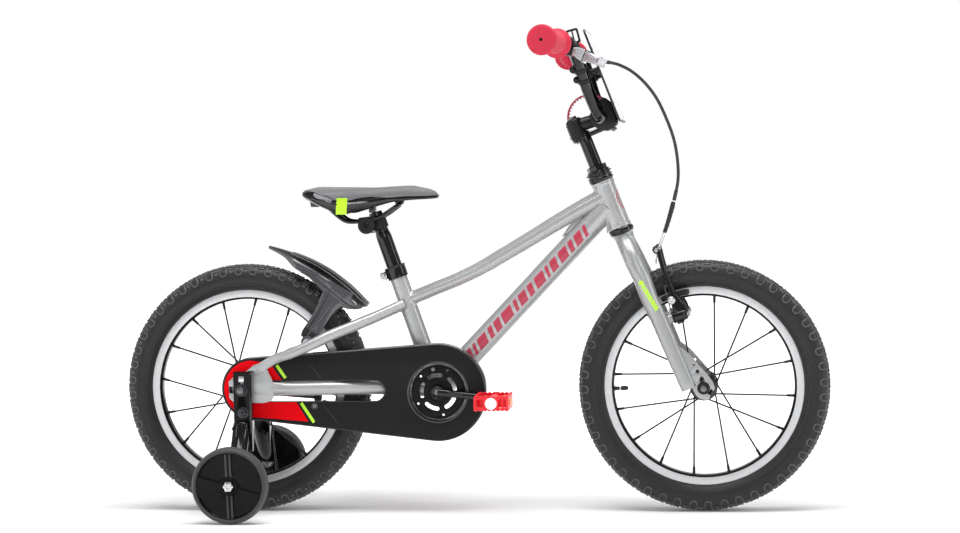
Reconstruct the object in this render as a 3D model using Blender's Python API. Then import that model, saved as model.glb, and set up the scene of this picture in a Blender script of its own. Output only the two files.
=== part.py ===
"""Kids bike with 16-inch wheels and stabilisers.

Frame of the model: +X forward, +Y to the rider's left, +Z up, metres in the
scene. The origin lies on the ground, half way between the two wheel contacts.
Every constant below is in millimetres and is turned into metres when a mesh is
made. The drive side (chain, guard) is the rider's right, -Y.
"""
import math

import bmesh
import bpy
from mathutils import Matrix, Vector

# ---------------------------------------------------------------- dimensions
MM = 0.001
GAP = 0.3                      # running gap between touching pieces

WHEELBASE = 739.0
HUB_Z = 201.0                  # hub height = tyre radius
REAR = (-WHEELBASE / 2, HUB_Z)
FRONT = (WHEELBASE / 2, HUB_Z)

TYRE_R, TYRE_HALF = 201.0, 25.0
RIM_R, RIM_IN, RIM_HALF = 158.5, 143.5, 13.0
SPOKES = 16

BB = (-54.0, 195.0)            # crank centre
BB_SHELL_R, BB_SHELL_HALF = 20.0, 34.0
SEAT_BASE = (-59.0, 195.0)     # a point of the seat tube's axis
SEAT_ANGLE = 71.0
SEAT_TUBE_R, SEAT_TUBE_IN = 14.3, 13.0
SEAT_TUBE_TOP = 211.0
SEATPOST_R = 12.7

HEAD_MID = (224.0, 491.5)      # middle of the head tube, on the steering axis
HEAD_ANGLE = 69.0
HEAD_R, HEAD_IN, HEAD_HALF = 18.0, 15.2, 39.5
STEERER_R, STEERER_IN = 12.7, 11.3
QUILL_R = 11.0

DOWN_BASE, DOWN_ANGLE, DOWN_R = (-60.0, 195.0), 46.35, 19.0

CHAINLINE = 39.0
CHAINRING_TEETH, SPROCKET_TEETH = 28, 14
PITCH = 12.7
CRANK_LENGTH = 97.0
CRANK_DROP_DEG = 4.7           # right crank points forward and a little down

GUARD_REAR, GUARD_REAR_R = (-355.5, 202.0), 50.0
GUARD_FRONT_R = 78.5
GUARD_FACE = 48.6              # inner side of the guard's face, from mid-plane
GUARD_T = 1.8
GUARD_DEPTH = 31.0

BAR_R = 10.0
BAR_CLAMP = (209.5, 629.5)
GRIP_END, GRIP_START = 276.0, 188.0

STAB_R, STAB_HALF, STAB_Y, STAB_Z = 59.5, 13.0, 163.0, 60.3

SADDLE_RAIL_Y = 22.0
LEVER_TRAVEL_DEG = 18.0

SEAT_DIR = Vector((-math.cos(math.radians(SEAT_ANGLE)), 0, math.sin(math.radians(SEAT_ANGLE))))
HEAD_DIR = Vector((-math.cos(math.radians(HEAD_ANGLE)), 0, math.sin(math.radians(HEAD_ANGLE))))
HEAD_FWD = Vector((math.sin(math.radians(HEAD_ANGLE)), 0, math.cos(math.radians(HEAD_ANGLE))))
Y_AXIS = Vector((0, 1, 0))
STUD_DIR = Vector((0.951, 0, 0.309)).normalized()       # brake pivots point forward
PIVOT_Z, PIVOT_X, PIVOT_Y = 314.5, 331.0, 42.0
LEVER_PIVOT = (195.9, -146.5, 721.8)
LEVER_AXIS = Vector((-0.4067, 0, -0.9135)).normalized()


def seat_at(t, off=0.0):
    p = Vector((SEAT_BASE[0], 0, SEAT_BASE[1])) + SEAT_DIR * t
    return p + Vector((SEAT_DIR.z, 0, -SEAT_DIR.x)) * off


def head_at(s, fwd=0.0, y=0.0):
    p = Vector((HEAD_MID[0], 0, HEAD_MID[1])) + HEAD_DIR * s + HEAD_FWD * fwd
    p.y = y
    return p


# ---------------------------------------------------------------- scene start
for old in list(bpy.data.objects):
    bpy.data.objects.remove(old, do_unlink=True)


def material(name, colour, roughness, metallic):
    mat = bpy.data.materials.new(name)
    mat.use_nodes = True
    shader = mat.node_tree.nodes["Principled BSDF"]
    shader.inputs["Base Color"].default_value = (*colour, 1)
    shader.inputs["Roughness"].default_value = roughness
    shader.inputs["Metallic"].default_value = metallic
    mat.diffuse_color = (*colour, 1)
    return mat


PAINT = dict(colour=(0.50, 0.51, 0.52), roughness=0.35, metallic=0.5)
BLACK = dict(colour=(0.02, 0.02, 0.022), roughness=0.4, metallic=0.2)
GLOSS = dict(colour=(0.015, 0.015, 0.016), roughness=0.2, metallic=0.0)
RUBBER = dict(colour=(0.03, 0.03, 0.03), roughness=0.85, metallic=0.0)
ALLOY = dict(colour=(0.75, 0.76, 0.77), roughness=0.3, metallic=1.0)
STEEL = dict(colour=(0.55, 0.55, 0.56), roughness=0.3, metallic=1.0)
RED = dict(colour=(0.75, 0.04, 0.08), roughness=0.5, metallic=0.0)
GREY = dict(colour=(0.17, 0.17, 0.175), roughness=0.6, metallic=0.0)
DARK = dict(colour=(0.06, 0.06, 0.065), roughness=0.3, metallic=0.0)
WHITE = dict(colour=(0.85, 0.85, 0.85), roughness=0.4, metallic=0.0)

# ---------------------------------------------------------------- joint empties
EMPTIES = {}


def empty(name, at, parent=None):
    e = bpy.data.objects.new(name, None)
    bpy.context.scene.collection.objects.link(e)
    base = Vector((0, 0, 0)) if parent is None else EMPTIES[parent][1]
    at = Vector(at)
    if parent is not None:
        e.parent = EMPTIES[parent][0]
    e.location = (at - base) * MM
    e.empty_display_size = 0.03
    EMPTIES[name] = (e, at)
    return e


def crank_end(side):
    a = math.radians(-CRANK_DROP_DEG)
    s = -side
    return (BB[0] + s * CRANK_LENGTH * math.cos(a), BB[1] + s * CRANK_LENGTH * math.sin(a))


empty("at_frame", (0, 0, 0))
empty("at_saddle", seat_at(SEAT_TUBE_TOP), "at_frame")
empty("at_steering", head_at(0), "at_frame")
empty("at_front_wheel", (FRONT[0], 0, FRONT[1]), "at_steering")
empty("at_rear_wheel", (REAR[0], 0, REAR[1]), "at_frame")
empty("at_sprocket", (REAR[0], -CHAINLINE, REAR[1]), "at_frame")
empty("at_crank", (BB[0], 0, BB[1]), "at_frame")
for _side, _name in ((-1, "right"), (1, "left")):
    _x, _z = crank_end(_side)
    empty("at_pedal_" + _name, (_x, _side * 119.0, _z), "at_crank")
    empty("at_stabiliser_" + _name, (REAR[0], _side * STAB_Y, STAB_Z), "at_frame")
    empty("at_brake_arm_" + _name, (PIVOT_X, _side * PIVOT_Y, PIVOT_Z), "at_steering")
empty("at_brake_lever", LEVER_PIVOT, "at_steering")


# ---------------------------------------------------------------- mesh helpers
def raw_mesh(verts, faces):
    """A closed bmesh-cleaned mesh in world millimetres."""
    mesh = bpy.data.meshes.new("raw")
    bm = bmesh.new()
    vs = [bm.verts.new(v) for v in verts]
    for f in faces:
        bm.faces.new([vs[i] for i in f])
    bmesh.ops.recalc_face_normals(bm, faces=bm.faces)
    bm.to_mesh(mesh)
    bm.free()
    return mesh


def frames_along(pts, first=None, last=None, up=Y_AXIS, closed=False):
    """Tangent, normal and binormal at each point, turning as little as possible."""
    n = len(pts)
    tans = []
    for i in range(n):
        if closed:
            d = pts[(i + 1) % n] - pts[i - 1]
        elif i == 0:
            d = first if first is not None else pts[1] - pts[0]
        elif i == n - 1:
            d = last if last is not None else pts[-1] - pts[-2]
        else:
            d = (pts[i + 1] - pts[i]).normalized() + (pts[i] - pts[i - 1]).normalized()
        tans.append(d.normalized())
    out = []
    b = up - tans[0] * up.dot(tans[0])
    if b.length < 1e-3:
        b = Vector((1, 0, 0)) - tans[0] * tans[0].x
    b.normalize()
    for t in tans:
        b = (b - t * b.dot(t)).normalized()
        out.append((t, t.cross(b), b))
    return out


def circle(r, sides, phase=0.0, squash=1.0):
    return [(r * math.cos(phase + 2 * math.pi * k / sides),
             r * squash * math.sin(phase + 2 * math.pi * k / sides)) for k in range(sides)]


def sweep(pts, sections, first=None, last=None, up=Y_AXIS, closed=False):
    """Sections are (normal, binormal) outlines, one list or one per point."""
    pts = [Vector(p) for p in pts]
    if not isinstance(sections[0], list):
        sections = [sections] * len(pts)
    fr = frames_along(pts, first, last, up, closed)
    verts, faces = [], []
    m = len(sections[0])
    for p, sec, (t, n, b) in zip(pts, sections, fr):
        verts += [p + n * u + b * v for u, v in sec]
    rows = len(pts)
    for i in range(rows if closed else rows - 1):
        j = (i + 1) % rows
        for k in range(m):
            l = (k + 1) % m
            faces.append((i * m + k, i * m + l, j * m + l, j * m + k))
    if not closed:
        faces.append(tuple(range(m)))
        faces.append(tuple((rows - 1) * m + k for k in range(m)))
    return raw_mesh(verts, faces)


def tube(pts, radii, sides=12, first=None, last=None, up=Y_AXIS, squash=1.0):
    if not isinstance(radii, (list, tuple)):
        radii = [radii] * len(pts)
    return sweep(pts, [circle(r, sides, math.pi / sides, squash) for r in radii], first, last, up)


def pipe(a, b, outer, inner, sides=16, up=Y_AXIS):
    """Straight hollow tube from a to b."""
    a, b = Vector(a), Vector(b)
    t, n, w = frames_along([a, b], up=up)[0]
    verts, faces = [], []
    for p in (a, b):
        for r in (outer, inner):
            verts += [p + n * u + w * v for u, v in circle(r, sides, math.pi / sides)]
    s = sides
    for k in range(s):
        l = (k + 1) % s
        faces.append((k, l, 2 * s + l, 2 * s + k))
        faces.append((s + k, s + l, 3 * s + l, 3 * s + k))
        faces.append((k, l, s + l, s + k))
        faces.append((2 * s + k, 2 * s + l, 3 * s + l, 3 * s + k))
    return raw_mesh(verts, faces)


def lathe(profile, centre, axis=Y_AXIS, segs=24, ref=None, phase=0.0):
    """Turn (radius, height) points round an axis. Radius 0 at both ends closes it."""
    axis = Vector(axis).normalized()
    ref = Vector((1, 0, 0)) if ref is None else Vector(ref)
    u = (ref - axis * ref.dot(axis)).normalized()
    v = axis.cross(u)
    c = Vector(centre)
    poles = profile[0][0] == 0 and profile[-1][0] == 0
    ring = profile[1:-1] if poles else profile
    verts, faces = [], []
    for r, h in ring:
        for k in range(segs):
            a = phase + 2 * math.pi * k / segs
            verts.append(c + axis * h + (u * math.cos(a) + v * math.sin(a)) * r)
    m = len(ring)
    for i in range(m - 1 if poles else m):
        j = (i + 1) % m
        for k in range(segs):
            l = (k + 1) % segs
            faces.append((i * segs + k, i * segs + l, j * segs + l, j * segs + k))
    if poles:
        faces.append(tuple(range(segs)))
        faces.append(tuple((m - 1) * segs + k for k in range(segs)))
    return raw_mesh(verts, faces)


def prism(outline, y0, y1):
    """Outline in X, Z, thick from y0 to y1."""
    n = len(outline)
    verts = [Vector((x, y0, z)) for x, z in outline] + [Vector((x, y1, z)) for x, z in outline]
    faces = [tuple(range(n)), tuple(range(n, 2 * n))]
    faces += [(k, (k + 1) % n, n + (k + 1) % n, n + k) for k in range(n)]
    return raw_mesh(verts, faces)


def block(centre, size, x_axis=(1, 0, 0), y_axis=(0, 1, 0)):
    x = Vector(x_axis).normalized()
    y = Vector(y_axis).normalized()
    z = x.cross(y)
    c = Vector(centre)
    hx, hy, hz = (s / 2 for s in size)
    verts = [c + x * (sx * hx) + y * (sy * hy) + z * (sz * hz)
             for sx in (-1, 1) for sy in (-1, 1) for sz in (-1, 1)]
    faces = [(0, 1, 3, 2), (4, 5, 7, 6), (0, 1, 5, 4), (2, 3, 7, 6), (0, 2, 6, 4), (1, 3, 7, 5)]
    return raw_mesh(verts, faces)


def arc(centre, r, a0, a1, n):
    return [(centre[0] + r * math.cos(math.radians(a0 + (a1 - a0) * k / (n - 1))),
             centre[1] + r * math.sin(math.radians(a0 + (a1 - a0) * k / (n - 1)))) for k in range(n)]


def combine(base, other, operation):
    """Boolean of two raw meshes, computed at once."""
    scene = bpy.context.scene
    a = bpy.data.objects.new("a", base)
    b = bpy.data.objects.new("b", other)
    scene.collection.objects.link(a)
    scene.collection.objects.link(b)
    mod = a.modifiers.new("bool", "BOOLEAN")
    mod.operation = operation
    mod.solver = "EXACT"
    mod.object = b
    graph = bpy.context.evaluated_depsgraph_get()
    out = bpy.data.meshes.new_from_object(a.evaluated_get(graph))
    bpy.data.objects.remove(a, do_unlink=True)
    bpy.data.objects.remove(b, do_unlink=True)
    bm = bmesh.new()
    bm.from_mesh(out)
    bmesh.ops.remove_doubles(bm, verts=bm.verts, dist=0.002)
    bmesh.ops.dissolve_degenerate(bm, edges=bm.edges, dist=0.002)
    bm.to_mesh(out)
    bm.free()
    return out


def union(*meshes):
    out = meshes[0]
    for m in meshes[1:]:
        out = combine(out, m, "UNION")
    return out


def minus(base, *cutters):
    for c in cutters:
        base = combine(base, c, "DIFFERENCE")
    return base


def node(name, mesh, look, at, smooth=True):
    """Give a world-millimetre mesh its own named object under a joint's empty."""
    parent, origin = EMPTIES[at]
    bm = bmesh.new()
    bm.from_mesh(mesh)
    bmesh.ops.transform(bm, matrix=Matrix.Scale(MM, 4) @ Matrix.Translation(-origin), verts=bm.verts)
    mesh.clear_geometry()
    bm.to_mesh(mesh)
    bm.free()
    mesh.name = name
    mesh.materials.clear()
    mesh.materials.append(material(name + "_finish", **look))
    if smooth:
        mesh.shade_smooth()
        mesh.set_sharp_from_angle(angle=math.radians(32))
    obj = bpy.data.objects.new(name, mesh)
    bpy.context.scene.collection.objects.link(obj)
    obj.parent = parent
    return obj


def mirrored(mesh):
    """The same solid on the other side of the bike."""
    bm = bmesh.new()
    bm.from_mesh(mesh)
    bmesh.ops.scale(bm, vec=(1, -1, 1), verts=bm.verts)
    bmesh.ops.recalc_face_normals(bm, faces=bm.faces)
    out = bpy.data.meshes.new("raw")
    bm.to_mesh(out)
    bm.free()
    return out


def smooth_path(points, count):
    """Catmull-Rom curve through the points, evenly stepped in parameter."""
    p = [Vector(q) for q in points]
    p = [p[0] * 2 - p[1]] + p + [p[-1] * 2 - p[-2]]
    spans = len(p) - 3
    out = []
    for i in range(count):
        t = i * spans / (count - 1)
        k = min(int(t), spans - 1)
        f = t - k
        a, b, c, d = p[k:k + 4]
        out.append(0.5 * ((2 * b) + (c - a) * f + (2 * a - 5 * b + 4 * c - d) * f ** 2
                          + (3 * b - a - 3 * c + d) * f ** 3))
    return out


# ---------------------------------------------------------------- frame tubes
shell_cut = lathe([(0, -40), (BB_SHELL_R + GAP, -40), (BB_SHELL_R + GAP, 40), (0, 40)],
                  (BB[0], 0, BB[1]), segs=24)


def head_cylinder(r, s0, s1, segs=24):
    return lathe([(0, s0), (r, s0), (r, s1), (0, s1)], head_at(0), HEAD_DIR, segs, ref=Y_AXIS)


def seat_cylinder(r, t0, t1, segs=24):
    return lathe([(0, t0), (r, t0), (r, t1), (0, t1)], seat_at(0), SEAT_DIR, segs, ref=Y_AXIS)


node("head_tube", lathe([(HEAD_R, -HEAD_HALF), (HEAD_IN, -HEAD_HALF), (HEAD_IN, HEAD_HALF), (HEAD_R, HEAD_HALF)],
                        head_at(0), HEAD_DIR, 24, ref=Y_AXIS), PAINT, "at_frame")

node("seat_tube", minus(lathe([(SEAT_TUBE_R, 10), (SEAT_TUBE_IN, 10), (SEAT_TUBE_IN, SEAT_TUBE_TOP),
                               (SEAT_TUBE_R, SEAT_TUBE_TOP)], seat_at(0), SEAT_DIR, 24, ref=Y_AXIS),
                        lathe([(0, -40), (BB_SHELL_R + GAP, -40), (BB_SHELL_R + GAP, 40), (0, 40)],
                              (BB[0], 0, BB[1]), segs=24)), PAINT, "at_frame")

down_dir = Vector((math.cos(math.radians(DOWN_ANGLE)), 0, math.sin(math.radians(DOWN_ANGLE))))
down0 = Vector((DOWN_BASE[0], 0, DOWN_BASE[1]))
down = tube([down0 + down_dir * 18, down0 + down_dir * 403], DOWN_R, 20)
down = minus(down, shell_cut, seat_cylinder(SEAT_TUBE_R + GAP, -20, 120),
             head_cylinder(HEAD_R + GAP, -70, 70))
node("down_tube", down, PAINT, "at_frame")

top_line = [(-110, 0, 339.5), (-85, 0, 349.5), (-54, 0, 362), (-30, 0, 371.3), (0, 0, 384.5), (24, 0, 397),
            (44, 0, 408.9), (63.5, 0, 420), (102.6, 0, 442.9), (141.5, 0, 465.9), (180, 0, 487.5), (214, 0, 505)]
top_half = [11.2, 11.2, 11.2, 11.2, 11.3, 11.6, 12.0, 12.3, 13.0, 13.5, 13.8, 14.0]
top = sweep([Vector(p) for p in top_line], [circle(h, 16, math.pi / 16, 1.22) for h in top_half])
top = minus(top, seat_cylinder(SEAT_TUBE_R + GAP, 60, 260), head_cylinder(HEAD_R + GAP, -70, 70),
            tube([down0 - down_dir * 5, down0 + down_dir * 440], DOWN_R + GAP, 20))
node("top_tube", top, PAINT, "at_frame")

node("bb_shell", lathe([(BB_SHELL_R, -BB_SHELL_HALF), (17.8, -BB_SHELL_HALF), (17.8, BB_SHELL_HALF),
                        (BB_SHELL_R, BB_SHELL_HALF)], (BB[0], 0, BB[1]), segs=24), PAINT, "at_frame")

# stays: the right side is drawn, the left side is its mirror image
chainstay_line = [(-334, -58.5, 202), (-300, -56, 202), (-250, -49, 202), (-205, -42.5, 202), (-165, -35.5, 201.5),
                  (-130, -28.8, 200), (-100, -25, 198.2), (-60, -23, 196)]
chainstay = sweep([Vector(p) for p in chainstay_line],
                  [circle(10.8, 14, math.pi / 14, 0.88)] * len(chainstay_line))
dropout_line = [(-392, 214), (-385, 221), (-366, 228), (-350, 240), (-338, 250), (-322, 247), (-314, 238),
                (-316, 226), (-312, 213), (-312, 191), (-318, 183), (-335, 179.5), (-384, 181), (-391, 188),
                (-391, 195.6)]
dropout_line += arc((REAR[0], REAR[1]), 5.4, -90, 90, 7) + [(-391, 206.4)]
dropout = prism(dropout_line, -61.0, -56.0)
chainstay = minus(union(dropout, chainstay),
                  lathe([(0, -40), (BB_SHELL_R + GAP, -40), (BB_SHELL_R + GAP, 40), (0, 40)],
                        (BB[0], 0, BB[1]), segs=24))
node("chainstay_left", mirrored(chainstay), PAINT, "at_frame")
node("chainstay_right", chainstay, PAINT, "at_frame")

seatstay_line = [(-311.5, -60, 252), (-291, -59.5, 258.5), (-262, -56, 270.5), (-228, -48, 286.5),
                 (-190, -37, 301.5), (-155, -26, 315.7), (-112, -12, 334.5)]
seatstay = tube([Vector(p) for p in seatstay_line], [8.2, 8.4, 8.7, 8.9, 9, 9, 9], 12)
seatstay = minus(seatstay, seat_cylinder(SEAT_TUBE_R + GAP, 60, 260),
                 prism(dropout_line[:11] + [(-330, 190), (-380, 212)], -61.3, -55.7))
node("seatstay_left", mirrored(seatstay), PAINT, "at_frame")
node("seatstay_right", seatstay, PAINT, "at_frame")

# ---------------------------------------------------------------- frame fittings
clamp = union(lathe([(16.9, 192), (14.6, 192), (14.6, 212.5), (16.9, 212.5)], seat_at(0), SEAT_DIR, 20, ref=Y_AXIS),
              block(seat_at(202.5, -20.5), (11, 17, 13), (SEAT_DIR.z, 0, -SEAT_DIR.x)))
node("seat_clamp", clamp, BLACK, "at_frame")

node("headset_lower_cup", lathe([(19.2, -49.4), (13.1, -49.4), (13.1, -39.8), (18, -39.8), (20.5, -42.5)],
                                head_at(0), HEAD_DIR, 20, ref=Y_AXIS), BLACK, "at_frame")
node("headset_upper_cup", lathe([(20.2, 50), (13.1, 50), (13.1, 39.8), (18, 39.8), (20.2, 43)],
                                head_at(0), HEAD_DIR, 20, ref=Y_AXIS), BLACK, "at_frame")
node("bottom_bracket", lathe([(17.4, -36), (9.2, -36), (9.2, 36), (17.4, 36)], (BB[0], 0, BB[1]), segs=16),
     STEEL, "at_frame")

# chain guard: a shell round the chain, open towards the wheel
def hull_outline(r_add, n1=13, n2=19):
    """Outline round the two circles of the guard, grown or shrunk by r_add."""
    cx, cz = GUARD_REAR
    fx, fz = BB
    r1, r2 = GUARD_REAR_R + r_add, GUARD_FRONT_R + r_add
    d = math.hypot(fx - cx, fz - cz)
    tilt = math.degrees(math.atan2(fz - cz, fx - cx))
    lean = math.degrees(math.acos((r1 - r2) / d))
    return (arc((cx, cz), r1, tilt + lean, tilt + 360 - lean, n1)
            + arc((fx, fz), r2, tilt - lean, tilt + lean, n2))


guard_outer = hull_outline(0)
guard = prism(guard_outer, -GUARD_FACE - GUARD_T, -GUARD_DEPTH)
guard = minus(guard, prism(hull_outline(-GUARD_T), -GUARD_FACE, -GUARD_DEPTH + 5))
hub_hole = arc((-366, 202), 26, 28, 332, 15)
slot = [(-330, 181.8), (-157, 181.8)] + arc((-156, 198), 16.2, -80, 80, 7) + [(-157, 214.2), (-340, 214.2)]
guard = minus(guard,
              lathe([(0, -60), (47, -60), (47, -40), (0, -40)], (BB[0], 0, BB[1]), segs=28),
              prism(hub_hole + slot, -60, -40))
node("chain_guard", guard, GLOSS, "at_frame")


def chain_path(n_rear, n_front):
    r1 = PITCH / (2 * math.sin(math.pi / SPROCKET_TEETH))
    r2 = PITCH / (2 * math.sin(math.pi / CHAINRING_TEETH))
    d = math.hypot(BB[0] - REAR[0], BB[1] - REAR[1])
    tilt = math.degrees(math.atan2(BB[1] - REAR[1], BB[0] - REAR[0]))
    lean = math.degrees(math.acos((r1 - r2) / d))
    pts = arc(REAR, r1, tilt + lean, tilt + 360 - lean, n_rear) + arc(BB, r2, tilt - lean, tilt + lean, n_front)
    return [Vector((x, -CHAINLINE, z)) for x, z in pts]


chain_pts = chain_path(13, 17)
chain_sec = [(-4.3, -3.6), (4.3, -3.6), (4.3, 3.6), (-4.3, 3.6), (-4.3, 2.3), (2.9, 2.3), (2.9, -2.3), (-4.3, -2.3)]
# the outline runs counter-clockwise seen from -Y, so the frame's normal points outward or inward as one
probe = frames_along(chain_pts, closed=True)[5]
outward = (chain_pts[5] - Vector((REAR[0], -CHAINLINE, REAR[1]))).dot(probe[1]) > 0
node("chain", sweep(chain_pts, [(u if outward else -u, v) for u, v in chain_sec], closed=True), BLACK, "at_frame")

axle_half = [(0, 80), (4.8, 80), (4.8, 74), (8.7, 74), (8.7, 65.8), (4.8, 65.8), (4.8, 55.6), (8, 55.6), (8, 47.3),
             (4.8, 47.3)]
axle = [(r, -h) for r, h in axle_half] + [(r, h) for r, h in axle_half[::-1]]
node("rear_axle", lathe(axle, (REAR[0], 0, REAR[1]), segs=12, phase=math.pi / 12), STEEL, "at_frame")

# coaster brake reaction arm, left side, held under the left chainstay
arm_line = arc(REAR, 17, 60, 285, 10) + [(-345, 183), (-268, 177), (-262, 182), (-266, 188), (-345, 196), (-352, 205)]
coaster = minus(prism(arm_line, 41, 44),
                lathe([(0, 38), (5.3, 38), (5.3, 47), (0, 47)], (REAR[0], 0, REAR[1]), segs=12))
node("coaster_brake_arm", coaster, BLACK, "at_frame")

# fender: an arched shell over the rear tyre with a leg down to each seatstay
def fender_section(w, r_top, r_side, t=2.2):
    """(radius, y) outline of the arch, outer side then inner side."""
    outer = [(-w, r_side), (-w * 0.97, r_side + (r_top - r_side) * 0.45), (-w * 0.62, r_side + (r_top - r_side) * 0.84),
             (0, r_top), (w * 0.62, r_side + (r_top - r_side) * 0.84), (w * 0.97, r_side + (r_top - r_side) * 0.45),
             (w, r_side)]
    inner = [(w - t, r_side), (w * 0.97 - t, r_side + (r_top - r_side) * 0.42),
             (w * 0.62 - t * 0.7, r_side + (r_top - r_side) * 0.84 - t), (0, r_top - t),
             (-w * 0.62 + t * 0.7, r_side + (r_top - r_side) * 0.84 - t), (-w * 0.97 + t, r_side + (r_top - r_side) * 0.42),
             (-w + t, r_side)]
    return [(r, y) for y, r in outer + inner]


fender_rows = [(33.9, 30.5, 240.5, 229.0), (35.2, 31.5, 240.0, 220.0), (37.8, 32.5, 239.2, 210.0), (41.5, 33.0, 238.0, 205.5),
               (47.0, 33.0, 236.3, 203.0), (53.0, 32.7, 234.8, 203.5), (59.7, 31.0, 233.3, 208.5), (67.4, 26.5, 232.2, 211.5),
               (72.5, 19.0, 231.8, 220.0), (80.9, 6.5, 233.0, 228.5)]
fverts, ffaces = [], []
for a, w, rt, rs in fender_rows:
    ca, sa = math.cos(math.radians(a)), math.sin(math.radians(a))
    for r, y in fender_section(w, rt, rs, 2.2 if w > 10 else 1.6):
        fverts.append(Vector((REAR[0] + r * ca, y, REAR[1] + r * sa)))
m = 14
for i in range(len(fender_rows) - 1):
    for k in range(m):
        l = (k + 1) % m
        ffaces.append((i * m + k, i * m + l, (i + 1) * m + l, (i + 1) * m + k))
for row in (0, len(fender_rows) - 1):
    for k in range(6):
        ffaces.append((row * m + k, row * m + k + 1, row * m + 12 - k, row * m + 13 - k))
fender = raw_mesh(fverts, ffaces)


def fender_leg(side):
    line = [(-218, side * 32.2, 352), (-227, side * 32.2, 341), (-236, side * 32.8, 327), (-247, side * 36, 308),
            (-257, side * 40.5, 293.5), (-267, side * 43.4, 280)]
    wide = [20.0, 17.5, 12.5, 11.0, 11.0, 11.5]
    secs = [[(-h, -1.4), (h, -1.4), (h, 1.4), (-h, 1.4)] for h in wide]
    return sweep([Vector(p) for p in line], secs, up=Y_AXIS)


# a bolt boss on each foot meets the inner side of the seatstay
fender = union(fender, fender_leg(-1), fender_leg(1),
               lathe([(0, -46.6), (5, -46.6), (5, -41.5), (0, -41.5)], (-264.5, 0, 276.5), segs=10),
               lathe([(0, 41.5), (5, 41.5), (5, 46.6), (0, 46.6)], (-264.5, 0, 276.5), segs=10))
node("rear_fender", fender, DARK, "at_frame")


def stabiliser_bracket(side):
    def y(v):
        return side * v
    plate = prism([(-383, 152.5), (-354, 152.5), (-350.5, 152.5), (-350.5, 231), (-354, 231), (-354, 227), (-383, 227)],
                  min(y(61.4), y(65.4)), max(y(61.4), y(65.4)))
    # slot round the axle: the plate hangs on it
    plate = minus(plate, lathe([(0, -100), (5.2, -100), (5.2, 100), (0, 100)], (REAR[0], 0, REAR[1]), segs=12))
    flange = prism([(-354.2, 103), (-350.5, 103), (-350.5, 231), (-354.2, 231)], min(y(61.4), y(79)), max(y(61.4), y(79)))
    arm_tube = tube(smooth_path([(-368.8, y(73), 170), (-368.8, y(74), 148), (-369, y(88), 117), (-369.2, y(116), 84),
                                 (REAR[0], y(147), STAB_Z + 3)], 9), [12.5, 13.4, 13.8, 14, 14, 14, 13.5, 13, 12.5], 12,
                    up=Vector((1, 0, 0)))
    bolt = lathe([(0, y(136)), (5.0, y(136)), (5.0, y(176.5)), (8.5, y(176.5)), (8.5, y(181.5)), (0, y(181.5))],
                 (REAR[0], 0, STAB_Z), segs=12)
    body = minus(arm_tube, block((REAR[0], y(174.4), STAB_Z), (60, 50, 80)), block((REAR[0], y(51.4), 150), (80, 20, 120)),
                 block((-335.5, y(70), 150), (30, 60, 120)))
    return union(plate, flange, body, bolt)


for s, n in ((-1, "right"), (1, "left")):
    node("stabiliser_bracket_" + n, stabiliser_bracket(s), BLACK, "at_frame")
    node("stabiliser_wheel_" + n,
         lathe([(5.4, -13.2), (13, -13.2), (15, -9), (47, -7.5), (50, -11.5), (55, -13), (STAB_R, -8.5), (STAB_R, 8.5),
                (55, 13), (50, 11.5), (47, 7.5), (15, 9), (13, 13.2), (5.4, 13.2)],
               (REAR[0], s * STAB_Y, STAB_Z), segs=24), GREY, "at_stabiliser_" + n)

# ---------------------------------------------------------------- saddle
node("seatpost", lathe([(0, 305), (11, 305), (11, 276), (SEATPOST_R, 266), (SEATPOST_R, 108), (11.0, 108), (9.2, 262),
                        (0, 264)], seat_at(0), SEAT_DIR, 20, ref=Y_AXIS), GLOSS, "at_saddle")

SADDLE_CLAMP = (-168.8, 0, 462.5)
guts = lathe([(0, -31), (14, -31), (14, -26.2), (4.2, -26.2), (4.2, -17.6), (12.5, -17.6), (12.5, 17.6), (4.2, 17.6),
              (4.2, 26.2), (14, 26.2), (14, 31), (0, 31)], SADDLE_CLAMP, segs=18)
band = lathe([(0, 277), (13.6, 277), (13.6, 298), (0, 298)], seat_at(0), SEAT_DIR, 18, ref=Y_AXIS)
guts = minus(union(guts, band), lathe([(0, 250), (11 + GAP, 250), (11 + GAP, 330), (0, 330)], seat_at(0), SEAT_DIR, 20,
                                      ref=Y_AXIS))
node("saddle_clamp", guts, BLACK, "at_saddle")

rail_half = [(-213, -SADDLE_RAIL_Y, 476.2), (-204, -SADDLE_RAIL_Y, 470.6), (-192, -SADDLE_RAIL_Y, 468.6),
             (-168.8, -SADDLE_RAIL_Y, 470.8), (-152, -SADDLE_RAIL_Y, 474.5), (-140, -20.5, 480.3), (-129, -17.5, 487.6),
             (-119, -12.5, 494.6), (-115.5, -6, 496.9)]
rails = [Vector(p) for p in rail_half] + [Vector((p[0], -p[1], p[2])) for p in rail_half[::-1]]
node("saddle_rails", tube(rails, 3.4, 8, up=Vector((0, 0, 1))), BLACK, "at_saddle")

SADDLE = [  # x, half width, top, seam height, underside height
    (-271.0, 32, 517.5, 513.5, 510.0), (-264.0, 49, 522.6, 511.0, 506.0), (-248.5, 63, 524.0, 508.0, 499.0),
    (-228.0, 70, 523.6, 504.5, 490.0), (-205.0, 67, 523.2, 502.0, 481.0), (-182.0, 53, 522.8, 502.0, 485.5),
    (-158.0, 36, 522.5, 503.0, 492.5), (-130.0, 25, 524.0, 505.0, 499.5), (-98.0, 19.5, 524.8, 506.2, 502.5),
    (-72.0, 17, 522.5, 507.0, 503.8), (-58.0, 11, 517.0, 508.0, 504.6)]


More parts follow.
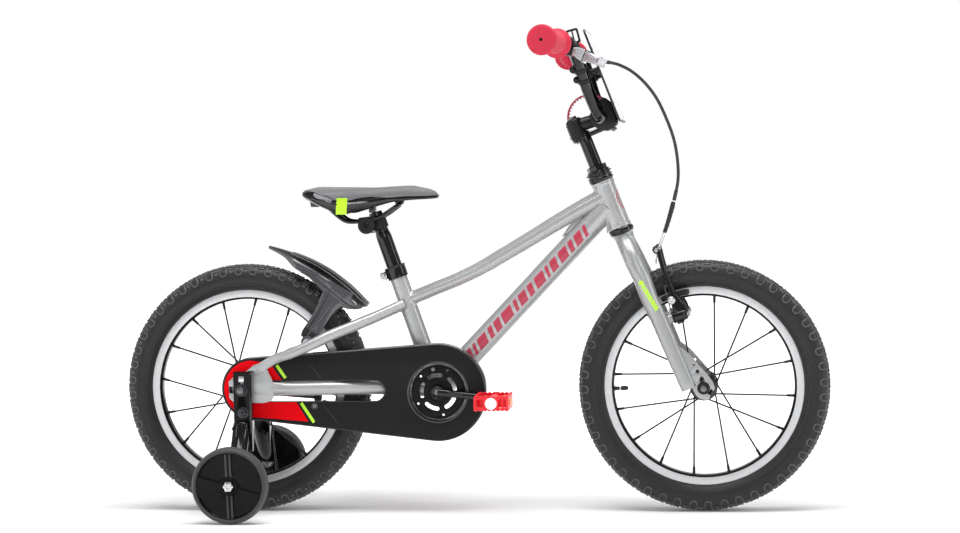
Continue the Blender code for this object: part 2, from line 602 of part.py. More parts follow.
def saddle_loft(rows):
    verts, faces = [], []
    m = len(rows[0])
    for row in rows:
        verts += [Vector(p) for p in row]
    for i in range(len(rows) - 1):
        for k in range(m):
            l = (k + 1) % m
            faces.append((i * m + k, i * m + l, (i + 1) * m + l, (i + 1) * m + k))
    faces.append(tuple(range(m)))
    faces.append(tuple((len(rows) - 1) * m + k for k in range(m)))
    return raw_mesh(verts, faces)


cover_rows, base_rows = [], []
for x, w, top_z, seam, under in SADDLE:
    h = top_z - seam
    cover_rows.append([(x, -w, seam), (x, -w * 0.97, seam + h * 0.45), (x, -w * 0.78, seam + h * 0.83), (x, -w * 0.4, seam + h * 0.98),
                       (x, 0, top_z), (x, w * 0.4, seam + h * 0.98), (x, w * 0.78, seam + h * 0.83), (x, w * 0.97, seam + h * 0.45),
                       (x, w, seam)])
    base_rows.append([(x, -w * 0.98, seam - GAP), (x, w * 0.98, seam - GAP), (x, w * 0.9, under), (x, w * 0.35, under),
                      (x, -w * 0.35, under), (x, -w * 0.9, under)])
node("saddle_cover", saddle_loft(cover_rows), GREY, "at_saddle")
node("saddle_base", saddle_loft(base_rows), GLOSS, "at_saddle")

# ---------------------------------------------------------------- fork
steerer = lathe([(STEERER_R, -62), (STEERER_IN, -62), (STEERER_IN, 71), (STEERER_R, 71)], head_at(0), HEAD_DIR, 24, ref=Y_AXIS)
crown_base = lathe([(0, -66), (15.5, -66), (15.5, -50), (0, -50)], head_at(0), HEAD_DIR, 24, ref=Y_AXIS)
crown_mid = head_at(-64)
crown_bar = lathe([(0, -15.7), (13.9, -15.7), (13.9, 15.7), (0, 15.7)], crown_mid, segs=16)
bore = lathe([(0, -61), (STEERER_IN, -61), (STEERER_IN, -40), (0, -40)], head_at(0), HEAD_DIR, 24, ref=Y_AXIS)
fork_top = union(minus(union(crown_base, crown_bar), bore), steerer)
node("fork_steerer", fork_top, PAINT, "at_steering")

leg_line = [tuple(crown_mid + Vector((0, -12, 0))), tuple(crown_mid + Vector((0.4, -20, -0.8))), (249.4, -29, 426.8),
            (253.6, -37, 417.5), (259.5, -43.8, 405),
            (266.8, -48, 389), (275, -50, 372), (286.5, -50.5, 340), (297.5, -51, 316.5), (320, -53, 262), (346.5, -55.5, 200)]
leg = tube([Vector(p) for p in leg_line], [13.9, 13.9, 14.1, 14.4, 14.5, 14.5, 14.3, 13.8, 13.2, 12.6, 12.0], 14,
           first=Vector((0, -1, 0)))
fork_drop = [(318, 262), (330, 268), (339, 263.5), (348.6, 255.7), (358, 245), (368.5, 233.1), (378.5, 222), (385.5, 213),
             (388.5, 203), (387, 192.5), (381, 185), (374.6, 182)] + arc(FRONT, 5.1, 0, 180, 7) + \
            [(364.4, 182), (355, 186), (348, 194), (340, 204), (334, 215)]
leg = minus(leg, block(crown_mid, (70, 32, 70)))
leg = union(leg, prism(fork_drop, -56.0, -51.0))
stud_root = Vector((PIVOT_X, -PIVOT_Y, PIVOT_Z)) - STUD_DIR * 30
leg = union(leg, lathe([(0, 0), (7.5, 0), (7.5, 22.1), (0, 22.1)], stud_root, STUD_DIR, 12, ref=Y_AXIS))
node("fork_leg_left", mirrored(leg), PAINT, "at_steering")
node("fork_leg_right", leg, PAINT, "at_steering")

fa_half = [(0, 68), (4.7, 68), (4.7, 64.5), (8.6, 64.5), (8.6, 56.3), (4.7, 56.3), (4.7, 50.7), (8, 50.7), (8, 38.8), (4.7, 38.8)]
node("front_axle", lathe([(r, -h) for r, h in fa_half] + [(r, h) for r, h in fa_half[::-1]], (FRONT[0], 0, FRONT[1]),
                         segs=12, phase=math.pi / 12), STEEL, "at_steering")

node("headset_locknut", lathe([(18.5, 67), (13.0, 67), (13.0, 50.4), (18.5, 50.4), (18.5, 52.5), (20.6, 52.5), (20.6, 54.8),
                               (18.5, 54.8)], head_at(0), HEAD_DIR, 20, ref=Y_AXIS), BLACK, "at_steering")

# stem: quill, head, extension and bar clamp
quill = lathe([(0, 8), (QUILL_R, 8), (QUILL_R, 124), (0, 124)], head_at(0), HEAD_DIR, 20, ref=Y_AXIS)
stem_head = lathe([(0, 113.5), (11.5, 113.5), (14, 117), (14, 145), (10.5, 149.5), (0, 149.5)], head_at(0, -6.8), HEAD_DIR, 18, ref=Y_AXIS)
clamp_c = Vector((BAR_CLAMP[0], 0, BAR_CLAMP[1]))
extension = tube([head_at(136.5, -4), clamp_c], 10.5, 14)
strut = tube([head_at(117, 0), clamp_c + Vector((4, 0, -16))], 4.2, 8)
bar_clamp = prism([(203, 657), (215, 662.5), (227, 653.5), (234.5, 631), (236, 620), (221, 609), (207, 611.5), (194.5, 620),
                   (191.5, 632), (196, 643)], -21, 21)
stem = union(quill, stem_head, extension, strut, bar_clamp)
stem = minus(stem, lathe([(0, -30), (BAR_R + GAP, -30), (BAR_R + GAP, 30), (0, 30)], clamp_c, segs=16, phase=math.pi / 16))
node("stem", stem, BLACK, "at_steering")

# handlebar: one bent tube
bar_half = [(209.5, 0, 629.5), (209.5, -33, 629.5), (208.8, -44, 632), (206.3, -54, 640), (200.5, -62, 654), (193.5, -70, 672.5),
            (186.5, -79.5, 695), (181.7, -86, 711), (177.8, -92.5, 722), (174.3, -101, 731), (171.5, -113, 736.5),
            (168.5, -127, 738.6)]
grip_a = Vector((155.2, -GRIP_START, 740.3))
grip_b = Vector((137.4, -GRIP_END, 742.0))
grip_dir = (grip_b - grip_a).normalized()
bar_right = [Vector(p) for p in bar_half] + [grip_a, grip_b - grip_dir * 6]
bar_line = [Vector((p.x, -p.y, p.z)) for p in bar_right[:0:-1]] + bar_right
node("handlebar", tube(bar_line, BAR_R, 12, up=Vector((1, 0, 0))), BLACK, "at_steering")

grip_len = (grip_b - grip_a).length
grip_prof = [(BAR_R + GAP, 0), (22, 0), (23, 2), (22, 4.5), (16.5, 6.5), (15.2, 25), (15.2, grip_len - 22),
             (17, grip_len - 12), (23, grip_len - 9), (23.3, grip_len - 2.5), (21, grip_len), (4, grip_len),
             (4, grip_len - 3), (BAR_R + GAP, grip_len - 5.6)]
grip = lathe(grip_prof, grip_a, grip_dir, 18, ref=Vector((0, 0, 1)))
node("grip_left", mirrored(grip), RED, "at_steering")
node("grip_right", grip, RED, "at_steering")

# brake lever housing on the right of the bar
bar_at_lever = Vector((165.23, -142.0, 739.02))
lever_bar_dir = (grip_a - bar_right[-3]).normalized()
lever_fwd = Vector((0.9135, 0, -0.4067))
lever_up = Vector((0.4067, 0, 0.9135))


def at_lever(u, y, v=0.0):
    """u forward of the bar's axis and v above it, in the lever's plane."""
    base = bar_at_lever + lever_bar_dir * ((y - bar_at_lever.y) / lever_bar_dir.y)
    return base + lever_fwd * u + lever_up * v


barrel_dir = Vector((0.93, 0.33, -0.22)).normalized()
barrel_end = Vector((222.3, -115.3, 714.6))
hous = union(lathe([(0, -8), (15.5, -8), (15.5, 8), (0, 8)], bar_at_lever, lever_bar_dir, 16, ref=Vector((0, 0, 1))),
             tube([at_lever(10, -141), at_lever(32, -130, -1), barrel_end - barrel_dir * 13], [7.5, 7.2, 6.4], 10, up=lever_up),
             lathe([(0, -16), (4.7, -16), (4.7, 0), (0, 0)], barrel_end, barrel_dir, 10, ref=lever_up))
# two ears that hold the lever between them
for v0 in (-11.9, 5.9):
    hous = union(hous, block(at_lever(34.5, -141.3, v0), (11, 24, 2.4), lever_fwd))
hous = union(hous, block(at_lever(34.5, -133.0, -3), (11, 6, 20.2), lever_fwd))
hous = minus(hous, lathe([(0, -30), (BAR_R + 0.45, -30), (BAR_R + 0.45, 30), (0, 30)], bar_at_lever, lever_bar_dir, 20,
                         ref=Vector((0, 0, 1)), phase=math.pi / 20))
pivot = Vector(LEVER_PIVOT)
node("brake_lever_housing", hous, BLACK, "at_steering")

# number plate on two stand-offs from the risers
plate_c = Vector((216.2, 0, 695.2))
plate = block(plate_c, (1.8, 168, 154.5), HEAD_FWD)
for side in (-1, 1):
    plate = union(plate, lathe([(0, 0), (5, 0), (5, 15.6), (0, 15.6)], Vector((197.8, side * 78, 699.0)),
                               HEAD_FWD, 10, ref=Y_AXIS))
node("number_plate", plate, WHITE, "at_steering", smooth=False)

# brake cable: housing from the lever to the noodle, then the bare inner across
cable_from = barrel_end + barrel_dir * 0.5
housing = smooth_path([cable_from, (233.9, -110.5, 712.6), (246, -106, 709.0), (264.1, -98, 699.2), (283.8, -90, 681.3), (301.9, -82, 656.4),
                       (316.9, -75, 623.5), (327.4, -70, 592.2), (332.4, -66.5, 560.9), (332.9, -65, 529.5), (326.4, -64, 497.4)], 34)
node("brake_cable", tube(housing, 2.5, 6, first=barrel_dir, up=Vector((0, 0, 1))), BLACK, "at_steering")

ARM_TOP = Vector((PIVOT_X, 0, PIVOT_Z)) + Vector((-0.309, 0, 0.951)) * 110.0
noodle = smooth_path([(325.5, -64, 495.7), (322.5, -64.3, 484), (316, -64.3, 462), (308.5, -62, 441), (303, -56, 427.5),
                      (299, -47, ARM_TOP.z + 0.8), (ARM_TOP.x, -40.5, ARM_TOP.z)], 13)
inner = [Vector((ARM_TOP.x, -39.5, ARM_TOP.z)), Vector((ARM_TOP.x, 40, ARM_TOP.z)), Vector((ARM_TOP.x - 0.8, 46, ARM_TOP.z - 3)),
         Vector((ARM_TOP.x - 3.5, 47, ARM_TOP.z - 20))]
node("cable_noodle", tube(noodle + inner, [2.5] * 13 + [0.9] * 4, 6, up=Vector((0, 0, 1))), STEEL, "at_steering")

# ---------------------------------------------------------------- brake
blade_line = [at_lever(36, -146, -3), at_lever(50, -154, -3), at_lever(62.5, -164, -3), at_lever(69, -178, -3),
              at_lever(66.5, -195, -3), at_lever(61, -207, -3), at_lever(62, -217, -3)]
blade = sweep(blade_line, [[(-h, -w), (h, -w), (h, w), (-h, w)]
                           for h, w in ((5, 7), (4.5, 7), (3.5, 7), (3, 6.8), (2.8, 6.5), (2.6, 6), (2.2, 4.5))], up=lever_up)
blade = union(blade, lathe([(0, -7), (6.2, -7), (6.2, 7), (0, 7)], pivot, LEVER_AXIS, 12, ref=Y_AXIS))
node("brake_lever", blade, ALLOY, "at_brake_lever")


def brake_arm(side):
    up = Vector((-0.309, 0, 0.951))
    p0 = Vector((PIVOT_X, side * PIVOT_Y, PIVOT_Z))
    hub = lathe([(0, -7.6), (9, -7.6), (9, 7), (0, 7)], p0, STUD_DIR, 14, ref=Y_AXIS)
    line = [p0 + Vector((0, -side * 1, 0)), p0 + up * 24 + Vector((0, -side * 1.0, 0)),
            p0 + up * 48 + Vector((0, -side * 3.0, 0)), p0 + up * 84 + Vector((0, -side * 5.5, 0)),
            p0 + up * 116 + Vector((0, -side * 7, 0))]
    secs = [[(-a, -b), (a, -b), (a, b), (-a, b)] for a, b in ((6, 5.5), (5.5, 4.8), (4.6, 4.2), (4, 3.8), (4.6, 4.2))]
    shaft = sweep(line, secs, up=Y_AXIS)
    # bore for the cable at the arm's top
    hole = lathe([(0, -20), (2.6, -20), (2.6, 20), (0, 20)], Vector((ARM_TOP.x, side * 35, ARM_TOP.z)), segs=8)
    # post that carries the pad
    post = lathe([(0, 25.2), (4, 25.2), (4, 40), (0, 40)] if side > 0 else [(0, -40), (4, -40), (4, -25.2), (0, -25.2)],
                 Vector((322.5, 0, 345.6)), segs=8)
    return union(minus(shaft, hole), hub, post)


pad_along = Vector((0.958, 0, 0.285))
for s, n in ((-1, "right"), (1, "left")):
    node("brake_arm_" + n, brake_arm(s), BLACK, "at_brake_arm_" + n)
    node("brake_pad_" + n, block((325.0, s * 19.75, 347.0), (46, 10.3, 9.0), pad_along), RUBBER, "at_brake_arm_" + n)


# ---------------------------------------------------------------- wheels
def wheel(prefix, at, centre, hub_profile, flange_r, flange_out, flange_in):
    c = (centre[0], 0, centre[1])
    node(prefix + "_tyre", lathe([(158.8, -12), (166, -20.5), (177, -TYRE_HALF), (189, -22.5), (197.5, -14.5), (TYRE_R, -4.5),
                                  (TYRE_R, 4.5), (197.5, 14.5), (189, 22.5), (177, TYRE_HALF), (166, 20.5), (158.8, 12)],
                                 c, segs=40), RUBBER, at)
    node(prefix + "_rim", lathe([(RIM_R, -RIM_HALF), (147, -RIM_HALF), (RIM_IN, -7), (RIM_IN, 7), (147, RIM_HALF),
                                 (RIM_R, RIM_HALF), (152.5, 8), (152.5, -8)], c, segs=40), ALLOY, at)
    node(prefix + "_hub", lathe(hub_profile, c, segs=16), BLACK, at)
    # spokes: prisms grown from the inner wall of a thin nipple ring
    r_out = RIM_IN * math.cos(math.pi / 40) - GAP
    r_in, half = r_out - 2.2, 2.2
    verts, faces = [], []
    angles = []
    for i in range(SPOKES):
        a = 2 * math.pi * (i + 0.5) / SPOKES
        d = 1.1 / r_in
        angles += [a - d, a + d, a + math.pi / SPOKES]
    cx, cz = centre
    for a in angles:
        for r, y in ((r_out, -half), (r_out, half), (r_in, half), (r_in, -half)):
            verts.append(Vector((cx + r * math.cos(a), y, cz + r * math.sin(a))))
    n = len(angles)
    for i in range(n):
        j = (i + 1) % n
        for k in range(4):
            if k == 2 and i % 3 == 0:
                continue
            l = (k + 1) % 4
            faces.append((i * 4 + k, i * 4 + l, j * 4 + l, j * 4 + k))
    for i in range(SPOKES):
        a = 2 * math.pi * (i + 0.5) / SPOKES
        side = -1 if i % 2 else 1
        lean = 1 if (i // 2) % 2 else -1
        ha = a + lean * math.radians(58)
        y_end = (flange_out if lean > 0 else flange_in)[0 if side < 0 else 1]
        end = Vector((cx + flange_r * math.cos(ha), y_end, cz + flange_r * math.sin(ha)))
        start = Vector((cx + r_in * math.cos(a), 0, cz + r_in * math.sin(a)))
        d = (end - start).normalized()
        near = start + d * 12
        across = Vector((-math.sin(a), 0, math.cos(a)))
        thick = d.cross(across).normalized()
        if thick.y < 0:
            thick = -thick
        w = thick.cross(d).normalized()
        if w.dot(across) < 0:
            w = -w
        base = [3 * i * 4 + 3, 3 * i * 4 + 2, (3 * i + 1) * 4 + 2, (3 * i + 1) * 4 + 3]
        prev = base            # (lower y, upper y) at the first angle, then at the second
        for p, h in ((near, 1.0), (end, 0.9)):
            k0 = len(verts)
            verts += [p - w * h - thick * h, p - w * h + thick * h, p + w * h + thick * h, p + w * h - thick * h]
            ring = [k0, k0 + 1, k0 + 2, k0 + 3]
            for q in range(4):
                faces.append((prev[q], prev[(q + 1) % 4], ring[(q + 1) % 4], ring[q]))
            prev = ring
        faces.append(tuple(prev))
    node(prefix + "_spokes", raw_mesh(verts, faces), BLACK, at)


front_hub = [(5.2, -38.4), (9, -38.4), (11, -32), (22, -31), (22, -28.5), (13, -26.5), (13, 26.5), (22, 28.5), (22, 31),
             (11, 32), (9, 38.4), (5.2, 38.4)]
wheel("front", "at_front_wheel", FRONT, front_hub, 18.0, (-34.2, 34.2), (-25.4, 25.4))
rear_hub = [(5.2, -34), (12, -34), (15, -30), (27, -28.5), (27, -26), (19, -23.5), (19, 22.5), (27, 25), (27, 27.5), (16, 29),
            (15, 40.4), (5.2, 40.4)]
wheel("rear", "at_rear_wheel", REAR, rear_hub, 23.5, (-32.2, 31.2), (-22.6, 21.6))


# ---------------------------------------------------------------- drivetrain
def toothed(teeth, centre, half, shift):
    """Disc with one flat-topped tooth per chain pitch; a tooth tip at angle shift."""
    r = PITCH / (2 * math.sin(math.pi / teeth))
    out = []
    for i in range(teeth):
        a = 2 * math.pi * i / teeth + shift
        step = 2 * math.pi / teeth
        for f, rr in ((-0.30, r - 3.4), (-0.12, r + 2.0), (0.12, r + 2.0), (0.30, r - 3.4)):
            out.append((centre[0] + rr * math.cos(a + f * step), centre[1] + rr * math.sin(a + f * step)))
    return prism(out, -CHAINLINE - half, -CHAINLINE + half)


ring = toothed(CHAINRING_TEETH, BB, 1.4, 0.0)
slots = []
for i in range(5):
    a0 = 90 - 28 + 72 * i
    slots.append(prism(arc(BB, 36, a0, a0 + 56 - 16, 5) + arc(BB, 20, a0 + 36, a0 + 4, 4), -50, -30))
ring = minus(ring, lathe([(0, -50), (9.6, -50), (9.6, -30), (0, -30)], (BB[0], 0, BB[1]), segs=14), *slots)
node("chainring", ring, BLACK, "at_crank", smooth=False)

node("crank_spindle", lathe([(0, -40.4), (8.6, -40.4), (8.6, 41.7), (0, 41.7)], (BB[0], 0, BB[1]), segs=14), STEEL, "at_crank")


def crank(side):
    s = -side
    a = math.radians(-CRANK_DROP_DEG)
    d = Vector((s * math.cos(a), 0, s * math.sin(a)))
    c = Vector((BB[0], 0, BB[1]))

    def at(r, y):
        return c + d * r + Vector((0, side * y, 0))
    line = [at(0, 51.5), at(14, 52), at(26, 56), at(38, 60.5), at(60, 65), at(80, 68), at(CRANK_LENGTH, 70)]
    arm_mesh = tube(line, [8.5, 8.6, 8.2, 7.8, 7.6, 7.6, 8.0], 10, up=Vector((0, 0, 1)))
    inner_face = 40.7 if side < 0 else 42.0
    boss = lathe([(0, side * inner_face), (15, side * inner_face), (15, side * 57), (0, side * 57)], c, segs=16)
    px, pz = crank_end(side)
    eye = lathe([(0, side * 62.5), (11, side * 62.5), (11, side * 77.5), (0, side * 77.5)], (px, 0, pz), segs=14)
    spindle = lathe([(0, side * 70), (5, side * 70), (5, side * 150), (0, side * 150)], (px, 0, pz), segs=10)
    return union(arm_mesh, boss, eye, spindle)


def pedal(side):
    px, pz = crank_end(side)
    body = block((px, side * 119.5, pz), (55, 78, 26))
    bm = bmesh.new()
    bm.from_mesh(body)
    edges = [e for e in bm.edges if abs((e.verts[0].co - e.verts[1].co).normalized().y) > 0.9]
    bmesh.ops.bevel(bm, geom=edges, offset=6.0, segments=2, profile=0.5, affect="EDGES")
    bm.to_mesh(body)
    bm.free()
    return minus(body, lathe([(0, side * 60), (5.4, side * 60), (5.4, side * 150.6), (0, side * 150.6)], (px, 0, pz), segs=10))


for s, n in ((-1, "right"), (1, "left")):
    node("crank_" + n, crank(s), BLACK, "at_crank")
    node("pedal_" + n, pedal(s), RED, "at_pedal_" + n)

cog = toothed(SPROCKET_TEETH, REAR, 1.3, 0.0)
cog = union(cog, lathe([(0, -46.9), (11, -46.9), (11, -34.4), (0, -34.4)], (REAR[0], 0, REAR[1]), segs=16))
cog = minus(cog, lathe([(0, -60), (5.2, -60), (5.2, -20), (0, -20)], (REAR[0], 0, REAR[1]), segs=12))
node("rear_sprocket", cog, STEEL, "at_sprocket", smooth=False)

for data in list(bpy.data.meshes):
    if data.users == 0:
        bpy.data.meshes.remove(data)
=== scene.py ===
"""A kids bike with stabiliser wheels, seen from its drive side. Lengths below are in millimetres in the row frame."""

import math

import bpy
import bmesh
import numpy as np
from mathutils import Matrix, Vector
from mathutils.bvhtree import BVHTree


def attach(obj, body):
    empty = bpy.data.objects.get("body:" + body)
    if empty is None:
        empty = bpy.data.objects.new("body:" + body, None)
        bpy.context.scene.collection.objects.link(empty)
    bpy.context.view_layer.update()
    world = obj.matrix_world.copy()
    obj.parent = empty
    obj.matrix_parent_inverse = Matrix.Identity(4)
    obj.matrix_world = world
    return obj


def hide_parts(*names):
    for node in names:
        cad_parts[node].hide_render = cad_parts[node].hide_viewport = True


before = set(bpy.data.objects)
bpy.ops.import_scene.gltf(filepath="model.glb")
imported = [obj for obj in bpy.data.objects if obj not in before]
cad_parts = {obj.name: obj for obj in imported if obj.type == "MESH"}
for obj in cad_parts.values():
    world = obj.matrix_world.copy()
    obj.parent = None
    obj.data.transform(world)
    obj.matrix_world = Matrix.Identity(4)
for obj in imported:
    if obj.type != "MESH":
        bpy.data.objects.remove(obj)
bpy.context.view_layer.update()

MM = 0.001
X_AXIS, Y_AXIS, Z_AXIS = Vector((1, 0, 0)), Vector((0, 1, 0)), Vector((0, 0, 1))
FRONT = Vector((369.5, 0, 201))
REAR = Vector((-369.5, 0, 201))
BB = Vector((-54, 0, 195))
SEAT_DIR = Vector((-math.cos(math.radians(71)), 0, math.sin(math.radians(71))))
HEAD_DIR = Vector((-math.cos(math.radians(69)), 0, math.sin(math.radians(69))))
HEAD_FWD = Vector((math.sin(math.radians(69)), 0, math.cos(math.radians(69))))
HEAD_MID = Vector((224, 0, 491.5))


def seat_at(t, off=0.0, y=0.0):
    fwd = Vector((SEAT_DIR.z, 0, -SEAT_DIR.x))
    return Vector((-59, 0, 195)) + SEAT_DIR * t + fwd * off + Vector((0, y, 0))


def head_at(s, fwd=0.0, y=0.0):
    return HEAD_MID + HEAD_DIR * s + HEAD_FWD * fwd + Vector((0, y, 0))


# ---------------------------------------------------------------- shape tools

def dense(rows, n):
    """Catmull-Rom curve through rows of any width, n steps for each span."""
    p = np.array([list(r) for r in rows], float)
    ext = np.vstack([2 * p[0] - p[1], p, 2 * p[-1] - p[-2]])
    out = []
    for i in range(1, len(ext) - 2):
        a, b, c, d = ext[i - 1], ext[i], ext[i + 1], ext[i + 2]
        for k in range(n):
            t = k / n
            out.append(0.5 * ((2 * b) + (c - a) * t + (2 * a - 5 * b + 4 * c - d) * t * t + (3 * b - a - 3 * c + d) * t ** 3))
    out.append(ext[-2])
    return out


def vecs(rows):
    return [Vector((r[0], r[1], r[2])) for r in rows]


def tangents(pts):
    out = []
    for i in range(len(pts)):
        a, b = pts[max(i - 1, 0)], pts[min(i + 1, len(pts) - 1)]
        out.append((b - a).normalized())
    return out


def frames(pts, ref=None):
    """(side, up) for each point; with ref the side keeps to ref, otherwise it is carried along the path."""
    tan = tangents(pts)
    out = []
    side = None
    for t in tan:
        if ref is not None:
            s = ref - t * ref.dot(t)
        elif side is None:
            r = Y_AXIS if abs(t.y) < 0.9 else X_AXIS
            s = r - t * r.dot(t)
        else:
            s = side - t * side.dot(t)
        s.normalize()
        side = s
        out.append((s, t.cross(s).normalized()))
    return out


def skin(rings, cap=True, loop=False):
    """Faces between rings of equal length."""
    verts, faces = [], []
    n = len(rings[0])
    for r in rings:
        verts.extend(r)
    m = len(rings)
    for i in range(m if loop else m - 1):
        a, b = i * n, ((i + 1) % m) * n
        for k in range(n):
            k2 = (k + 1) % n
            faces.append((a + k, a + k2, b + k2, b + k))
    if cap and not loop:
        faces.append(tuple(range(n))[::-1])
        faces.append(tuple((m - 1) * n + k for k in range(n)))
    return verts, faces


def sweep(pts, sections, ref=None, cap=True):
    fr = frames(pts, ref)
    rings = []
    for i, p in enumerate(pts):
        s, u = fr[i]
        sec = sections[i] if isinstance(sections[0][0], (tuple, list)) else sections
        rings.append([p + s * a + u * b for a, b in sec])
    return skin(rings, cap)


def tube(pts, radii, sides=28, edge=0.0, hole=0.0):
    """A round tube through the points; edge rounds its ends, hole sinks a bore into both ends."""
    if not isinstance(radii, (list, tuple)):
        radii = [radii] * len(pts)
    fr = frames(pts)
    tan = tangents(pts)
    rings = []

    def ring(p, f, r):
        return [p + f[0] * math.cos(2 * math.pi * k / sides) * r + f[1] * math.sin(2 * math.pi * k / sides) * r for k in range(sides)]
    last = len(pts) - 1
    if hole:
        rings.append(ring(pts[0] + tan[0] * 6, fr[0], hole))
        rings.append(ring(pts[0], fr[0], hole))
    if edge:
        arcs = [math.pi / 2 * k / 3 for k in range(4)]
        for a in arcs:
            rings.append(ring(pts[0] + tan[0] * edge * (1 - math.cos(a)), fr[0], radii[0] - edge * (1 - math.sin(a))))
        for p, f, r in zip(pts[1:last], fr[1:last], radii[1:last]):
            if (p - pts[0]).length > edge * 1.3 and (p - pts[last]).length > edge * 1.3:
                rings.append(ring(p, f, r))
        for a in arcs:
            rings.append(ring(pts[last] - tan[last] * edge * (1 - math.sin(a)), fr[last], radii[last] - edge * (1 - math.cos(a))))
    else:
        for p, f, r in zip(pts, fr, radii):
            rings.append(ring(p, f, r))
    if hole:
        rings.append(ring(pts[last], fr[last], hole))
        rings.append(ring(pts[last] - tan[last] * 6, fr[last], hole))
    return skin(rings)


def rod(a, b, r, sides=28, edge=0.6, hole=0.0):
    a, b = Vector(a), Vector(b)
    return tube([a, a.lerp(b, 0.5), b], r, sides, edge, hole)


def basis(axis, ref=None):
    axis = axis.normalized()
    if ref is None:
        ref = X_AXIS if abs(axis.x) < 0.8 else Z_AXIS
    u = (ref - axis * ref.dot(axis)).normalized()
    return u, axis.cross(u).normalized()


def fillet(pts, r, n=3, closed=True, keep=()):
    """Rounds the corners of a 2D polygon."""
    out = []
    m = len(pts)
    for i in range(m):
        p = np.array(pts[i], float)
        if (not closed and i in (0, m - 1)) or i in keep:
            out.append(tuple(p))
            continue
        a, b = np.array(pts[(i - 1) % m], float), np.array(pts[(i + 1) % m], float)
        da, db = a - p, b - p
        la, lb = np.linalg.norm(da), np.linalg.norm(db)
        if la < 1e-6 or lb < 1e-6:
            continue
        rr = min(r, la * 0.45, lb * 0.45)
        pa, pb = p + da / la * rr, p + db / lb * rr
        for k in range(n + 1):
            t = k / n
            q = (1 - t) ** 2 * pa + 2 * t * (1 - t) * p + t * t * pb
            out.append((float(q[0]), float(q[1])))
    return out


def lathe(profile, centre=(0, 0, 0), axis=Y_AXIS, segs=64, closed=True, ref=None, start=0.0):
    """Turns a list of (radius, along) about the axis; a radius of zero makes a pole."""
    c = Vector(centre)
    axis = Vector(axis).normalized()
    u, v = basis(axis, ref)
    verts, faces, index = [], [], []
    for r, a in profile:
        if r < 1e-6:
            index.append([len(verts)])
            verts.append(c + axis * a)
        else:
            row = []
            for k in range(segs):
                t = start + 2 * math.pi * k / segs
                row.append(len(verts))
                verts.append(c + axis * a + u * (math.cos(t) * r) + v * (math.sin(t) * r))
            index.append(row)
    m = len(profile)
    for i in range(m if closed else m - 1):
        p, q = index[i], index[(i + 1) % m]
        if len(p) == 1 and len(q) == 1:
            continue
        for k in range(segs):
            k2 = (k + 1) % segs
            if len(p) == 1:
                faces.append((p[0], q[k2], q[k]))
            elif len(q) == 1:
                faces.append((p[k], p[k2], q[0]))
            else:
                faces.append((p[k], p[k2], q[k2], q[k]))
    return verts, faces


def disc(centre, axis, r, a0, a1, segs=48, edge=0.5, dish=0.0):
    """A turned disc with rounded edges between two places along its axis."""
    prof = fillet([(0, a0), (r, a0), (r, a1), (0, a1 - dish)], edge, 3, closed=False)
    return lathe(prof, centre, axis, segs, closed=False)


def ring(centre, axis, r_in, r_out, a0, a1, segs=64, edge=0.4):
    return lathe(fillet([(r_in, a0), (r_out, a0), (r_out, a1), (r_in, a1)], edge, 3), centre, axis, segs)


def poly(n, r, turn=0.0):
    return [(r * math.cos(2 * math.pi * k / n + turn), r * math.sin(2 * math.pi * k / n + turn)) for k in range(n)]


def stack(layers, centre, axis, ref=None):
    """Rings of 2D outlines at places along an axis: [(outline, along), ...], capped at both ends."""
    c = Vector(centre)
    axis = Vector(axis).normalized()
    u, v = basis(axis, ref)
    return skin([[c + axis * a + u * p + v * q for p, q in line] for line, a in layers])


def scaled(line, f):
    return [(a * f, b * f) for a, b in line]


def slab(line, centre, axis, a0, a1, bevel=0.5, ref=None):
    """A convex outline pulled along an axis with a bevel round both faces."""
    cx = sum(p[0] for p in line) / len(line)
    cy = sum(p[1] for p in line) / len(line)
    size = max(math.hypot(p[0] - cx, p[1] - cy) for p in line)

    def shrink(d):
        f = 1 - d / size
        return [(cx + (p[0] - cx) * f, cy + (p[1] - cy) * f) for p in line]
    s = 1 if a1 > a0 else -1
    return stack([(shrink(bevel), a0), (shrink(bevel * 0.3), a0 + s * bevel * 0.3), (line, a0 + s * bevel),
                  (line, a1 - s * bevel), (shrink(bevel * 0.3), a1 - s * bevel * 0.3), (shrink(bevel), a1)], centre, axis, ref)


def box(centre, size, bevel=0.6, rot=None):
    """A box with rounded edges; rot is a 3x3 matrix whose columns are its own axes."""
    bm = bmesh.new()
    bmesh.ops.create_cube(bm, size=1.0)
    for v in bm.verts:
        v.co = Vector((v.co.x * size[0], v.co.y * size[1], v.co.z * size[2]))
    if bevel:
        bmesh.ops.bevel(bm, geom=bm.edges[:], offset=bevel, segments=2, profile=0.6, affect="EDGES", clamp_overlap=True)
    bm.verts.index_update()
    rot = rot or Matrix.Identity(3)
    verts = [rot @ v.co + Vector(centre) for v in bm.verts]
    faces = [tuple(v.index for v in f.verts) for f in bm.faces]
    bm.free()
    return verts, faces


def turned(u, v=None):
    """Axes with x along u and y near v."""
    x = Vector(u).normalized()
    y = Vector(v or Y_AXIS)
    y = (y - x * y.dot(x)).normalized()
    z = x.cross(y)
    return Matrix((x, y, z)).transposed()


def hex_bolt(centre, axis, r, h, washer=0.0):
    """Six-sided head with a chamfered crown on a washer; centre is on the seat of the head."""
    out = []
    if washer:
        out.append(disc(centre, axis, r * 1.28, 0, washer, 32, 0.25))
    line = poly(6, r)
    out.append(stack([(scaled(line, 0.97), washer), (line, washer + 0.25), (line, washer + h * 0.72), (scaled(line, 0.86), washer + h),
                      (scaled(line, 0.3), washer + h)], centre, axis))
    return join(out)


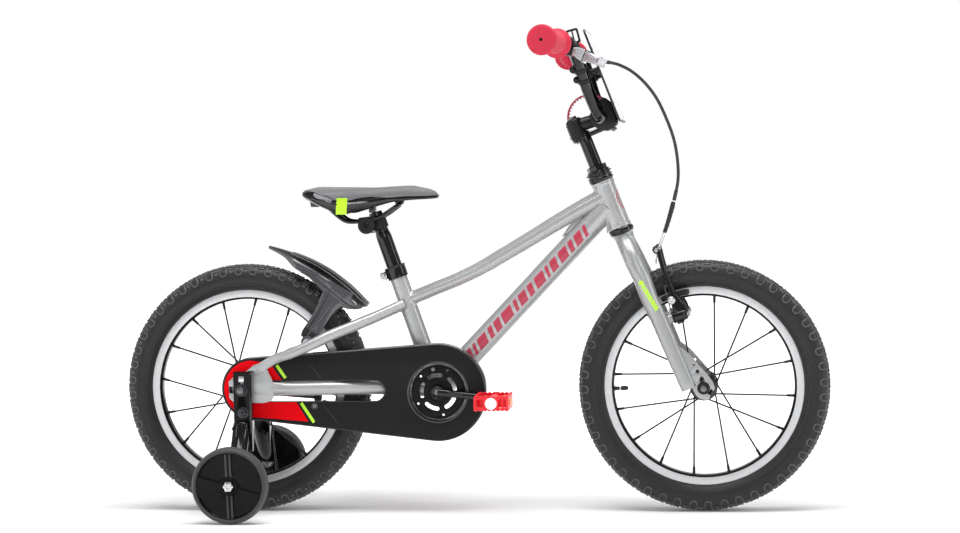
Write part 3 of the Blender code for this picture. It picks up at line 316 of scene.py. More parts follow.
def socket_bolt(centre, axis, r, h):
    """Round cap head with a six-sided socket."""
    a = poly(24, r)
    hexa = []
    for k in range(24):
        t = 2 * math.pi * k / 24
        d = r * 0.5 * math.cos(math.pi / 6) / math.cos((t % (math.pi / 3)) - math.pi / 6)
        hexa.append((d * math.cos(t), d * math.sin(t)))
    return stack([(scaled(a, 0.95), 0), (a, 0.3), (a, h - 0.5), (scaled(a, 0.9), h), (scaled(hexa, 1.12), h), (hexa, h - 0.25), (hexa, h - r * 0.6)], centre, axis)


def dome_bolt(centre, axis, r, h):
    prof = [(0, 0), (r * 0.96, 0), (r, h * 0.2), (r * 0.93, h * 0.5), (r * 0.72, h * 0.82), (r * 0.45, h), (r * 0.4, h), (r * 0.36, h * 0.45), (0, h * 0.4)]
    return lathe(prof, centre, axis, 32, closed=False)


def join(parts):
    verts, faces = [], []
    for v, f in parts:
        n = len(verts)
        verts.extend(v)
        faces.extend(tuple(i + n for i in q) for q in f)
    return verts, faces


def flip_y(part):
    v, f = part
    return [Vector((p[0], -p[1], p[2])) for p in v], [tuple(reversed(q)) for q in f]


def outline_plate(line, holes, y0, y1, bevel=0.4, map_point=None):
    """A flat plate with holes whose faces are at y0 and y1. line and holes are lists of (x, z)."""
    cu = bpy.data.curves.new("tmp_plate", "CURVE")
    cu.dimensions = "2D"
    cu.fill_mode = "BOTH"
    cu.extrude = abs(y1 - y0) / 2 - bevel
    cu.bevel_depth = bevel
    cu.bevel_resolution = 2
    cu.offset = -bevel
    for loop in [line] + list(holes):
        sp = cu.splines.new("POLY")
        sp.points.add(len(loop) - 1)
        for k, (a, b) in enumerate(loop):
            sp.points[k].co = (a, b, 0, 1)
        sp.use_cyclic_u = True
    ob = bpy.data.objects.new("tmp_plate", cu)
    bpy.context.scene.collection.objects.link(ob)
    dg = bpy.context.evaluated_depsgraph_get()
    me = bpy.data.meshes.new_from_object(ob.evaluated_get(dg))
    bm = bmesh.new()
    bm.from_mesh(me)
    bmesh.ops.remove_doubles(bm, verts=bm.verts[:], dist=0.002)
    bm.verts.index_update()
    mid = (y0 + y1) / 2
    put = map_point or (lambda a, b, c: Vector((a, mid - c, b)))
    verts = [put(v.co.x, v.co.y, v.co.z) for v in bm.verts]
    faces = [tuple(v.index for v in f.verts) for f in bm.faces]
    bm.free()
    bpy.data.objects.remove(ob)
    bpy.data.curves.remove(cu)
    bpy.data.meshes.remove(me)
    return verts, faces


def arc2(cx, cz, r, a0, a1, n=24):
    return [(cx + r * math.cos(math.radians(a0 + (a1 - a0) * k / n)), cz + r * math.sin(math.radians(a0 + (a1 - a0) * k / n))) for k in range(n + 1)]


def circle2(cx, cz, r, n=48):
    return [(cx + r * math.cos(2 * math.pi * k / n), cz + r * math.sin(2 * math.pi * k / n)) for k in range(n)]


def tree(part):
    v, f = part
    return BVHTree.FromPolygons([tuple(p) for p in v], f)


def patch(bvh, corners, direction, nu=12, nv=4, lift=0.12, sink=0.25):
    """A thin skin laid on a surface: corners is a four-sided outline, thrown along direction."""
    d = Vector(direction).normalized()
    a, b, c, e = [Vector(p) for p in corners]
    top, low = [], []
    for j in range(nv + 1):
        for i in range(nu + 1):
            s, t = i / nu, j / nv
            p = (a * (1 - s) + b * s) * (1 - t) + (e * (1 - s) + c * s) * t
            hit, nor, _, _ = bvh.ray_cast(p - d * 60, d)
            if hit is None:
                hit, nor, _, _ = bvh.find_nearest(p)
            if nor.dot(d) > 0:
                nor = -nor
            top.append(hit + nor * lift)
            low.append(hit - nor * sink)
    n = len(top)
    verts = top + low
    faces = []
    w = nu + 1
    for j in range(nv):
        for i in range(nu):
            q = (j * w + i, j * w + i + 1, (j + 1) * w + i + 1, (j + 1) * w + i)
            faces.append(q)
            faces.append(tuple(n + k for k in reversed(q)))
    edge = [i for i in range(w)] + [j * w + nu for j in range(1, nv + 1)] + [nv * w + i for i in range(nu - 1, -1, -1)] + [j * w for j in range(nv - 1, 0, -1)]
    for k in range(len(edge)):
        p, q = edge[k], edge[(k + 1) % len(edge)]
        faces.append((q, p, n + p, n + q))
    return verts, faces


def weld(rays, bvh, d=4.0, steps=4):
    """A fillet of weld metal where a tube meets another: rays are the tube's own lines (start, direction) in order."""
    rings = []
    for o, t in rays:
        t = t.normalized()
        hit, nor, _, _ = bvh.ray_cast(o, t)
        if hit is None:
            hit, nor, _, _ = bvh.find_nearest(o + t * 10)
        if nor.dot(t) > 0:
            nor = -nor
        rings.append([hit, nor, t])
    centre = sum((r[0] for r in rings), Vector()) / len(rings)
    out = []
    for k, (hit, nor, t) in enumerate(rings):
        s1 = hit - t * d
        a, b = rings[k - 1][0], rings[(k + 1) % len(rings)][0]
        along = (b - a).normalized()
        away = nor.cross(along)
        if away.dot(hit - centre) < 0:
            away = -away
        near = bvh.find_nearest(hit + away.normalized() * d)
        s2 = near[0]
        ctrl = hit + (nor - t).normalized() * 0.05 * d
        ringp = []
        for i in range(steps + 1):
            u = i / steps
            ringp.append(s1 * (1 - u) ** 2 + ctrl * 2 * u * (1 - u) + s2 * u * u)
        ringp.append(hit - nor * 1.2 + t * 0.2)
        ringp.append(s1 - (hit - centre).normalized() * 1.0)
        out.append(ringp)
    return skin(out, loop=True)


# ---------------------------------------------------------------- materials

def srgb(r, g, b):
    def lin(c):
        c /= 255.0
        return c / 12.92 if c <= 0.04045 else ((c + 0.055) / 1.055) ** 2.4
    return (lin(r), lin(g), lin(b), 1.0)


class Nodes:
    def __init__(self, name):
        self.mat = bpy.data.materials.new(name)
        self.mat.use_nodes = True
        self.t = self.mat.node_tree
        self.t.nodes.clear()
        self.out = self.t.nodes.new("ShaderNodeOutputMaterial")
        self.bsdf = self.t.nodes.new("ShaderNodeBsdfPrincipled")
        self.t.links.new(self.bsdf.outputs[0], self.out.inputs[0])
        self.coord = self.t.nodes.new("ShaderNodeTexCoord").outputs["Object"]

    def set(self, **kw):
        for k, v in kw.items():
            self.bsdf.inputs[k.replace("_", " ")].default_value = v
        return self

    def link(self, a, b):
        self.t.links.new(a, b)

    def noise(self, scale, detail=4.0, rough=0.55, vec=None, distortion=0.0):
        n = self.t.nodes.new("ShaderNodeTexNoise")
        n.inputs["Scale"].default_value = scale
        n.inputs["Detail"].default_value = detail
        n.inputs["Roughness"].default_value = rough
        n.inputs["Distortion"].default_value = distortion
        self.link(vec or self.coord, n.inputs["Vector"])
        return n.outputs["Fac"]

    def voronoi(self, scale, feature="F1", out="Distance", vec=None):
        n = self.t.nodes.new("ShaderNodeTexVoronoi")
        n.feature = feature
        n.inputs["Scale"].default_value = scale
        self.link(vec or self.coord, n.inputs["Vector"])
        return n.outputs[out]

    def mapped(self, scale=(1, 1, 1), rot=(0, 0, 0), loc=(0, 0, 0)):
        n = self.t.nodes.new("ShaderNodeMapping")
        n.inputs["Scale"].default_value = scale
        n.inputs["Rotation"].default_value = rot
        n.inputs["Location"].default_value = loc
        self.link(self.coord, n.inputs["Vector"])
        return n.outputs[0]

    def ramp(self, fac, stops):
        n = self.t.nodes.new("ShaderNodeValToRGB")
        e = n.color_ramp.elements
        while len(e) > len(stops):
            e.remove(e[-1])
        while len(e) < len(stops):
            e.new(1.0)
        for k, (p, c) in enumerate(stops):
            e[k].position = p
            e[k].color = c if isinstance(c, (tuple, list)) else (c, c, c, 1)
        self.link(fac, n.inputs[0])
        return n.outputs[0]

    def span(self, fac, lo, hi, flo=0.3, fhi=0.7):
        n = self.t.nodes.new("ShaderNodeMapRange")
        n.inputs["From Min"].default_value = flo
        n.inputs["From Max"].default_value = fhi
        n.inputs["To Min"].default_value = lo
        n.inputs["To Max"].default_value = hi
        self.link(fac, n.inputs["Value"])
        return n.outputs[0]

    def mix(self, fac, a, b, kind="MIX"):
        n = self.t.nodes.new("ShaderNodeMixRGB")
        n.blend_type = kind
        for sock, val in zip(n.inputs, (fac, a, b)):
            if hasattr(val, "is_linked"):
                self.link(val, sock)
            elif isinstance(val, (tuple, list)):
                sock.default_value = val
            else:
                sock.default_value = val
        return n.outputs[0]

    def math(self, op, a, b=0.0):
        n = self.t.nodes.new("ShaderNodeMath")
        n.operation = op
        for sock, val in zip(n.inputs, (a, b)):
            if hasattr(val, "is_linked"):
                self.link(val, sock)
            else:
                sock.default_value = val
        return n.outputs[0]

    def bump(self, height, strength, distance=0.0005):
        n = self.t.nodes.new("ShaderNodeBump")
        n.inputs["Strength"].default_value = strength
        n.inputs["Distance"].default_value = distance
        self.link(height, n.inputs["Height"])
        self.link(n.outputs[0], self.bsdf.inputs["Normal"])


def tone(c, f):
    return tuple(min(1.0, x * f) for x in c[:3]) + (1.0,)


def finish(name, colour, rough=(0.35, 0.5), metallic=0.0, coat=0.0, coat_rough=0.08, spec=0.5, vary=0.10, cloud=18.0, grain=900.0,
           bump=0.08, depth=0.0002, speck=None, ior=1.5, sheen=0.0):
    """A moulded, painted or plated surface: cloudy tone, fine grain in roughness and height, and a few specks of dust or flake."""
    m = Nodes(name)
    m.set(Metallic=metallic, Coat_Weight=coat, Coat_Roughness=coat_rough, Specular_IOR_Level=spec, IOR=ior, Sheen_Weight=sheen)
    c = srgb(*colour)
    big = m.noise(cloud, 3.0)
    fine = m.noise(grain, 3.0, 0.6)
    base = m.mix(m.span(big, 0.0, 1.0), tone(c, 1 - vary), tone(c, 1 + vary))
    base = m.mix(m.span(fine, 0.0, vary * 1.4, 0.45, 0.75), base, tone(c, 1.25))
    if speck:
        amount, size = speck
        v = m.voronoi(size)
        base = m.mix(m.span(v, amount, 0.0, 0.05, 0.22), base, tone(c, 1.7))
    m.link(base, m.bsdf.inputs["Base Color"])
    mixed = m.mix(0.35, m.noise(cloud * 6, 4.0), fine)
    m.link(m.span(mixed, rough[0], rough[1]), m.bsdf.inputs["Roughness"])
    m.bump(fine, bump, depth)
    return m.mat


MATS = {}


def mat(name):
    return MATS[name]


MATS["frame_paint"] = finish("frame_paint", (172, 173, 174), (0.28, 0.40), 0.50, 0.25, 0.15, vary=0.05, cloud=9, grain=2600, bump=0.05, speck=(0.16, 1500))
MATS["fork_paint"] = finish("fork_paint", (166, 167, 168), (0.28, 0.40), 0.50, 0.25, 0.15, vary=0.05, cloud=8, grain=2600, bump=0.05, speck=(0.16, 1500))
MATS["gloss_black"] = finish("gloss_black", (6, 6, 7), (0.07, 0.13), 0.0, 0.3, 0.03, spec=0.35, vary=0.25, cloud=14, grain=1600, bump=0.04)
MATS["bracket_black"] = finish("bracket_black", (6, 6, 7), (0.12, 0.2), 0.0, 0.08, 0.08, spec=0.12, vary=0.25, cloud=20, grain=1500, bump=0.05)
MATS["satin_black"] = finish("satin_black", (14, 14, 15), (0.32, 0.46), 0.0, 0.0, 0.2, spec=0.3, vary=0.22, cloud=14, grain=1400, bump=0.10)
MATS["cast_black"] = finish("cast_black", (15, 15, 16), (0.34, 0.5), 0.0, 0.0, 0.25, spec=0.35, vary=0.25, cloud=40, grain=700, bump=0.30, depth=0.0004)
MATS["guard_black"] = finish("guard_black", (16, 16, 17), (0.40, 0.54), 0.0, 0.0, 0.3, spec=0.22, vary=0.14, cloud=7, grain=1900, bump=0.12)
MATS["guard_edge"] = finish("guard_edge", (22, 22, 23), (0.14, 0.24), 0.0, 0.5, 0.06, vary=0.12, cloud=9, grain=1500, bump=0.05)
MATS["guard_red"] = finish("guard_red", (234, 0, 16), (0.34, 0.46), 0.0, 0.0, 0.15, spec=0.06, vary=0.06, cloud=12, grain=1800, bump=0.08)
MATS["lime"] = finish("lime", (186, 242, 38), (0.32, 0.45), 0.0, 0.15, 0.2, vary=0.05, cloud=30, grain=2200, bump=0.08)
MATS["crimson_print"] = finish("crimson_print", (178, 48, 74), (0.34, 0.46), 0.1, 0.25, 0.15, vary=0.07, cloud=24, grain=2200, bump=0.05)
MATS["pedal_red"] = finish("pedal_red", (230, 2, 26), (0.28, 0.42), 0.0, 0.15, 0.15, vary=0.06, cloud=30, grain=1300, bump=0.12)
MATS["cap_white"] = finish("cap_white", (240, 238, 238), (0.25, 0.4), 0.0, 0.2, 0.15, vary=0.03, cloud=40, grain=1500, bump=0.06)
MATS["amber"] = finish("amber", (246, 128, 18), (0.10, 0.2), 0.0, 0.6, 0.04, vary=0.10, cloud=60, grain=420, bump=0.35, depth=0.0006)
MATS["grip_red"] = finish("grip_red", (192, 16, 54), (0.50, 0.66), 0.0, 0.0, vary=0.06, cloud=26, grain=1000, bump=0.30, depth=0.0003, sheen=0.12)
MATS["gun_metal"] = finish("gun_metal", (74, 75, 78), (0.22, 0.34), 0.85, 0.0, vary=0.14, cloud=50, grain=1200, bump=0.08)
MATS["silver"] = finish("silver", (205, 206, 208), (0.16, 0.30), 0.95, 0.0, vary=0.08, cloud=40, grain=1500, bump=0.06)
MATS["dark_steel"] = finish("dark_steel", (120, 121, 124), (0.24, 0.38), 0.9, 0.0, vary=0.14, cloud=50, grain=1200, bump=0.10)
MATS["lever_silver"] = finish("lever_silver", (184, 186, 189), (0.32, 0.44), 0.85, 0.2, 0.1, vary=0.06, cloud=30, grain=1400, bump=0.10)
MATS["fender_grey"] = finish("fender_grey", (66, 66, 70), (0.16, 0.26), 0.0, 0.6, 0.06, vary=0.08, cloud=9, grain=1700, bump=0.06)
MATS["fender_light"] = finish("fender_light", (128, 128, 132), (0.22, 0.34), 0.0, 0.4, 0.08, vary=0.05, cloud=12, grain=1700, bump=0.06)
MATS["fender_black"] = finish("fender_black", (15, 15, 16), (0.22, 0.34), 0.0, 0.3, 0.1, vary=0.2, cloud=12, grain=1700, bump=0.08)
MATS["saddle_black"] = finish("saddle_black", (11, 11, 12), (0.20, 0.34), 0.0, 0.35, 0.12, vary=0.2, cloud=22, grain=900, bump=0.15, depth=0.0003)
MATS["plate_white"] = finish("plate_white", (204, 205, 207), (0.24, 0.34), 0.0, 0.2, 0.1, vary=0.02, cloud=8, grain=1500, bump=0.05)
MATS["plate_dark"] = finish("plate_dark", (26, 26, 27), (0.4, 0.5), 0.0, 0.1, 0.2, vary=0.15, cloud=10, grain=1500, bump=0.1)
MATS["cable_black"] = finish("cable_black", (13, 13, 14), (0.30, 0.42), 0.0, 0.2, 0.15, vary=0.2, cloud=60, grain=1500, bump=0.12)
MATS["spoke_black"] = finish("spoke_black", (20, 20, 21), (0.22, 0.34), 0.5, 0.2, 0.1, vary=0.2, cloud=60, grain=1700, bump=0.06)
MATS["wheel_black"] = finish("wheel_black", (8, 8, 9), (0.28, 0.42), 0.0, 0.0, 0.2, spec=0.18, vary=0.14, cloud=14, grain=1500, bump=0.12)
MATS["pad_rubber"] = finish("pad_rubber", (20, 20, 21), (0.55, 0.7), 0.0, 0.0, vary=0.15, cloud=50, grain=800, bump=0.3, depth=0.0004)
MATS["boot_rubber"] = finish("boot_rubber", (18, 18, 19), (0.45, 0.6), 0.0, 0.0, vary=0.15, cloud=60, grain=900, bump=0.25, depth=0.0003)


def rubber(name, colour, dust):
    m = Nodes(name)
    m.set(Specular_IOR_Level=0.45, Sheen_Weight=0.15, Sheen_Roughness=0.5)
    c = srgb(*colour)
    big = m.noise(16, 4.0, 0.6)
    mid = m.noise(140, 5.0, 0.65)
    fine = m.noise(1300, 3.0, 0.6)
    base = m.mix(m.span(big, 0.0, 1.0), tone(c, 0.82), tone(c, 1.18))
    base = m.mix(m.span(mid, 0.0, dust, 0.45, 0.72), base, tone(c, 1.9))
    m.link(base, m.bsdf.inputs["Base Color"])
    m.link(m.span(mid, 0.36, 0.58), m.bsdf.inputs["Roughness"])
    m.bump(m.mix(0.5, mid, fine), 0.22, 0.0004)
    return m.mat


MATS["tyre_rubber"] = rubber("tyre_rubber", (14, 14, 15), 0.12)
# painted highlight: a lighter copy of the tyre rubber that stands for the lit knob tops and tongue rims; its mottling
# is dust
MATS["tyre_knob_painted_highlight"] = rubber("tyre_knob_painted_highlight", (70, 70, 73), 0.35)
MATS["wheel_rubber"] = rubber("wheel_rubber", (52, 52, 54), 0.25)


def brake_track(name, centre):
    """Machined rim metal with fine rings round the wheel's own centre."""
    m = Nodes(name)
    m.set(Metallic=0.72, Specular_IOR_Level=0.5)
    v = m.mapped(loc=(-centre[0] * MM, 0, -centre[2] * MM))
    sep = m.t.nodes.new("ShaderNodeSeparateXYZ")
    m.link(v, sep.inputs[0])
    r = m.math("SQRT", m.math("ADD", m.math("MULTIPLY", sep.outputs[0], sep.outputs[0]), m.math("MULTIPLY", sep.outputs[2], sep.outputs[2])))
    rings = m.math("SINE", m.math("MULTIPLY", r, 9000.0))
    fine = m.noise(700, 3.0)
    both = m.math("ADD", m.math("MULTIPLY", rings, 0.5), fine)
    c = srgb(208, 209, 211)
    base = m.mix(m.span(both, 0.0, 1.0, -0.2, 1.2), tone(c, 0.88), tone(c, 1.06))
    scuff = m.noise(90, 4.0, 0.6)
    base = m.mix(m.span(scuff, 0.0, 0.08, 0.55, 0.75), base, srgb(120, 121, 124))
    m.link(base, m.bsdf.inputs["Base Color"])
    m.link(m.span(both, 0.26, 0.42, -0.2, 1.2), m.bsdf.inputs["Roughness"])
    m.bump(both, 0.10, 0.0002)
    return m.mat


MATS["track_front"] = brake_track("track_front", FRONT)
MATS["track_rear"] = brake_track("track_rear", REAR)


def leather(name, colour, scale, stops=(0.40, 0.56), sheen=0.1, spec=0.45):
    """Embossed cover skin: small cells with soft tops, and painted shade that darkens the creases between them."""
    m = Nodes(name)
    m.set(Specular_IOR_Level=spec, Sheen_Weight=sheen, Sheen_Roughness=0.4)
    c = srgb(*colour)
    cells = m.voronoi(scale, "DISTANCE_TO_EDGE")
    fine = m.noise(scale * 1.6, 4.0, 0.6)
    big = m.noise(14, 3.0)
    base = m.mix(m.span(big, 0.0, 1.0), tone(c, 0.88), tone(c, 1.12))
    # painted shade: the colour darkens towards the cell edges, in the creases
    base = m.mix(m.span(cells, 0.45, 0.0, 0.0, 0.10), base, tone(c, 0.55))
    m.link(base, m.bsdf.inputs["Base Color"])
    m.link(m.span(fine, stops[0], stops[1]), m.bsdf.inputs["Roughness"])
    m.bump(m.mix(0.3, m.span(cells, 0.0, 1.0, 0.0, 0.18), fine), 0.35, 0.0005)
    return m.mat


MATS["saddle_top"] = leather("saddle_top", (104, 105, 107), 700)
MATS["saddle_side"] = leather("saddle_side", (7, 7, 8), 820, (0.14, 0.24), 0.0, 0.22)

# ---------------------------------------------------------------- pieces


class Part:
    """Gathers meshes of one piece, each with its own material, then makes the object that rides on a body."""

    def __init__(self, name, body, nodes=(), slot=None, sharp=32.0):
        self.name, self.body, self.nodes, self.slot, self.sharp = name, body, nodes, slot, sharp
        self.verts, self.faces, self.which, self.mats = [], [], [], []

    def add(self, part, material):
        v, f = part
        if material not in self.mats:
            self.mats.append(material)
        k = self.mats.index(material)
        n = len(self.verts)
        self.verts.extend((p[0] * MM, p[1] * MM, p[2] * MM) for p in v)
        self.faces.extend(tuple(i + n for i in q) for q in f)
        self.which.extend([k] * len(f))
        return self

    def both(self, part, material):
        self.add(part, material)
        self.add(flip_y(part), material)
        return self

    def make(self, smooth=True, recalc=True):
        me = bpy.data.meshes.new(self.name)
        me.from_pydata(self.verts, [], self.faces)
        for m in self.mats:
            me.materials.append(mat(m))
        me.polygons.foreach_set("material_index", self.which)
        if recalc:
            bm = bmesh.new()
            bm.from_mesh(me)
            bmesh.ops.recalc_face_normals(bm, faces=bm.faces[:])
            bm.to_mesh(me)
            bm.free()
        me.polygons.foreach_set("use_smooth", [smooth] * len(me.polygons))
        me.set_sharp_from_angle(angle=math.radians(self.sharp))
        me.update()
        ob = bpy.data.objects.new(self.name, me)
        bpy.context.scene.collection.objects.link(ob)
        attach(ob, self.body)
        if self.nodes:
            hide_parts(*self.nodes)
        return ob


# ---- tyres: a casing with sidewall rings, shoulder tongues, cross bars and crown blocks in 48 pitches

CASING = dense([(198.2, 0), (198.1, 5), (197.2, 11.5), (194.2, 17.6), (190, 21.4), (184, 23.9), (178, 24.5), (172, 23.9), (166, 21), (161, 16.5), (158.5, 12.2)], 4)
CASING_W = [0.0]
for k in range(1, len(CASING)):
    CASING_W.append(CASING_W[-1] + float(np.linalg.norm(CASING[k] - CASING[k - 1])))


def casing_at(w, h):
    """(radius, y) at arc length w from the crown line and height h above the casing."""
    side = -1 if w < 0 else 1
    w = min(abs(w), CASING_W[-1] - 1e-6)
    k = max(0, int(np.searchsorted(CASING_W, w, "right")) - 1)
    k = min(k, len(CASING) - 2)
    f = (w - CASING_W[k]) / max(CASING_W[k + 1] - CASING_W[k], 1e-9)
    p = CASING[k] * (1 - f) + CASING[k + 1] * f
    t0 = CASING[min(k + 1, len(CASING) - 1)] - CASING[max(k - 1, 0)]
    t1 = CASING[min(k + 2, len(CASING) - 1)] - CASING[k]
    t = t0 * (1 - f) + t1 * f
    t = t / np.linalg.norm(t)
    return p[0] + t[1] * h, side * (p[1] - t[0] * h)


def tread(centre, theta, s0, side, rows):
    """One rubber block lofted across the casing: rows of (arc length, half width, height)."""
    rings = []
    for w, hw, h in rows:
        line = []
        for s, g in ((-hw - 0.5, -0.7), (-hw, h * 0.7), (-hw + 0.7, h), (hw - 0.7, h), (hw, h * 0.7), (hw + 0.5, -0.7)):
            r, y = casing_at(side * w if w else 0.0, g)
            if side < 0 and w == 0:
                y = -y
            a = theta + (s + s0) / 200.0
            line.append(centre + Vector((math.cos(a) * r, y, math.sin(a) * r)))
        rings.append(line)
    return skin(rings)


TONGUE_IN = [(15.6, 4.4, 1.62), (16.2, 5.1, 1.78), (19, 5.4, 2.14), (23.5, 5.3, 2.04), (26.6, 5.0, 1.86), (28.4, 4.0, 1.6), (29.2, 3.0, 1.3)]
TONGUE = [(14.4, 4.8, 0.2), (15.0, 6.2, 1.5), (19, 6.6, 1.9), (23.5, 6.5, 1.8), (27, 6.2, 1.6), (29.4, 5.2, 1.3), (30.8, 3.4, 0.8), (31.4, 1.8, 0.2)]
BAR_A = [(10.8, 4.6, 0.3), (11.3, 5.2, 1.9), (13.6, 5.2, 2.0), (14.1, 4.6, 0.3)]
BAR_B = [(16.3, 4.4, 0.3), (16.8, 5.0, 1.8), (19.4, 5.0, 1.8), (20.0, 4.4, 0.3)]
CROWN = [(1.6, 5.6, 0.4), (2.1, 6.3, 1.9), (5.5, 6.3, 2.1), (9.0, 6.0, 1.9), (9.6, 5.2, 0.4)]
SPIKE = [(1.9, 0.9, 0.8), (2.4, 1.3, 2.7), (7.6, 1.3, 2.8), (8.6, 0.9, 0.8)]
LUG = [(4.2, 2.0, 0.4), (4.7, 2.9, 2.2), (8.6, 2.9, 2.2), (9.2, 2.0, 0.4)]


def tyre(name, body, node, centre, phase, rear):
    part = Part(name, body, (node,), "tyre_rubber", 40)
    prof = [(float(p[0]), float(p[1])) for p in CASING]
    prof = prof + [(158.4, 11.0), (158.4, -11.0)] + [(r, -y) for r, y in prof[:0:-1]]
    part.add(lathe(prof, centre, Y_AXIS, 192), "tyre_rubber")
    for r, y in ((181.9, 24.15), (178.6, 24.35), (170.6, 23.15), (164.6, 19.9)):
        for s in (-1, 1):
            part.add(lathe([(r - 0.7, s * (y - 0.4)), (r, s * (y + 0.55)), (r + 0.7, s * (y - 0.5))], centre, Y_AXIS, 160), "tyre_rubber")
    n = 48
    for k in range(n):
        a = phase + 2 * math.pi * k / n
        for side in (-1, 1):
            wob = 0.6 if k % 2 else -0.6
            # each tongue is a light block with a taller dark core inside it: the light rim left showing is painted
            # highlight on the tongue's edges
            part.add(tread(centre, a, wob, side, TONGUE), "tyre_knob_painted_highlight")
            part.add(tread(centre, a, wob, side, TONGUE_IN), "tyre_rubber")
            part.add(tread(centre, a, 13.1, side, BAR_A), "tyre_knob_painted_highlight")
            part.add(tread(centre, a, 13.1, side, BAR_B), "tyre_knob_painted_highlight")
            part.add(tread(centre, a, 3.2 * side, side, CROWN), "tyre_knob_painted_highlight")
            part.add(tread(centre, a, 3.2 * side - 5.6, side, SPIKE), "tyre_knob_painted_highlight")
            part.add(tread(centre, a, 3.2 * side + 5.6, side, SPIKE), "tyre_knob_painted_highlight")
            part.add(tread(centre, a, 13.1 + 3.0 * side, side, LUG), "tyre_knob_painted_highlight")
            if rear:
                part.add(tread(centre, a, 13.1, side, [(21.4, 1.6, 0.2), (21.8, 3.4, 1.1), (24.6, 3.0, 1.0), (26.0, 1.2, 0.2)]), "tyre_knob_painted_highlight")
    return part.make(recalc=True)


tyre("tyre_front", "front_wheel", "front_tyre", FRONT, 0.03, False)
tyre("tyre_rear", "rear_wheel", "rear_tyre", REAR, 0.06, True)


def rim(name, body, node, centre, track):
    part = Part(name, body, (node,), "rim_alloy", 30)
    for s in (-1, 1):
        part.add(lathe(fillet([(158.7, s * 11.4), (158.7, s * 13.1), (147.0, s * 13.0), (147.0, s * 10.8), (152.5, s * 10.6)], 0.5, 3), centre, Y_AXIS, 192), track)
        part.add(lathe([(156.9, s * 12.9), (157.2, s * 13.25), (157.5, s * 12.9)], centre, Y_AXIS, 192), track)
    part.add(lathe(fillet([(147.4, 12.6), (143.9, 8.2), (143.2, 5), (143.2, -5), (143.9, -8.2), (147.4, -12.6), (151.5, -10), (152.6, -8), (152.6, 8), (151.5, 10)], 0.5, 2),
                   centre, Y_AXIS, 192), "spoke_black")
    return part.make()


rim("rim_front", "front_wheel", "front_rim", FRONT, "track_front")
rim("rim_rear", "rear_wheel", "rear_rim", REAR, "track_rear")


def spokes(name, body, node, centre, flange_r, outer, inner, turn, shift):
    part = Part(name, body, (node,), "spoke_steel", 40)
    for i in range(16):
        a = 2 * math.pi * (i + 0.5) / 16 + turn
        side = (i + shift) % 2
        lean = -1 if ((i + shift) // 2) % 2 else 1
        y_hub = (outer if lean > 0 else inner)[side]
        b = a + lean * math.radians(58)
        end = centre + Vector((math.cos(b) * flange_r, y_hub, math.sin(b) * flange_r))
        top = centre + Vector((math.cos(a) * 143.4, 2.4 if side else -2.4, math.sin(a) * 143.4))
        d = (end - top).normalized()
        part.add(tube([top, top + d * 30, end - d * 8, end], [1.4, 1.4, 1.4, 1.4], 10, 0.2), "spoke_black")
        part.add(tube([top - d * 1.0, top + d * 1.0, top + d * 2.4, top + d * 9.5, top + d * 11.8], [2.6, 2.6, 2.3, 2.2, 1.5], 12), "spoke_black")
        into = Vector((0, -1 if y_hub > 0 else 1, 0)) * (1 if lean > 0 else -1)
        part.add(tube([end - d * 1.2, end + into * 0.5, end + into * 3.2], [1.05, 1.1, 1.05], 10, 0.2), "spoke_black")
        part.add(disc(end - into * 0.9, into, 1.8, 0, 1.1, 14, 0.3), "silver")
    return part.make()


spokes("spokes_front", "front_wheel", "front_spokes", FRONT, 18, (-34.2, 34.2), (-25.4, 25.4), math.radians(4.2), 0)
spokes("spokes_rear", "rear_wheel", "rear_spokes", REAR, 23.5, (-32.2, 31.2), (-22.6, 21.6), math.radians(5.9), 1)

hub = Part("hub_front", "front_wheel", ("front_hub",), "black_alloy", 34)
hub.add(lathe(fillet([(5.2, -38.4), (9, -38.4), (11, -32), (22, -31), (22, -28.5), (13, -26.5), (11.4, -18), (11.4, 18), (13, 26.5), (22, 28.5), (22, 31), (11, 32), (9, 38.4), (5.2, 38.4)], 1.0, 3),
              FRONT, Y_AXIS, 64), "gloss_black")
for s in (-1, 1):
    hub.add(ring(FRONT + Vector((0, s * 35.5, 0)), Y_AXIS, 8.6, 11.4, -1.0, 1.0, 48, 0.4), "dark_steel")
    hub.add(lathe(fillet([(11.0, 31.0), (22.0, 31.0), (22.2, 33.4), (20.6, 35.2), (11.0, 35.2)], 0.6, 2), FRONT, Vector((0, s, 0)), 64), "gloss_black")
hub.make()
hub = Part("hub_rear", "rear_wheel", ("rear_hub",), "black_alloy", 34)
hub.add(lathe(fillet([(5.2, -34), (12, -34), (15, -30), (27, -28.5), (27, -26), (19, -23.5), (18.4, -12), (18.4, 12), (19, 22.5), (27, 25), (27, 27.5), (16, 29), (15, 40.4), (5.2, 40.4)], 1.0, 3),
              REAR, Y_AXIS, 64), "gloss_black")
hub.make()


def valve(name, body, centre, angle):
    """A capped valve stem standing in from the rim."""
    a = math.radians(angle)
    d = Vector((-math.cos(a), 0, -math.sin(a)))
    p = centre - d * 143.6
    part = Part(name, body, (), "cable_black", 34)
    part.add(lathe(fillet([(0, -6), (4.6, -6), (4.6, 0.6), (3.2, 2.2), (3.0, 8.4), (0, 8.4)], 0.6, 3, closed=False), p, d, 28, closed=False), "boot_rubber")
    part.add(disc(p, d, 2.5, 8.0, 10.6, 24, 0.3), "silver")
    prof = fillet([(0, 10.2), (3.4, 10.2), (3.5, 12.0), (3.4, 20.2), (2.0, 22.6), (0, 22.6)], 0.5, 3, closed=False)
    part.add(lathe(prof, p, d, 24, closed=False), "cable_black")
    for k in range(12):
        b = 2 * math.pi * k / 12
        u, v = basis(d)
        c = p + d * 15.8 + (u * math.cos(b) + v * math.sin(b)) * 3.35
        part.add(box(c, (7.5, 0.7, 0.9), 0.2, turned(d, v * math.cos(b) - u * math.sin(b))), "cable_black")
    return part.make()


valve("valve_front", "front_wheel", FRONT, 182)
valve("valve_rear", "rear_wheel", REAR, 348)


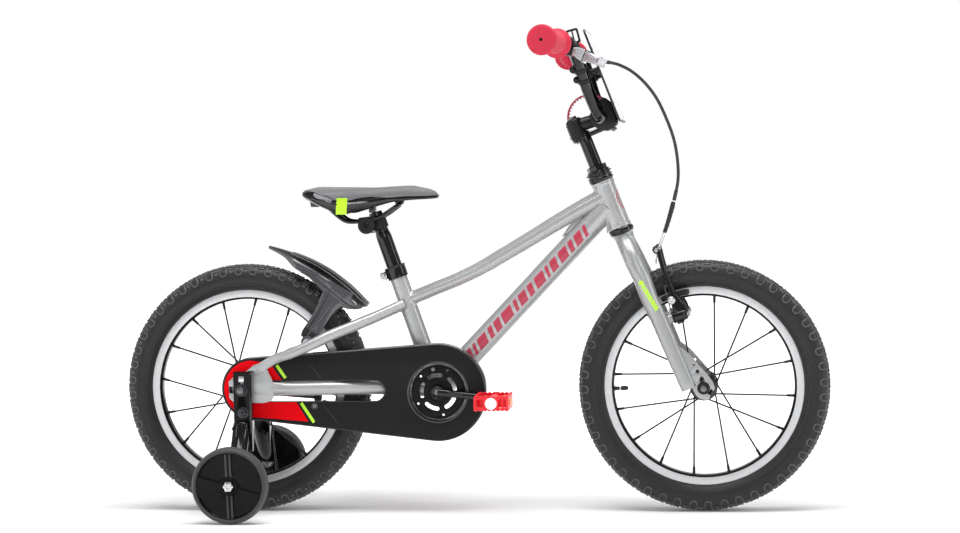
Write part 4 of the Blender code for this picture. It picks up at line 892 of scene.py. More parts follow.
def axle_set(name, body, node, centre, r, end, nut_r, nut0, nut1, cone0, cone1, cone_r, nut_mat):
    part = Part(name, body, (node,), "plated_steel", 34)
    part.add(rod(centre + Vector((0, -end, 0)), centre + Vector((0, end, 0)), r, 28, 0.8), "dark_steel")
    for s in (-1, 1):
        d = Vector((0, s, 0))
        for k in range(5):
            y = nut1 + 0.4 + k * (end - nut1 - 0.8) / 5
            part.add(lathe([(r - 0.5, y), (r + 0.12, y + 0.3), (r - 0.5, y + 0.6)], centre, d, 28), "dark_steel")
        part.add(disc(centre, d, nut_r * 1.16, nut0, nut0 + 1.6, 40, 0.4), nut_mat)
        line = poly(6, nut_r, 0.2)
        part.add(stack([(line, nut0 + 1.4), (line, nut1 - 1.2), (scaled(line, 0.9), nut1), (scaled(line, 0.62), nut1), (scaled(line, 0.56), nut1 - 0.7)], centre, d), nut_mat)
        part.add(disc(centre, d, cone_r, cone0, cone1, 40, 0.6), "dark_steel")
    return part.make()


axle_set("axle_front", "steering", "front_axle", FRONT, 4.7, 68, 8.6, 56.3, 64.5, 38.8, 50.7, 8.0, "cast_black")
axle_set("axle_rear", "frame", "rear_axle", REAR, 4.8, 80, 8.7, 65.8, 74, 47.3, 55.6, 8.0, "gun_metal")

# ---- welded frame: tubes, stays, plates and the weld fillets between them


def fillet_each(pts, radii, n=3):
    out = []
    m = len(pts)
    for i in range(m):
        p = np.array(pts[i], float)
        a, b = np.array(pts[(i - 1) % m], float), np.array(pts[(i + 1) % m], float)
        da, db = a - p, b - p
        la, lb = np.linalg.norm(da), np.linalg.norm(db)
        rr = min(radii[i], la * 0.48, lb * 0.48)
        pa, pb = p + da / la * rr, p + db / lb * rr
        for k in range(n + 1):
            t = k / n
            q = (1 - t) ** 2 * pa + 2 * t * (1 - t) * p + t * t * pb
            out.append((float(q[0]), float(q[1])))
    return out


head = Part("head_tube_skin", "frame", ("head_tube",), "frame_paint", 34)
head_shape = lathe(fillet([(15.2, -39.5), (18.9, -39.5), (18.9, -35), (18.0, -32), (18.0, 32), (18.9, 35), (18.9, 39.5), (15.2, 39.5)], 0.8, 3), HEAD_MID, HEAD_DIR, 72)
head.add(head_shape, "frame_paint")
head.make()
HEAD_TREE = tree(head_shape)


def top_section(h, w):
    p = [(0.20 * w, h), (0.90 * w, 0.36 * h), (1.0 * w, -0.22 * h), (0.58 * w, -0.97 * h)]
    full = p + [(-a, b) for a, b in reversed(p)]
    rr = [6.5, 1.0, 5.0, 6.5]
    return fillet_each(full, rr + rr[::-1], 4)


TOP_ROWS = [(-110, 339.5, 11.2), (-85, 349.5, 11.2), (-54, 362, 11.2), (-30, 371.3, 11.2), (0, 384.5, 11.3), (24, 397, 11.6), (44, 408.9, 11.9), (63.5, 420, 12.0),
            (102.6, 442.9, 12.3), (141.5, 465.9, 13.0), (180, 487.5, 13.5), (214, 505, 14.0)]
top_rows = dense(TOP_ROWS, 5)
top_pts = [Vector((r[0], 0, r[1])) for r in top_rows]
top_shape = sweep(top_pts, [top_section(r[2], r[2] * 1.22) for r in top_rows], Y_AXIS)
Part("top_tube_skin", "frame", ("top_tube",), "frame_paint", 40).add(top_shape, "frame_paint").make()
TOP_TREE = tree(top_shape)

DOWN_DIR = Vector((math.cos(math.radians(46.35)), 0, math.sin(math.radians(46.35))))
DOWN_UP = Vector((-DOWN_DIR.z, 0, DOWN_DIR.x))
DOWN_0 = Vector((-60, 0, 195))
down_pts = [DOWN_0 + DOWN_DIR * (18 + 385 * k / 12) for k in range(13)]
down_shape = tube(down_pts, 19, 72)
down = Part("down_tube_skin", "frame", ("down_tube",), "frame_paint", 34)
down.add(down_shape, "frame_paint")
gusset = [(144, 440), (156, 458), (166, 467), (192, 482), (192, 468), (160, 448)]
down.add(outline_plate(fillet(gusset, 3, 4), [], -5, 5, 1.2), "frame_paint")
down.make()
DOWN_TREE = tree(down_shape)

seat_shape = tube([seat_at(10 + 201 * k / 8) for k in range(9)], 14.3, 64)
Part("seat_tube_skin", "frame", ("seat_tube",), "frame_paint", 34).add(seat_shape, "frame_paint").make()
SEAT_TREE = tree(seat_shape)

shell_shape = lathe(fillet([(17.8, -34), (20, -34), (20, 34), (17.8, 34)], 0.6, 3), BB, Y_AXIS, 72)
Part("bb_shell_skin", "frame", ("bb_shell",), "frame_paint", 34).add(shell_shape, "frame_paint").make()
SHELL_TREE = tree(shell_shape)
bottom = Part("bottom_bracket_unit", "frame", ("bottom_bracket",), "plated_steel", 34)
bottom.add(lathe(fillet([(9.2, -36), (17.4, -36), (17.4, 36), (9.2, 36)], 0.5, 3), BB, Y_AXIS, 64), "dark_steel")
for s in (-1, 1):
    for k in range(12):
        a = 2 * math.pi * k / 12
        bottom.add(box(BB + Vector((math.cos(a) * 15.4, s * 35.9, math.sin(a) * 15.4)), (2.2, 0.6, 1.2), 0.15), "dark_steel")
bottom.make()


def ellipse(w, h, n=36):
    return [(w * math.cos(2 * math.pi * k / n), h * math.sin(2 * math.pi * k / n)) for k in range(n)]


def stay(rows, squash, dome):
    """A stay tube with a closed rounded rear end."""
    pts = vecs(rows)
    sec = []
    for p, r in zip(pts, rows):
        far = (p - pts[0]).length
        flat = min(1.0, 0.30 + 0.70 * max(0.0, far - 6.0) / 38.0)
        flat = flat * flat * (3 - 2 * flat)
        sec.append(ellipse(r[3] * squash * flat, r[3] * (1.0 + 0.10 * (1 - flat))))
    t = (pts[1] - pts[0]).normalized()
    lead, lead_sec = [], []
    for k in range(5):
        a = math.pi / 2 * (k + 0.35) / 5.35
        lead.append(pts[0] - t * dome * math.cos(a))
        lead_sec.append([(p * math.sin(a), q * math.sin(a)) for p, q in sec[0]])
    return sweep(lead + pts, lead_sec + sec, Y_AXIS)


CHAINSTAY = [(-334, 58.5, 202), (-300, 56, 202), (-250, 49, 202), (-205, 42.5, 202), (-165, 35.5, 201.5), (-130, 28.8, 200), (-100, 25, 198.2), (-60, 23, 196)]
SEATSTAY = [(-339, 61.5, 236.5), (-326, 61, 244.6), (-311.5, 60, 252), (-291, 59.5, 258.5), (-262, 56, 270.5), (-228, 48, 286.5), (-190, 37, 301.5), (-155, 26, 315.7), (-112, 12, 334.5)]
DROPOUT = [(-392, 214), (-385, 221), (-366, 228.4), (-350, 241), (-340, 244), (-330, 240), (-327, 230), (-322, 220), (-319, 211), (-318, 191), (-322, 183), (-335, 179.5),
           (-384, 181), (-391, 188), (-391, 195.6)] + arc2(-369.5, 201, 5.4, -90, 90, 12) + [(-391, 206.4)]
for side, word in ((-1, "right"), (1, "left")):
    c_rows = dense([(x, side * y, z, 10.8) for x, y, z in CHAINSTAY], 5)
    s_rows = dense([(x, side * y, z, 6.9 + 2.1 * min(1.0, k / 5)) for k, (x, y, z) in enumerate(SEATSTAY)], 5)
    low = Part("chainstay_skin_" + word, "frame", ("chainstay_" + word,), "frame_paint", 36)
    c_shape = stay(c_rows, 0.88, 9)
    low.add(c_shape, "frame_paint")
    low.add(outline_plate(fillet(DROPOUT[:15], 2.0, 3, closed=False) + DROPOUT[15:], [circle2(-356.2, 228.4, 2.9, 28)], side * 56, side * 61, 0.7), "frame_paint")
    low.add(ring((-356.2, side * 58.5, 228.4), Y_AXIS, 2.6, 3.6, -2.9, 2.9, 28, 0.3), "dark_steel")
    low.make()
    high = Part("seatstay_skin_" + word, "frame", ("seatstay_" + word,), "frame_paint", 36)
    s_shape = stay(s_rows, 1.0, 7)
    high.add(s_shape, "frame_paint")
    n = len(s_rows)
    base = s_rows[-7]
    fr = frames(vecs(s_rows), Y_AXIS)[-7]
    t = tangents(vecs(s_rows))[-4]
    p = Vector(base[:3])
    rays = [(p + fr[0] * math.cos(2 * math.pi * k / 40) * 8.8 + fr[1] * math.sin(2 * math.pi * k / 40) * 8.8, t) for k in range(40)]
    high.add(weld(rays, SEAT_TREE, 3.2), "frame_paint")
    high.make()

joints = Part("frame_welds", "frame", (), "frame_paint", 60)
fr = frames(top_pts, Y_AXIS)
k_front = len(top_pts) - 9
sec = top_section(top_rows[-4][2], top_rows[-4][2] * 1.22)
t_front = (top_pts[-1] - top_pts[-9]).normalized()
rays = [(top_pts[k_front] + fr[-5][0] * a + fr[-5][1] * b, t_front) for a, b in sec]
joints.add(weld(rays, HEAD_TREE, 4.2), "frame_paint")
sec = top_section(11.2, 13.66)
t_rear = (top_pts[0] - top_pts[6]).normalized()
rays = [(top_pts[8] + fr[4][0] * a + fr[4][1] * b, t_rear) for a, b in sec]
joints.add(weld(rays, SEAT_TREE, 3.6), "frame_paint")
for start, way, hit_tree, d in ((300, 1, HEAD_TREE, 4.6), (110, -1, SHELL_TREE, 4.2)):
    rays = [(DOWN_0 + DOWN_DIR * start + Y_AXIS * math.cos(2 * math.pi * k / 60) * 19 + DOWN_UP * math.sin(2 * math.pi * k / 60) * 19, DOWN_DIR * way) for k in range(60)]
    joints.add(weld(rays, hit_tree, d), "frame_paint")
seat_fwd = Vector((SEAT_DIR.z, 0, -SEAT_DIR.x))
rays = [(seat_at(90) + Y_AXIS * math.cos(2 * math.pi * k / 50) * 14.3 + seat_fwd * math.sin(2 * math.pi * k / 50) * 14.3, -SEAT_DIR) for k in range(50)]
joints.add(weld(rays, SHELL_TREE, 3.6), "frame_paint")
joints.make()

# ---- generic slanted bars along the down tube, no lettering
print_part = Part("down_tube_bars", "frame", (), "frame_paint", 40)
bar_t = 66.0
for k, (width, gap) in enumerate(((15, 5), (6, 5), (19, 6), (9, 5), (13, 5), (22, 6), (7, 5), (16, 5), (11, 6), (20, 5), (6, 5), (14, 6), (18, 5), (9, 5), (15, 5), (7, 5), (18, 6), (10, 5))):
    lo, hi = -8.5, 8.5
    tilt = 7.5
    if bar_t + width > 352:
        break
    pts4 = [DOWN_0 + DOWN_DIR * (bar_t) + DOWN_UP * lo, DOWN_0 + DOWN_DIR * (bar_t + width) + DOWN_UP * lo,
            DOWN_0 + DOWN_DIR * (bar_t + width + tilt) + DOWN_UP * hi, DOWN_0 + DOWN_DIR * (bar_t + tilt) + DOWN_UP * hi]
    pts4 = [p - Y_AXIS * 15 for p in pts4]
    print_part.add(patch(DOWN_TREE, pts4, (0, 1, 0), 6, 10, 0.10, 0.2), "crimson_print")
    print_part.add(flip_y(patch(DOWN_TREE, pts4, (0, 1, 0), 6, 10, 0.10, 0.2)), "crimson_print")
    bar_t += width + gap
print_part.make()
mark = Part("head_tube_ring", "frame", (), "frame_paint", 40)
def on_head(along, arc_len, lift):
    a = arc_len / 18.0
    return head_at(along, (18.0 + lift) * math.cos(a), (18.0 + lift) * math.sin(a))


for rad_a, rad_b, thick in ((15.5, 14.5, 0.95), (11.2, 10.4, 0.5)):
    loop_ = [on_head(2 + rad_a * math.cos(2 * math.pi * k / 72), rad_b * math.sin(2 * math.pi * k / 72), -0.25) for k in range(72)]
    band_rings = []
    for k in range(72):
        a, b, c = loop_[k - 1], loop_[k], loop_[(k + 1) % 72]
        t = (c - a).normalized()
        away = (b - head_at((b - HEAD_MID).dot(HEAD_DIR))).normalized()
        wide = t.cross(away).normalized()
        band_rings.append([b + wide * thick * x + away * y for x, y in ((-1, -0.3), (-0.8, 0.34), (0.8, 0.34), (1, -0.3))])
    mark.add(skin(band_rings, loop=True), "crimson_print")
mark.make()

# ---- seat collar and headset fittings
collar = Part("seat_collar", "frame", ("seat_clamp",), "black_alloy", 34)
collar.add(lathe(fillet([(14.6, 192), (16.9, 192), (17.3, 193.2), (16.7, 195.0), (16.7, 209.0), (17.4, 210.6), (17.2, 212.5), (14.6, 212.5)], 0.6, 3), (-59, 0, 195), SEAT_DIR, 72), "gloss_black")
rot = Matrix((seat_fwd, Y_AXIS, SEAT_DIR)).transposed()
for s in (-1, 1):
    collar.add(box(seat_at(202.5, -20.3, s * 4.9), (10.5, 7.0, 13), 1.6, rot), "gloss_black")
collar.add(rod(seat_at(202.5, -21.5, -9.4), seat_at(202.5, -21.5, 10.4), 2.6, 20, 0.3), "silver")
collar.add(hex_bolt(seat_at(202.5, -21.5, -8.4), (0, -1, 0), 4.6, 3.6, 0.9), "silver")
collar.add(hex_bolt(seat_at(202.5, -21.5, 8.4), (0, 1, 0), 4.4, 3.0), "silver")
collar.make()
cup = Part("headset_cup_low", "frame", ("headset_lower_cup",), "black_alloy", 34)
cup.add(lathe(fillet([(13.1, -49.4), (19.2, -49.4), (19.6, -47.4), (20.4, -45.6), (20.5, -42.5), (18.9, -39.8), (13.1, -39.8)], 0.6, 3), HEAD_MID, HEAD_DIR, 72), "gloss_black")
cup.make()
cup = Part("headset_cup_top", "frame", ("headset_upper_cup",), "black_alloy", 34)
cup.add(lathe(fillet([(13.1, 50), (20.2, 50), (20.3, 48), (19.2, 46.6), (20.2, 45.2), (20.2, 43), (18.9, 39.8), (13.1, 39.8)], 0.5, 3), HEAD_MID, HEAD_DIR, 72), "gloss_black")
cup.make()
nut = Part("headset_top_nut", "steering", ("headset_locknut",), "black_alloy", 30)
nut.add(lathe(fillet([(13.0, 50.4), (18.3, 50.4), (18.5, 52.3), (20.6, 52.5), (20.6, 54.8), (18.8, 55.2), (18.5, 57.5), (18.5, 58.2), (15.8, 58.6), (13.0, 58.6)], 0.4, 3), HEAD_MID, HEAD_DIR, 72), "gloss_black")
line = poly(8, 16.2)
nut.add(stack([(scaled(line, 0.95), 58.4), (line, 59.2), (line, 65.4), (scaled(line, 0.93), 66.6), (scaled(line, 0.84), 67.0), (scaled(line, 0.72), 66.6)], HEAD_MID, HEAD_DIR), "gloss_black")
for k in range(24):
    a = 2 * math.pi * k / 24
    u, v = basis(HEAD_DIR)
    nut.add(box(head_at(53.65) + (u * math.cos(a) + v * math.sin(a)) * 20.4, (1.5, 1.9, 1.8), 0.3, turned(u * math.cos(a) + v * math.sin(a), HEAD_DIR)), "gloss_black")
nut.make()

# ---- chain guard: a face with a rolled lip, deep edge wall, holes, coloured panels

G1, R1, G2, R2 = (-355.5, 202.0), 50.0, (-54.0, 195.0), 78.5


def hull(inset=0.0, n=40):
    """Outline round both circles, counter-clockwise, moved inwards by inset."""
    dx, dz = G2[0] - G1[0], G2[1] - G1[1]
    tilt = math.atan2(dz, dx)
    lean = math.acos((R1 - R2) / math.hypot(dx, dz))
    a, b = math.degrees(tilt + lean), math.degrees(tilt - lean)
    return arc2(G2[0], G2[1], R2 - inset, b, a, n * 2) + arc2(G1[0], G1[1], R1 - inset, a, b + 360, n)


GUARD_HOLES = [circle2(BB.x, BB.z, 47.0, 96)]
slot_line = arc2(-366, 202, 26.0, 28, 332, 60)
slot_line = slot_line + [(-330, 181.8)] + arc2(-156, 198, 16.2, -90, 90, 20) + [(-330, 214.2)]
GUARD_HOLES.append(slot_line)
guard = Part("chain_guard_shell", "frame", ("chain_guard",), "guard_plastic", 32)
wall = [(0.0, 31.0), (0.0, 48.2), (0.18, 49.2), (0.7, 50.0), (1.5, 50.4), (2.3, 50.25), (2.8, 49.9), (3.4, 49.5), (3.4, 48.4), (1.8, 48.2), (1.8, 31.0)]
rings_ = [[Vector((x, -y, z)) for x, z in hull(inset)] for inset, y in wall]
v_, f_ = skin(rings_ + [rings_[0]], cap=False)
guard.add((v_, f_), "guard_edge")
guard.add(outline_plate(hull(2.6), GUARD_HOLES, -48.3, -50.0, 0.45), "guard_black")
guard.add(ring((BB.x, 0, BB.z), Y_AXIS, 46.6, 49.4, -50.35, -47.4, 96, 0.5), "guard_edge")
rings_ = []
m = len(slot_line)
for i in range(m):
    a, b = slot_line[i - 1], slot_line[(i + 1) % m]
    t = Vector((b[0] - a[0], 0, b[1] - a[1])).normalized()
    out_ = Vector((-t.z, 0, t.x))
    if i < 61:
        c = Vector((slot_line[i][0] + 366, 0, slot_line[i][1] - 202)).normalized()
        out_ = c
    p = Vector((slot_line[i][0], 0, slot_line[i][1]))
    if out_.dot(Vector((p.x + 260, 0, p.z - 198))) < 0 and i >= 61:
        out_ = -out_
    rings_.append([p + out_ * a2 + Vector((0, -y2, 0)) for a2, y2 in ((-0.1, 49.4), (0.2, 50.15), (0.8, 50.35), (1.5, 50.2), (1.8, 49.8))])
guard.add(skin(rings_, loop=True), "guard_edge")
guard.add(dome_bolt((-253.9, -49.9, 173.8), (0, -1, 0), 3.4, 1.3), "dark_steel")
guard.add(ring((-253.9, -50, 173.8), Y_AXIS, 3.4, 5.2, -0.25, 0.3, 32, 0.2), "guard_edge")
for x0, z0, x1, z1 in ((-262, 243.2, -244.0, 219.5), (-240.5, 177.4, -216.5, 146.0)):
    d = Vector((x1 - x0, 0, z1 - z0)).normalized()
    nrm = Vector((-d.z, 0, d.x))
    a, b = Vector((x0, 0, z0)), Vector((x1, 0, z1))
    line = [((a + nrm * 0.35).x, (a + nrm * 0.35).z), ((a - nrm * 0.35).x, (a - nrm * 0.35).z), ((b - nrm * 0.35).x, (b - nrm * 0.35).z), ((b + nrm * 0.35).x, (b + nrm * 0.35).z)]
    guard.add(outline_plate(line, [], -49.8, -50.12, 0.05), "guard_edge")
guard.make()


def prism_object(line, y0, y1):
    me = bpy.data.meshes.new("tmp_prism")
    n = len(line)
    me.from_pydata([(x * MM, y0 * MM, z * MM) for x, z in line] + [(x * MM, y1 * MM, z * MM) for x, z in line], [],
                   [tuple(range(n)), tuple(range(2 * n - 1, n - 1, -1))] + [(k, n + k, n + (k + 1) % n, (k + 1) % n) for k in range(n)])
    bm = bmesh.new()
    bm.from_mesh(me)
    bmesh.ops.recalc_face_normals(bm, faces=bm.faces[:])
    bm.to_mesh(me)
    bm.free()
    ob = bpy.data.objects.new("tmp_prism", me)
    bpy.context.scene.collection.objects.link(ob)
    return ob


def carve(body, tools, mode="DIFFERENCE"):
    """The solid left after exact Boolean steps, as mesh data in millimetres."""
    for t in tools:
        mod = body.modifiers.new("cut", "BOOLEAN")
        mod.operation, mod.solver, mod.object = mode, "EXACT", t
    dg = bpy.context.evaluated_depsgraph_get()
    me = bpy.data.meshes.new_from_object(body.evaluated_get(dg))
    verts = [Vector(v.co) / MM for v in me.vertices]
    faces = [tuple(p.vertices) for p in me.polygons]
    for ob in [body] + list(tools):
        data = ob.data
        bpy.data.objects.remove(ob)
        bpy.data.meshes.remove(data)
    bpy.data.meshes.remove(me)
    return verts, faces


left_arc = arc2(G1[0], G1[1], R1 - 4.4, 93, 267, 60)
panel_y0, panel_y1 = -49.9, -50.22
cutters = [prism_object([(-366 + (x + 366) * 1.075, 202 + (z - 202) * 1.075) for x, z in circle2(-366, 202, 26, 64)], -49, -52),
           prism_object([(-352, 180.2), (-150, 180.2), (-150, 215.8), (-352, 215.8)], -49, -52)]
decals = Part("guard_panels", "frame", (), "guard_plastic", 30)
red_line = left_arc + [(-264.4, 148.7), (-283.0, 179.4), (-305.2, 214.0), (-312.4, 223.2), (-325.4, 243.6)]
decals.add(carve(prism_object(red_line, panel_y0, panel_y1), cutters), "guard_red")
for x0, z0, x1, z1 in ((-314.6, 239.6, -300.6, 219.0), (-275.6, 178.9, -255.2, 147.4)):
    d = Vector((x1 - x0, 0, z1 - z0)).normalized()
    nrm = Vector((-d.z, 0, d.x)) * 2.5
    line = [(x0 + nrm.x, z0 + nrm.z), (x0 - nrm.x, z0 - nrm.z), (x1 - nrm.x, z1 - nrm.z), (x1 + nrm.x, z1 + nrm.z)]
    decals.add(outline_plate(line, [], -49.9, -50.26, 0.06), "lime")
decals.make()

# ---- chainring with its cover disc, crank arms and spindle


def gear(teeth, pitch_r, depth):
    line = []
    for k in range(teeth):
        a = 360.0 * k / teeth
        w = 360.0 / teeth
        for f, r in ((-0.5, -depth * 0.55), (-0.34, -depth * 0.45), (-0.2, depth * 0.1), (-0.07, depth * 0.55), (0.07, depth * 0.55), (0.2, depth * 0.1), (0.34, -depth * 0.45)):
            t = math.radians(a + f * w)
            line.append(((pitch_r + r) * math.cos(t), (pitch_r + r) * math.sin(t)))
    return line


def kidney(r, half, mid, spread, n=10):
    out = arc2(0, 0, r + half, mid - spread, mid + spread, n)
    a = math.radians(mid + spread)
    out += arc2(r * math.cos(a), r * math.sin(a), half, mid + spread, mid + spread + 180, 6)[1:-1]
    out += arc2(0, 0, r - half, mid + spread, mid - spread, n)
    a = math.radians(mid - spread)
    out += arc2(r * math.cos(a), r * math.sin(a), half, mid - spread + 180, mid - spread + 360, 6)[1:-1]
    return out


def at_bb(line):
    return [(BB.x + a, BB.z + b) for a, b in line]


cr = Part("chainring_disc", "crank", ("chainring",), "black_steel", 30)
slots = [at_bb(kidney(27, 3.3, 102 + 72 * k, 20)) for k in range(5)]
dots = [circle2(BB.x + 37.6 * math.cos(math.radians(102 + 36 + 72 * k)), BB.z + 37.6 * math.sin(math.radians(102 + 36 + 72 * k)), 1.9, 20) for k in range(5)]
cr.add(outline_plate(at_bb(gear(28, 56.7, 5.6)), slots + dots, -37.8, -40.0, 0.35), "dark_steel")
cr.add(outline_plate(circle2(BB.x, BB.z, 43.6, 96), slots + dots, -40.0, -42.6, 0.6), "wheel_black")
cr.add(ring((BB.x, 0, BB.z), Y_AXIS, 40.2, 42.4, -43.3, -42.2, 96, 0.35), "wheel_black")
cr.add(ring((BB.x, 0, BB.z), Y_AXIS, 15.5, 18.6, -43.6, -42.2, 72, 0.45), "wheel_black")
for k in range(5):
    a = math.radians(102 + 72 * k)
    cr.add(disc((BB.x + 37.4 * math.cos(a), -42.2, BB.z + 37.4 * math.sin(a)), (0, -1, 0), 3.3, 0, 1.5, 28, 0.5), "dark_steel" if k == 0 else "wheel_black")
    b = math.radians(138 + 72 * k)
    rotm = turned((math.cos(b), 0, math.sin(b)), Y_AXIS)
    cr.add(box((BB.x + 25.5 * math.cos(b), -42.7, BB.z + 25.5 * math.sin(b)), (13.5, 1.3, 5.2), 0.5, rotm), "wheel_black")
cr.make()

spindle = Part("crank_spindle_bar", "crank", ("crank_spindle",), "plated_steel", 34)
spindle.add(tube([BB + Vector((0, -40.3, 0)), BB + Vector((0, 0, 0)), BB + Vector((0, 41.6, 0))], 8.6, 40, 0.8), "dark_steel")
spindle.make()

CRANK_A = math.radians(-4.7)


def crank(word, side, angle, y_in):
    """A forged arm that leaves its boss in a bend and ends in the pedal eye."""
    part = Part("crank_arm_" + word, "crank", ("crank_" + word,), "black_alloy", 34)
    d = Vector((math.cos(angle), 0, math.sin(angle)))
    rows = dense([(0, 52.0, 7.4), (10, 51.8, 7.4), (20, 53.0, 7.2), (30, 57.0, 6.9), (42, 61.2, 6.6), (58, 64.5, 6.4), (74, 67.0, 6.5), (86, 68.7, 7.2), (97, 70, 8.4)], 5)
    pts = [BB + d * r + Vector((0, side * y, 0)) for r, y, q in rows]
    up_ = Y_AXIS.cross(d)
    secs = [fillet([(q * 0.82, q * 0.95), (-q * 0.82, q * 0.95), (-q * 0.82, -q * 0.95), (q * 0.82, -q * 0.95)], q * 0.75, 5) for r, y, q in rows]
    part.add(sweep(pts, secs, up_), "gloss_black")
    out_ = Vector((0, side, 0))
    part.add(lathe(fillet([(0, y_in), (11.6, y_in), (12.0, y_in + 2), (11.2, 54.5), (10.2, 57.0), (9.0, 57.0), (8.4, 55.8), (0, 55.8)], 0.8, 3, closed=False), BB, out_, 56, closed=False), "gloss_black")
    part.add(hex_bolt(BB + out_ * 55.2, out_, 4.6, 1.7), "dark_steel")
    c = BB + d * 97
    part.add(lathe(fillet([(0, 62.6), (9.6, 62.6), (10.8, 64.6), (10.8, 75.4), (9.8, 77.4), (0, 77.4)], 0.9, 3, closed=False), c, out_, 48, closed=False), "gloss_black")
    part.add(rod(c + out_ * 60, c + out_ * 149, 4.8, 24, 0.6), "dark_steel")
    part.add(stack([(poly(6, 7.4), 77.4), (poly(6, 7.4), 79.4)], c, out_), "dark_steel")
    return part.make()


crank("right", -1, CRANK_A, 43.0)
crank("left", 1, CRANK_A + math.pi, 42.2)


def pedal(word, side, centre):
    """A moulded platform: cage with toothed edges, ribs, reflectors at both ends and a round outer cap."""
    part = Part("pedal_" + word + "_platform", "pedal_" + word, ("pedal_" + word,), "pedal_plastic", 34)
    x0, z0 = centre
    y_mid = side * 119.5
    hx, hy = 27.0, 38.5
    for s in (-1, 1):
        rows = []
        for k in range(41):
            f = -1 + 2 * k / 40
            tooth = 0.0 if (k % 5) in (0, 1) else 1.5
            rows.append((x0 + f * hx, tooth))
        outer = [(x, z0 + 10.2 + t) for x, t in rows] + [(x, z0 - 10.2 - t) for x, t in reversed(rows)]
        outer = fillet(outer, 0.9, 2)
        win = [[(x0 + a, z0 + b) for a, b in fillet([(p, 6.6), (q, 6.6), (q, -6.6), (p, -6.6)], 1.6, 3)] for p, q in ((-23.2, -11.6), (11.6, 17.0), (19.0, 23.6))]
        y = y_mid + s * (hy - 2.6)
        part.add(outline_plate(outer, win if s == side else win, y - 2.3, y + 2.3, 0.6), "pedal_red")
    for a in (-24.6, 24.6):
        part.add(box((x0 + a, y_mid, z0), (4.6, 2 * hy - 6, 19.0), 1.3), "pedal_red")
        for k in range(9):
            y = y_mid - 32 + 8 * k
            for t in (-1, 1):
                part.add(box((x0 + a, y, z0 + t * 10.2), (4.4, 3.6, 3.4), 0.9), "pedal_red")
    for y in (-19, 0, 19):
        part.add(box((x0, y_mid + y, z0), (50, 3.0, 15.5), 0.8), "pedal_red")
    part.add(rod((x0, y_mid - side * 38, z0), (x0, y_mid + side * 34, z0), 9.2, 40, 1.0), "pedal_red")
    cap_y = Vector((0, side, 0))
    part.add(lathe(fillet([(0, 155.4), (9.4, 155.4), (9.4, 158.0), (7.6, 159.0), (0, 159.6)], 0.7, 3, closed=False), (x0, 0, z0), cap_y, 48, closed=False), "cap_white")
    for a in (-1, 1):
        face = x0 + a * 27.0
        part.add(box((face + a * 0.4, y_mid, z0), (1.6, 44, 12.4), 0.6), "amber")
        for k in range(10):
            part.add(box((face + a * 1.2, y_mid - 20.2 + 4.5 * k, z0), (0.8, 1.5, 11.0), 0.3), "amber")
    return part.make()


pedal("right", -1, (42.674, 187.052))
pedal("left", 1, (-150.674, 202.948))

# ---- chain of inner and outer links, sprocket and coaster arm
chain = Part("chain_links", "frame", ("chain",), "black_steel", 34)
cc, sc = (BB.x, BB.z, 56.7), (REAR.x, REAR.z, 28.54)
dx, dz = cc[0] - sc[0], cc[1] - sc[1]
L = math.hypot(dx, dz)
tilt = math.atan2(dz, dx)
lean = math.acos((sc[2] - cc[2]) / L)
path = []
for line, first, last_ in ((cc, tilt - lean, tilt + lean), (sc, tilt + lean, tilt - lean + 2 * math.pi)):
    for k in range(121):
        a = first + (last_ - first) * k / 120
        path.append((line[0] + line[2] * math.cos(a), line[1] + line[2] * math.sin(a)))
path.append(path[0])
run = [0.0]
for a, b in zip(path, path[1:]):
    run.append(run[-1] + math.hypot(b[0] - a[0], b[1] - a[1]))
links = int(round(run[-1] / 12.7 / 2)) * 2
step = run[-1] / links


def on_chain(s):
    s = s % run[-1]
    k = min(int(np.searchsorted(run, s, "right")) - 1, len(path) - 2)
    f = (s - run[k]) / max(run[k + 1] - run[k], 1e-9)
    return Vector((path[k][0] * (1 - f) + path[k + 1][0] * f, -39.0, path[k][1] * (1 - f) + path[k + 1][1] * f))


link_line = arc2(-step / 2, 0, 3.9, 90, 270, 6) + [(0, -2.9)] + arc2(step / 2, 0, 3.9, -90, 90, 6) + [(0, 2.9)]
for k in range(links):
    p, q = on_chain(k * step), on_chain((k + 1) * step)
    d = (q - p).normalized()
    m_ = (p + q) / 2
    off = 2.5 if k % 2 else 1.7
    for s in (-1, 1):
        chain.add(stack([(link_line, off - 0.4), (link_line, off + 0.4)], m_, (0, s, 0), d), "dark_steel")
    chain.add(rod(p + Vector((0, -3.1, 0)), p + Vector((0, 3.1, 0)), 1.7, 12, 0.3), "silver")
    chain.add(rod(p + Vector((0, -1.25, 0)), p + Vector((0, 1.25, 0)), 3.0, 14, 0.2), "dark_steel")
chain.make()

sprocket = Part("sprocket_driver", "sprocket", ("rear_sprocket",), "black_steel", 30)
sprocket.add(outline_plate([(REAR.x + a, REAR.z + b) for a, b in gear(14, 28.0, 5.4)], [circle2(REAR.x, REAR.z, 16.5, 48)], -38.0, -40.0, 0.3), "dark_steel")
sprocket.add(ring(REAR, Y_AXIS, 6.0, 17.2, -41.0, -36.4, 56, 0.6), "dark_steel")
sprocket.make()

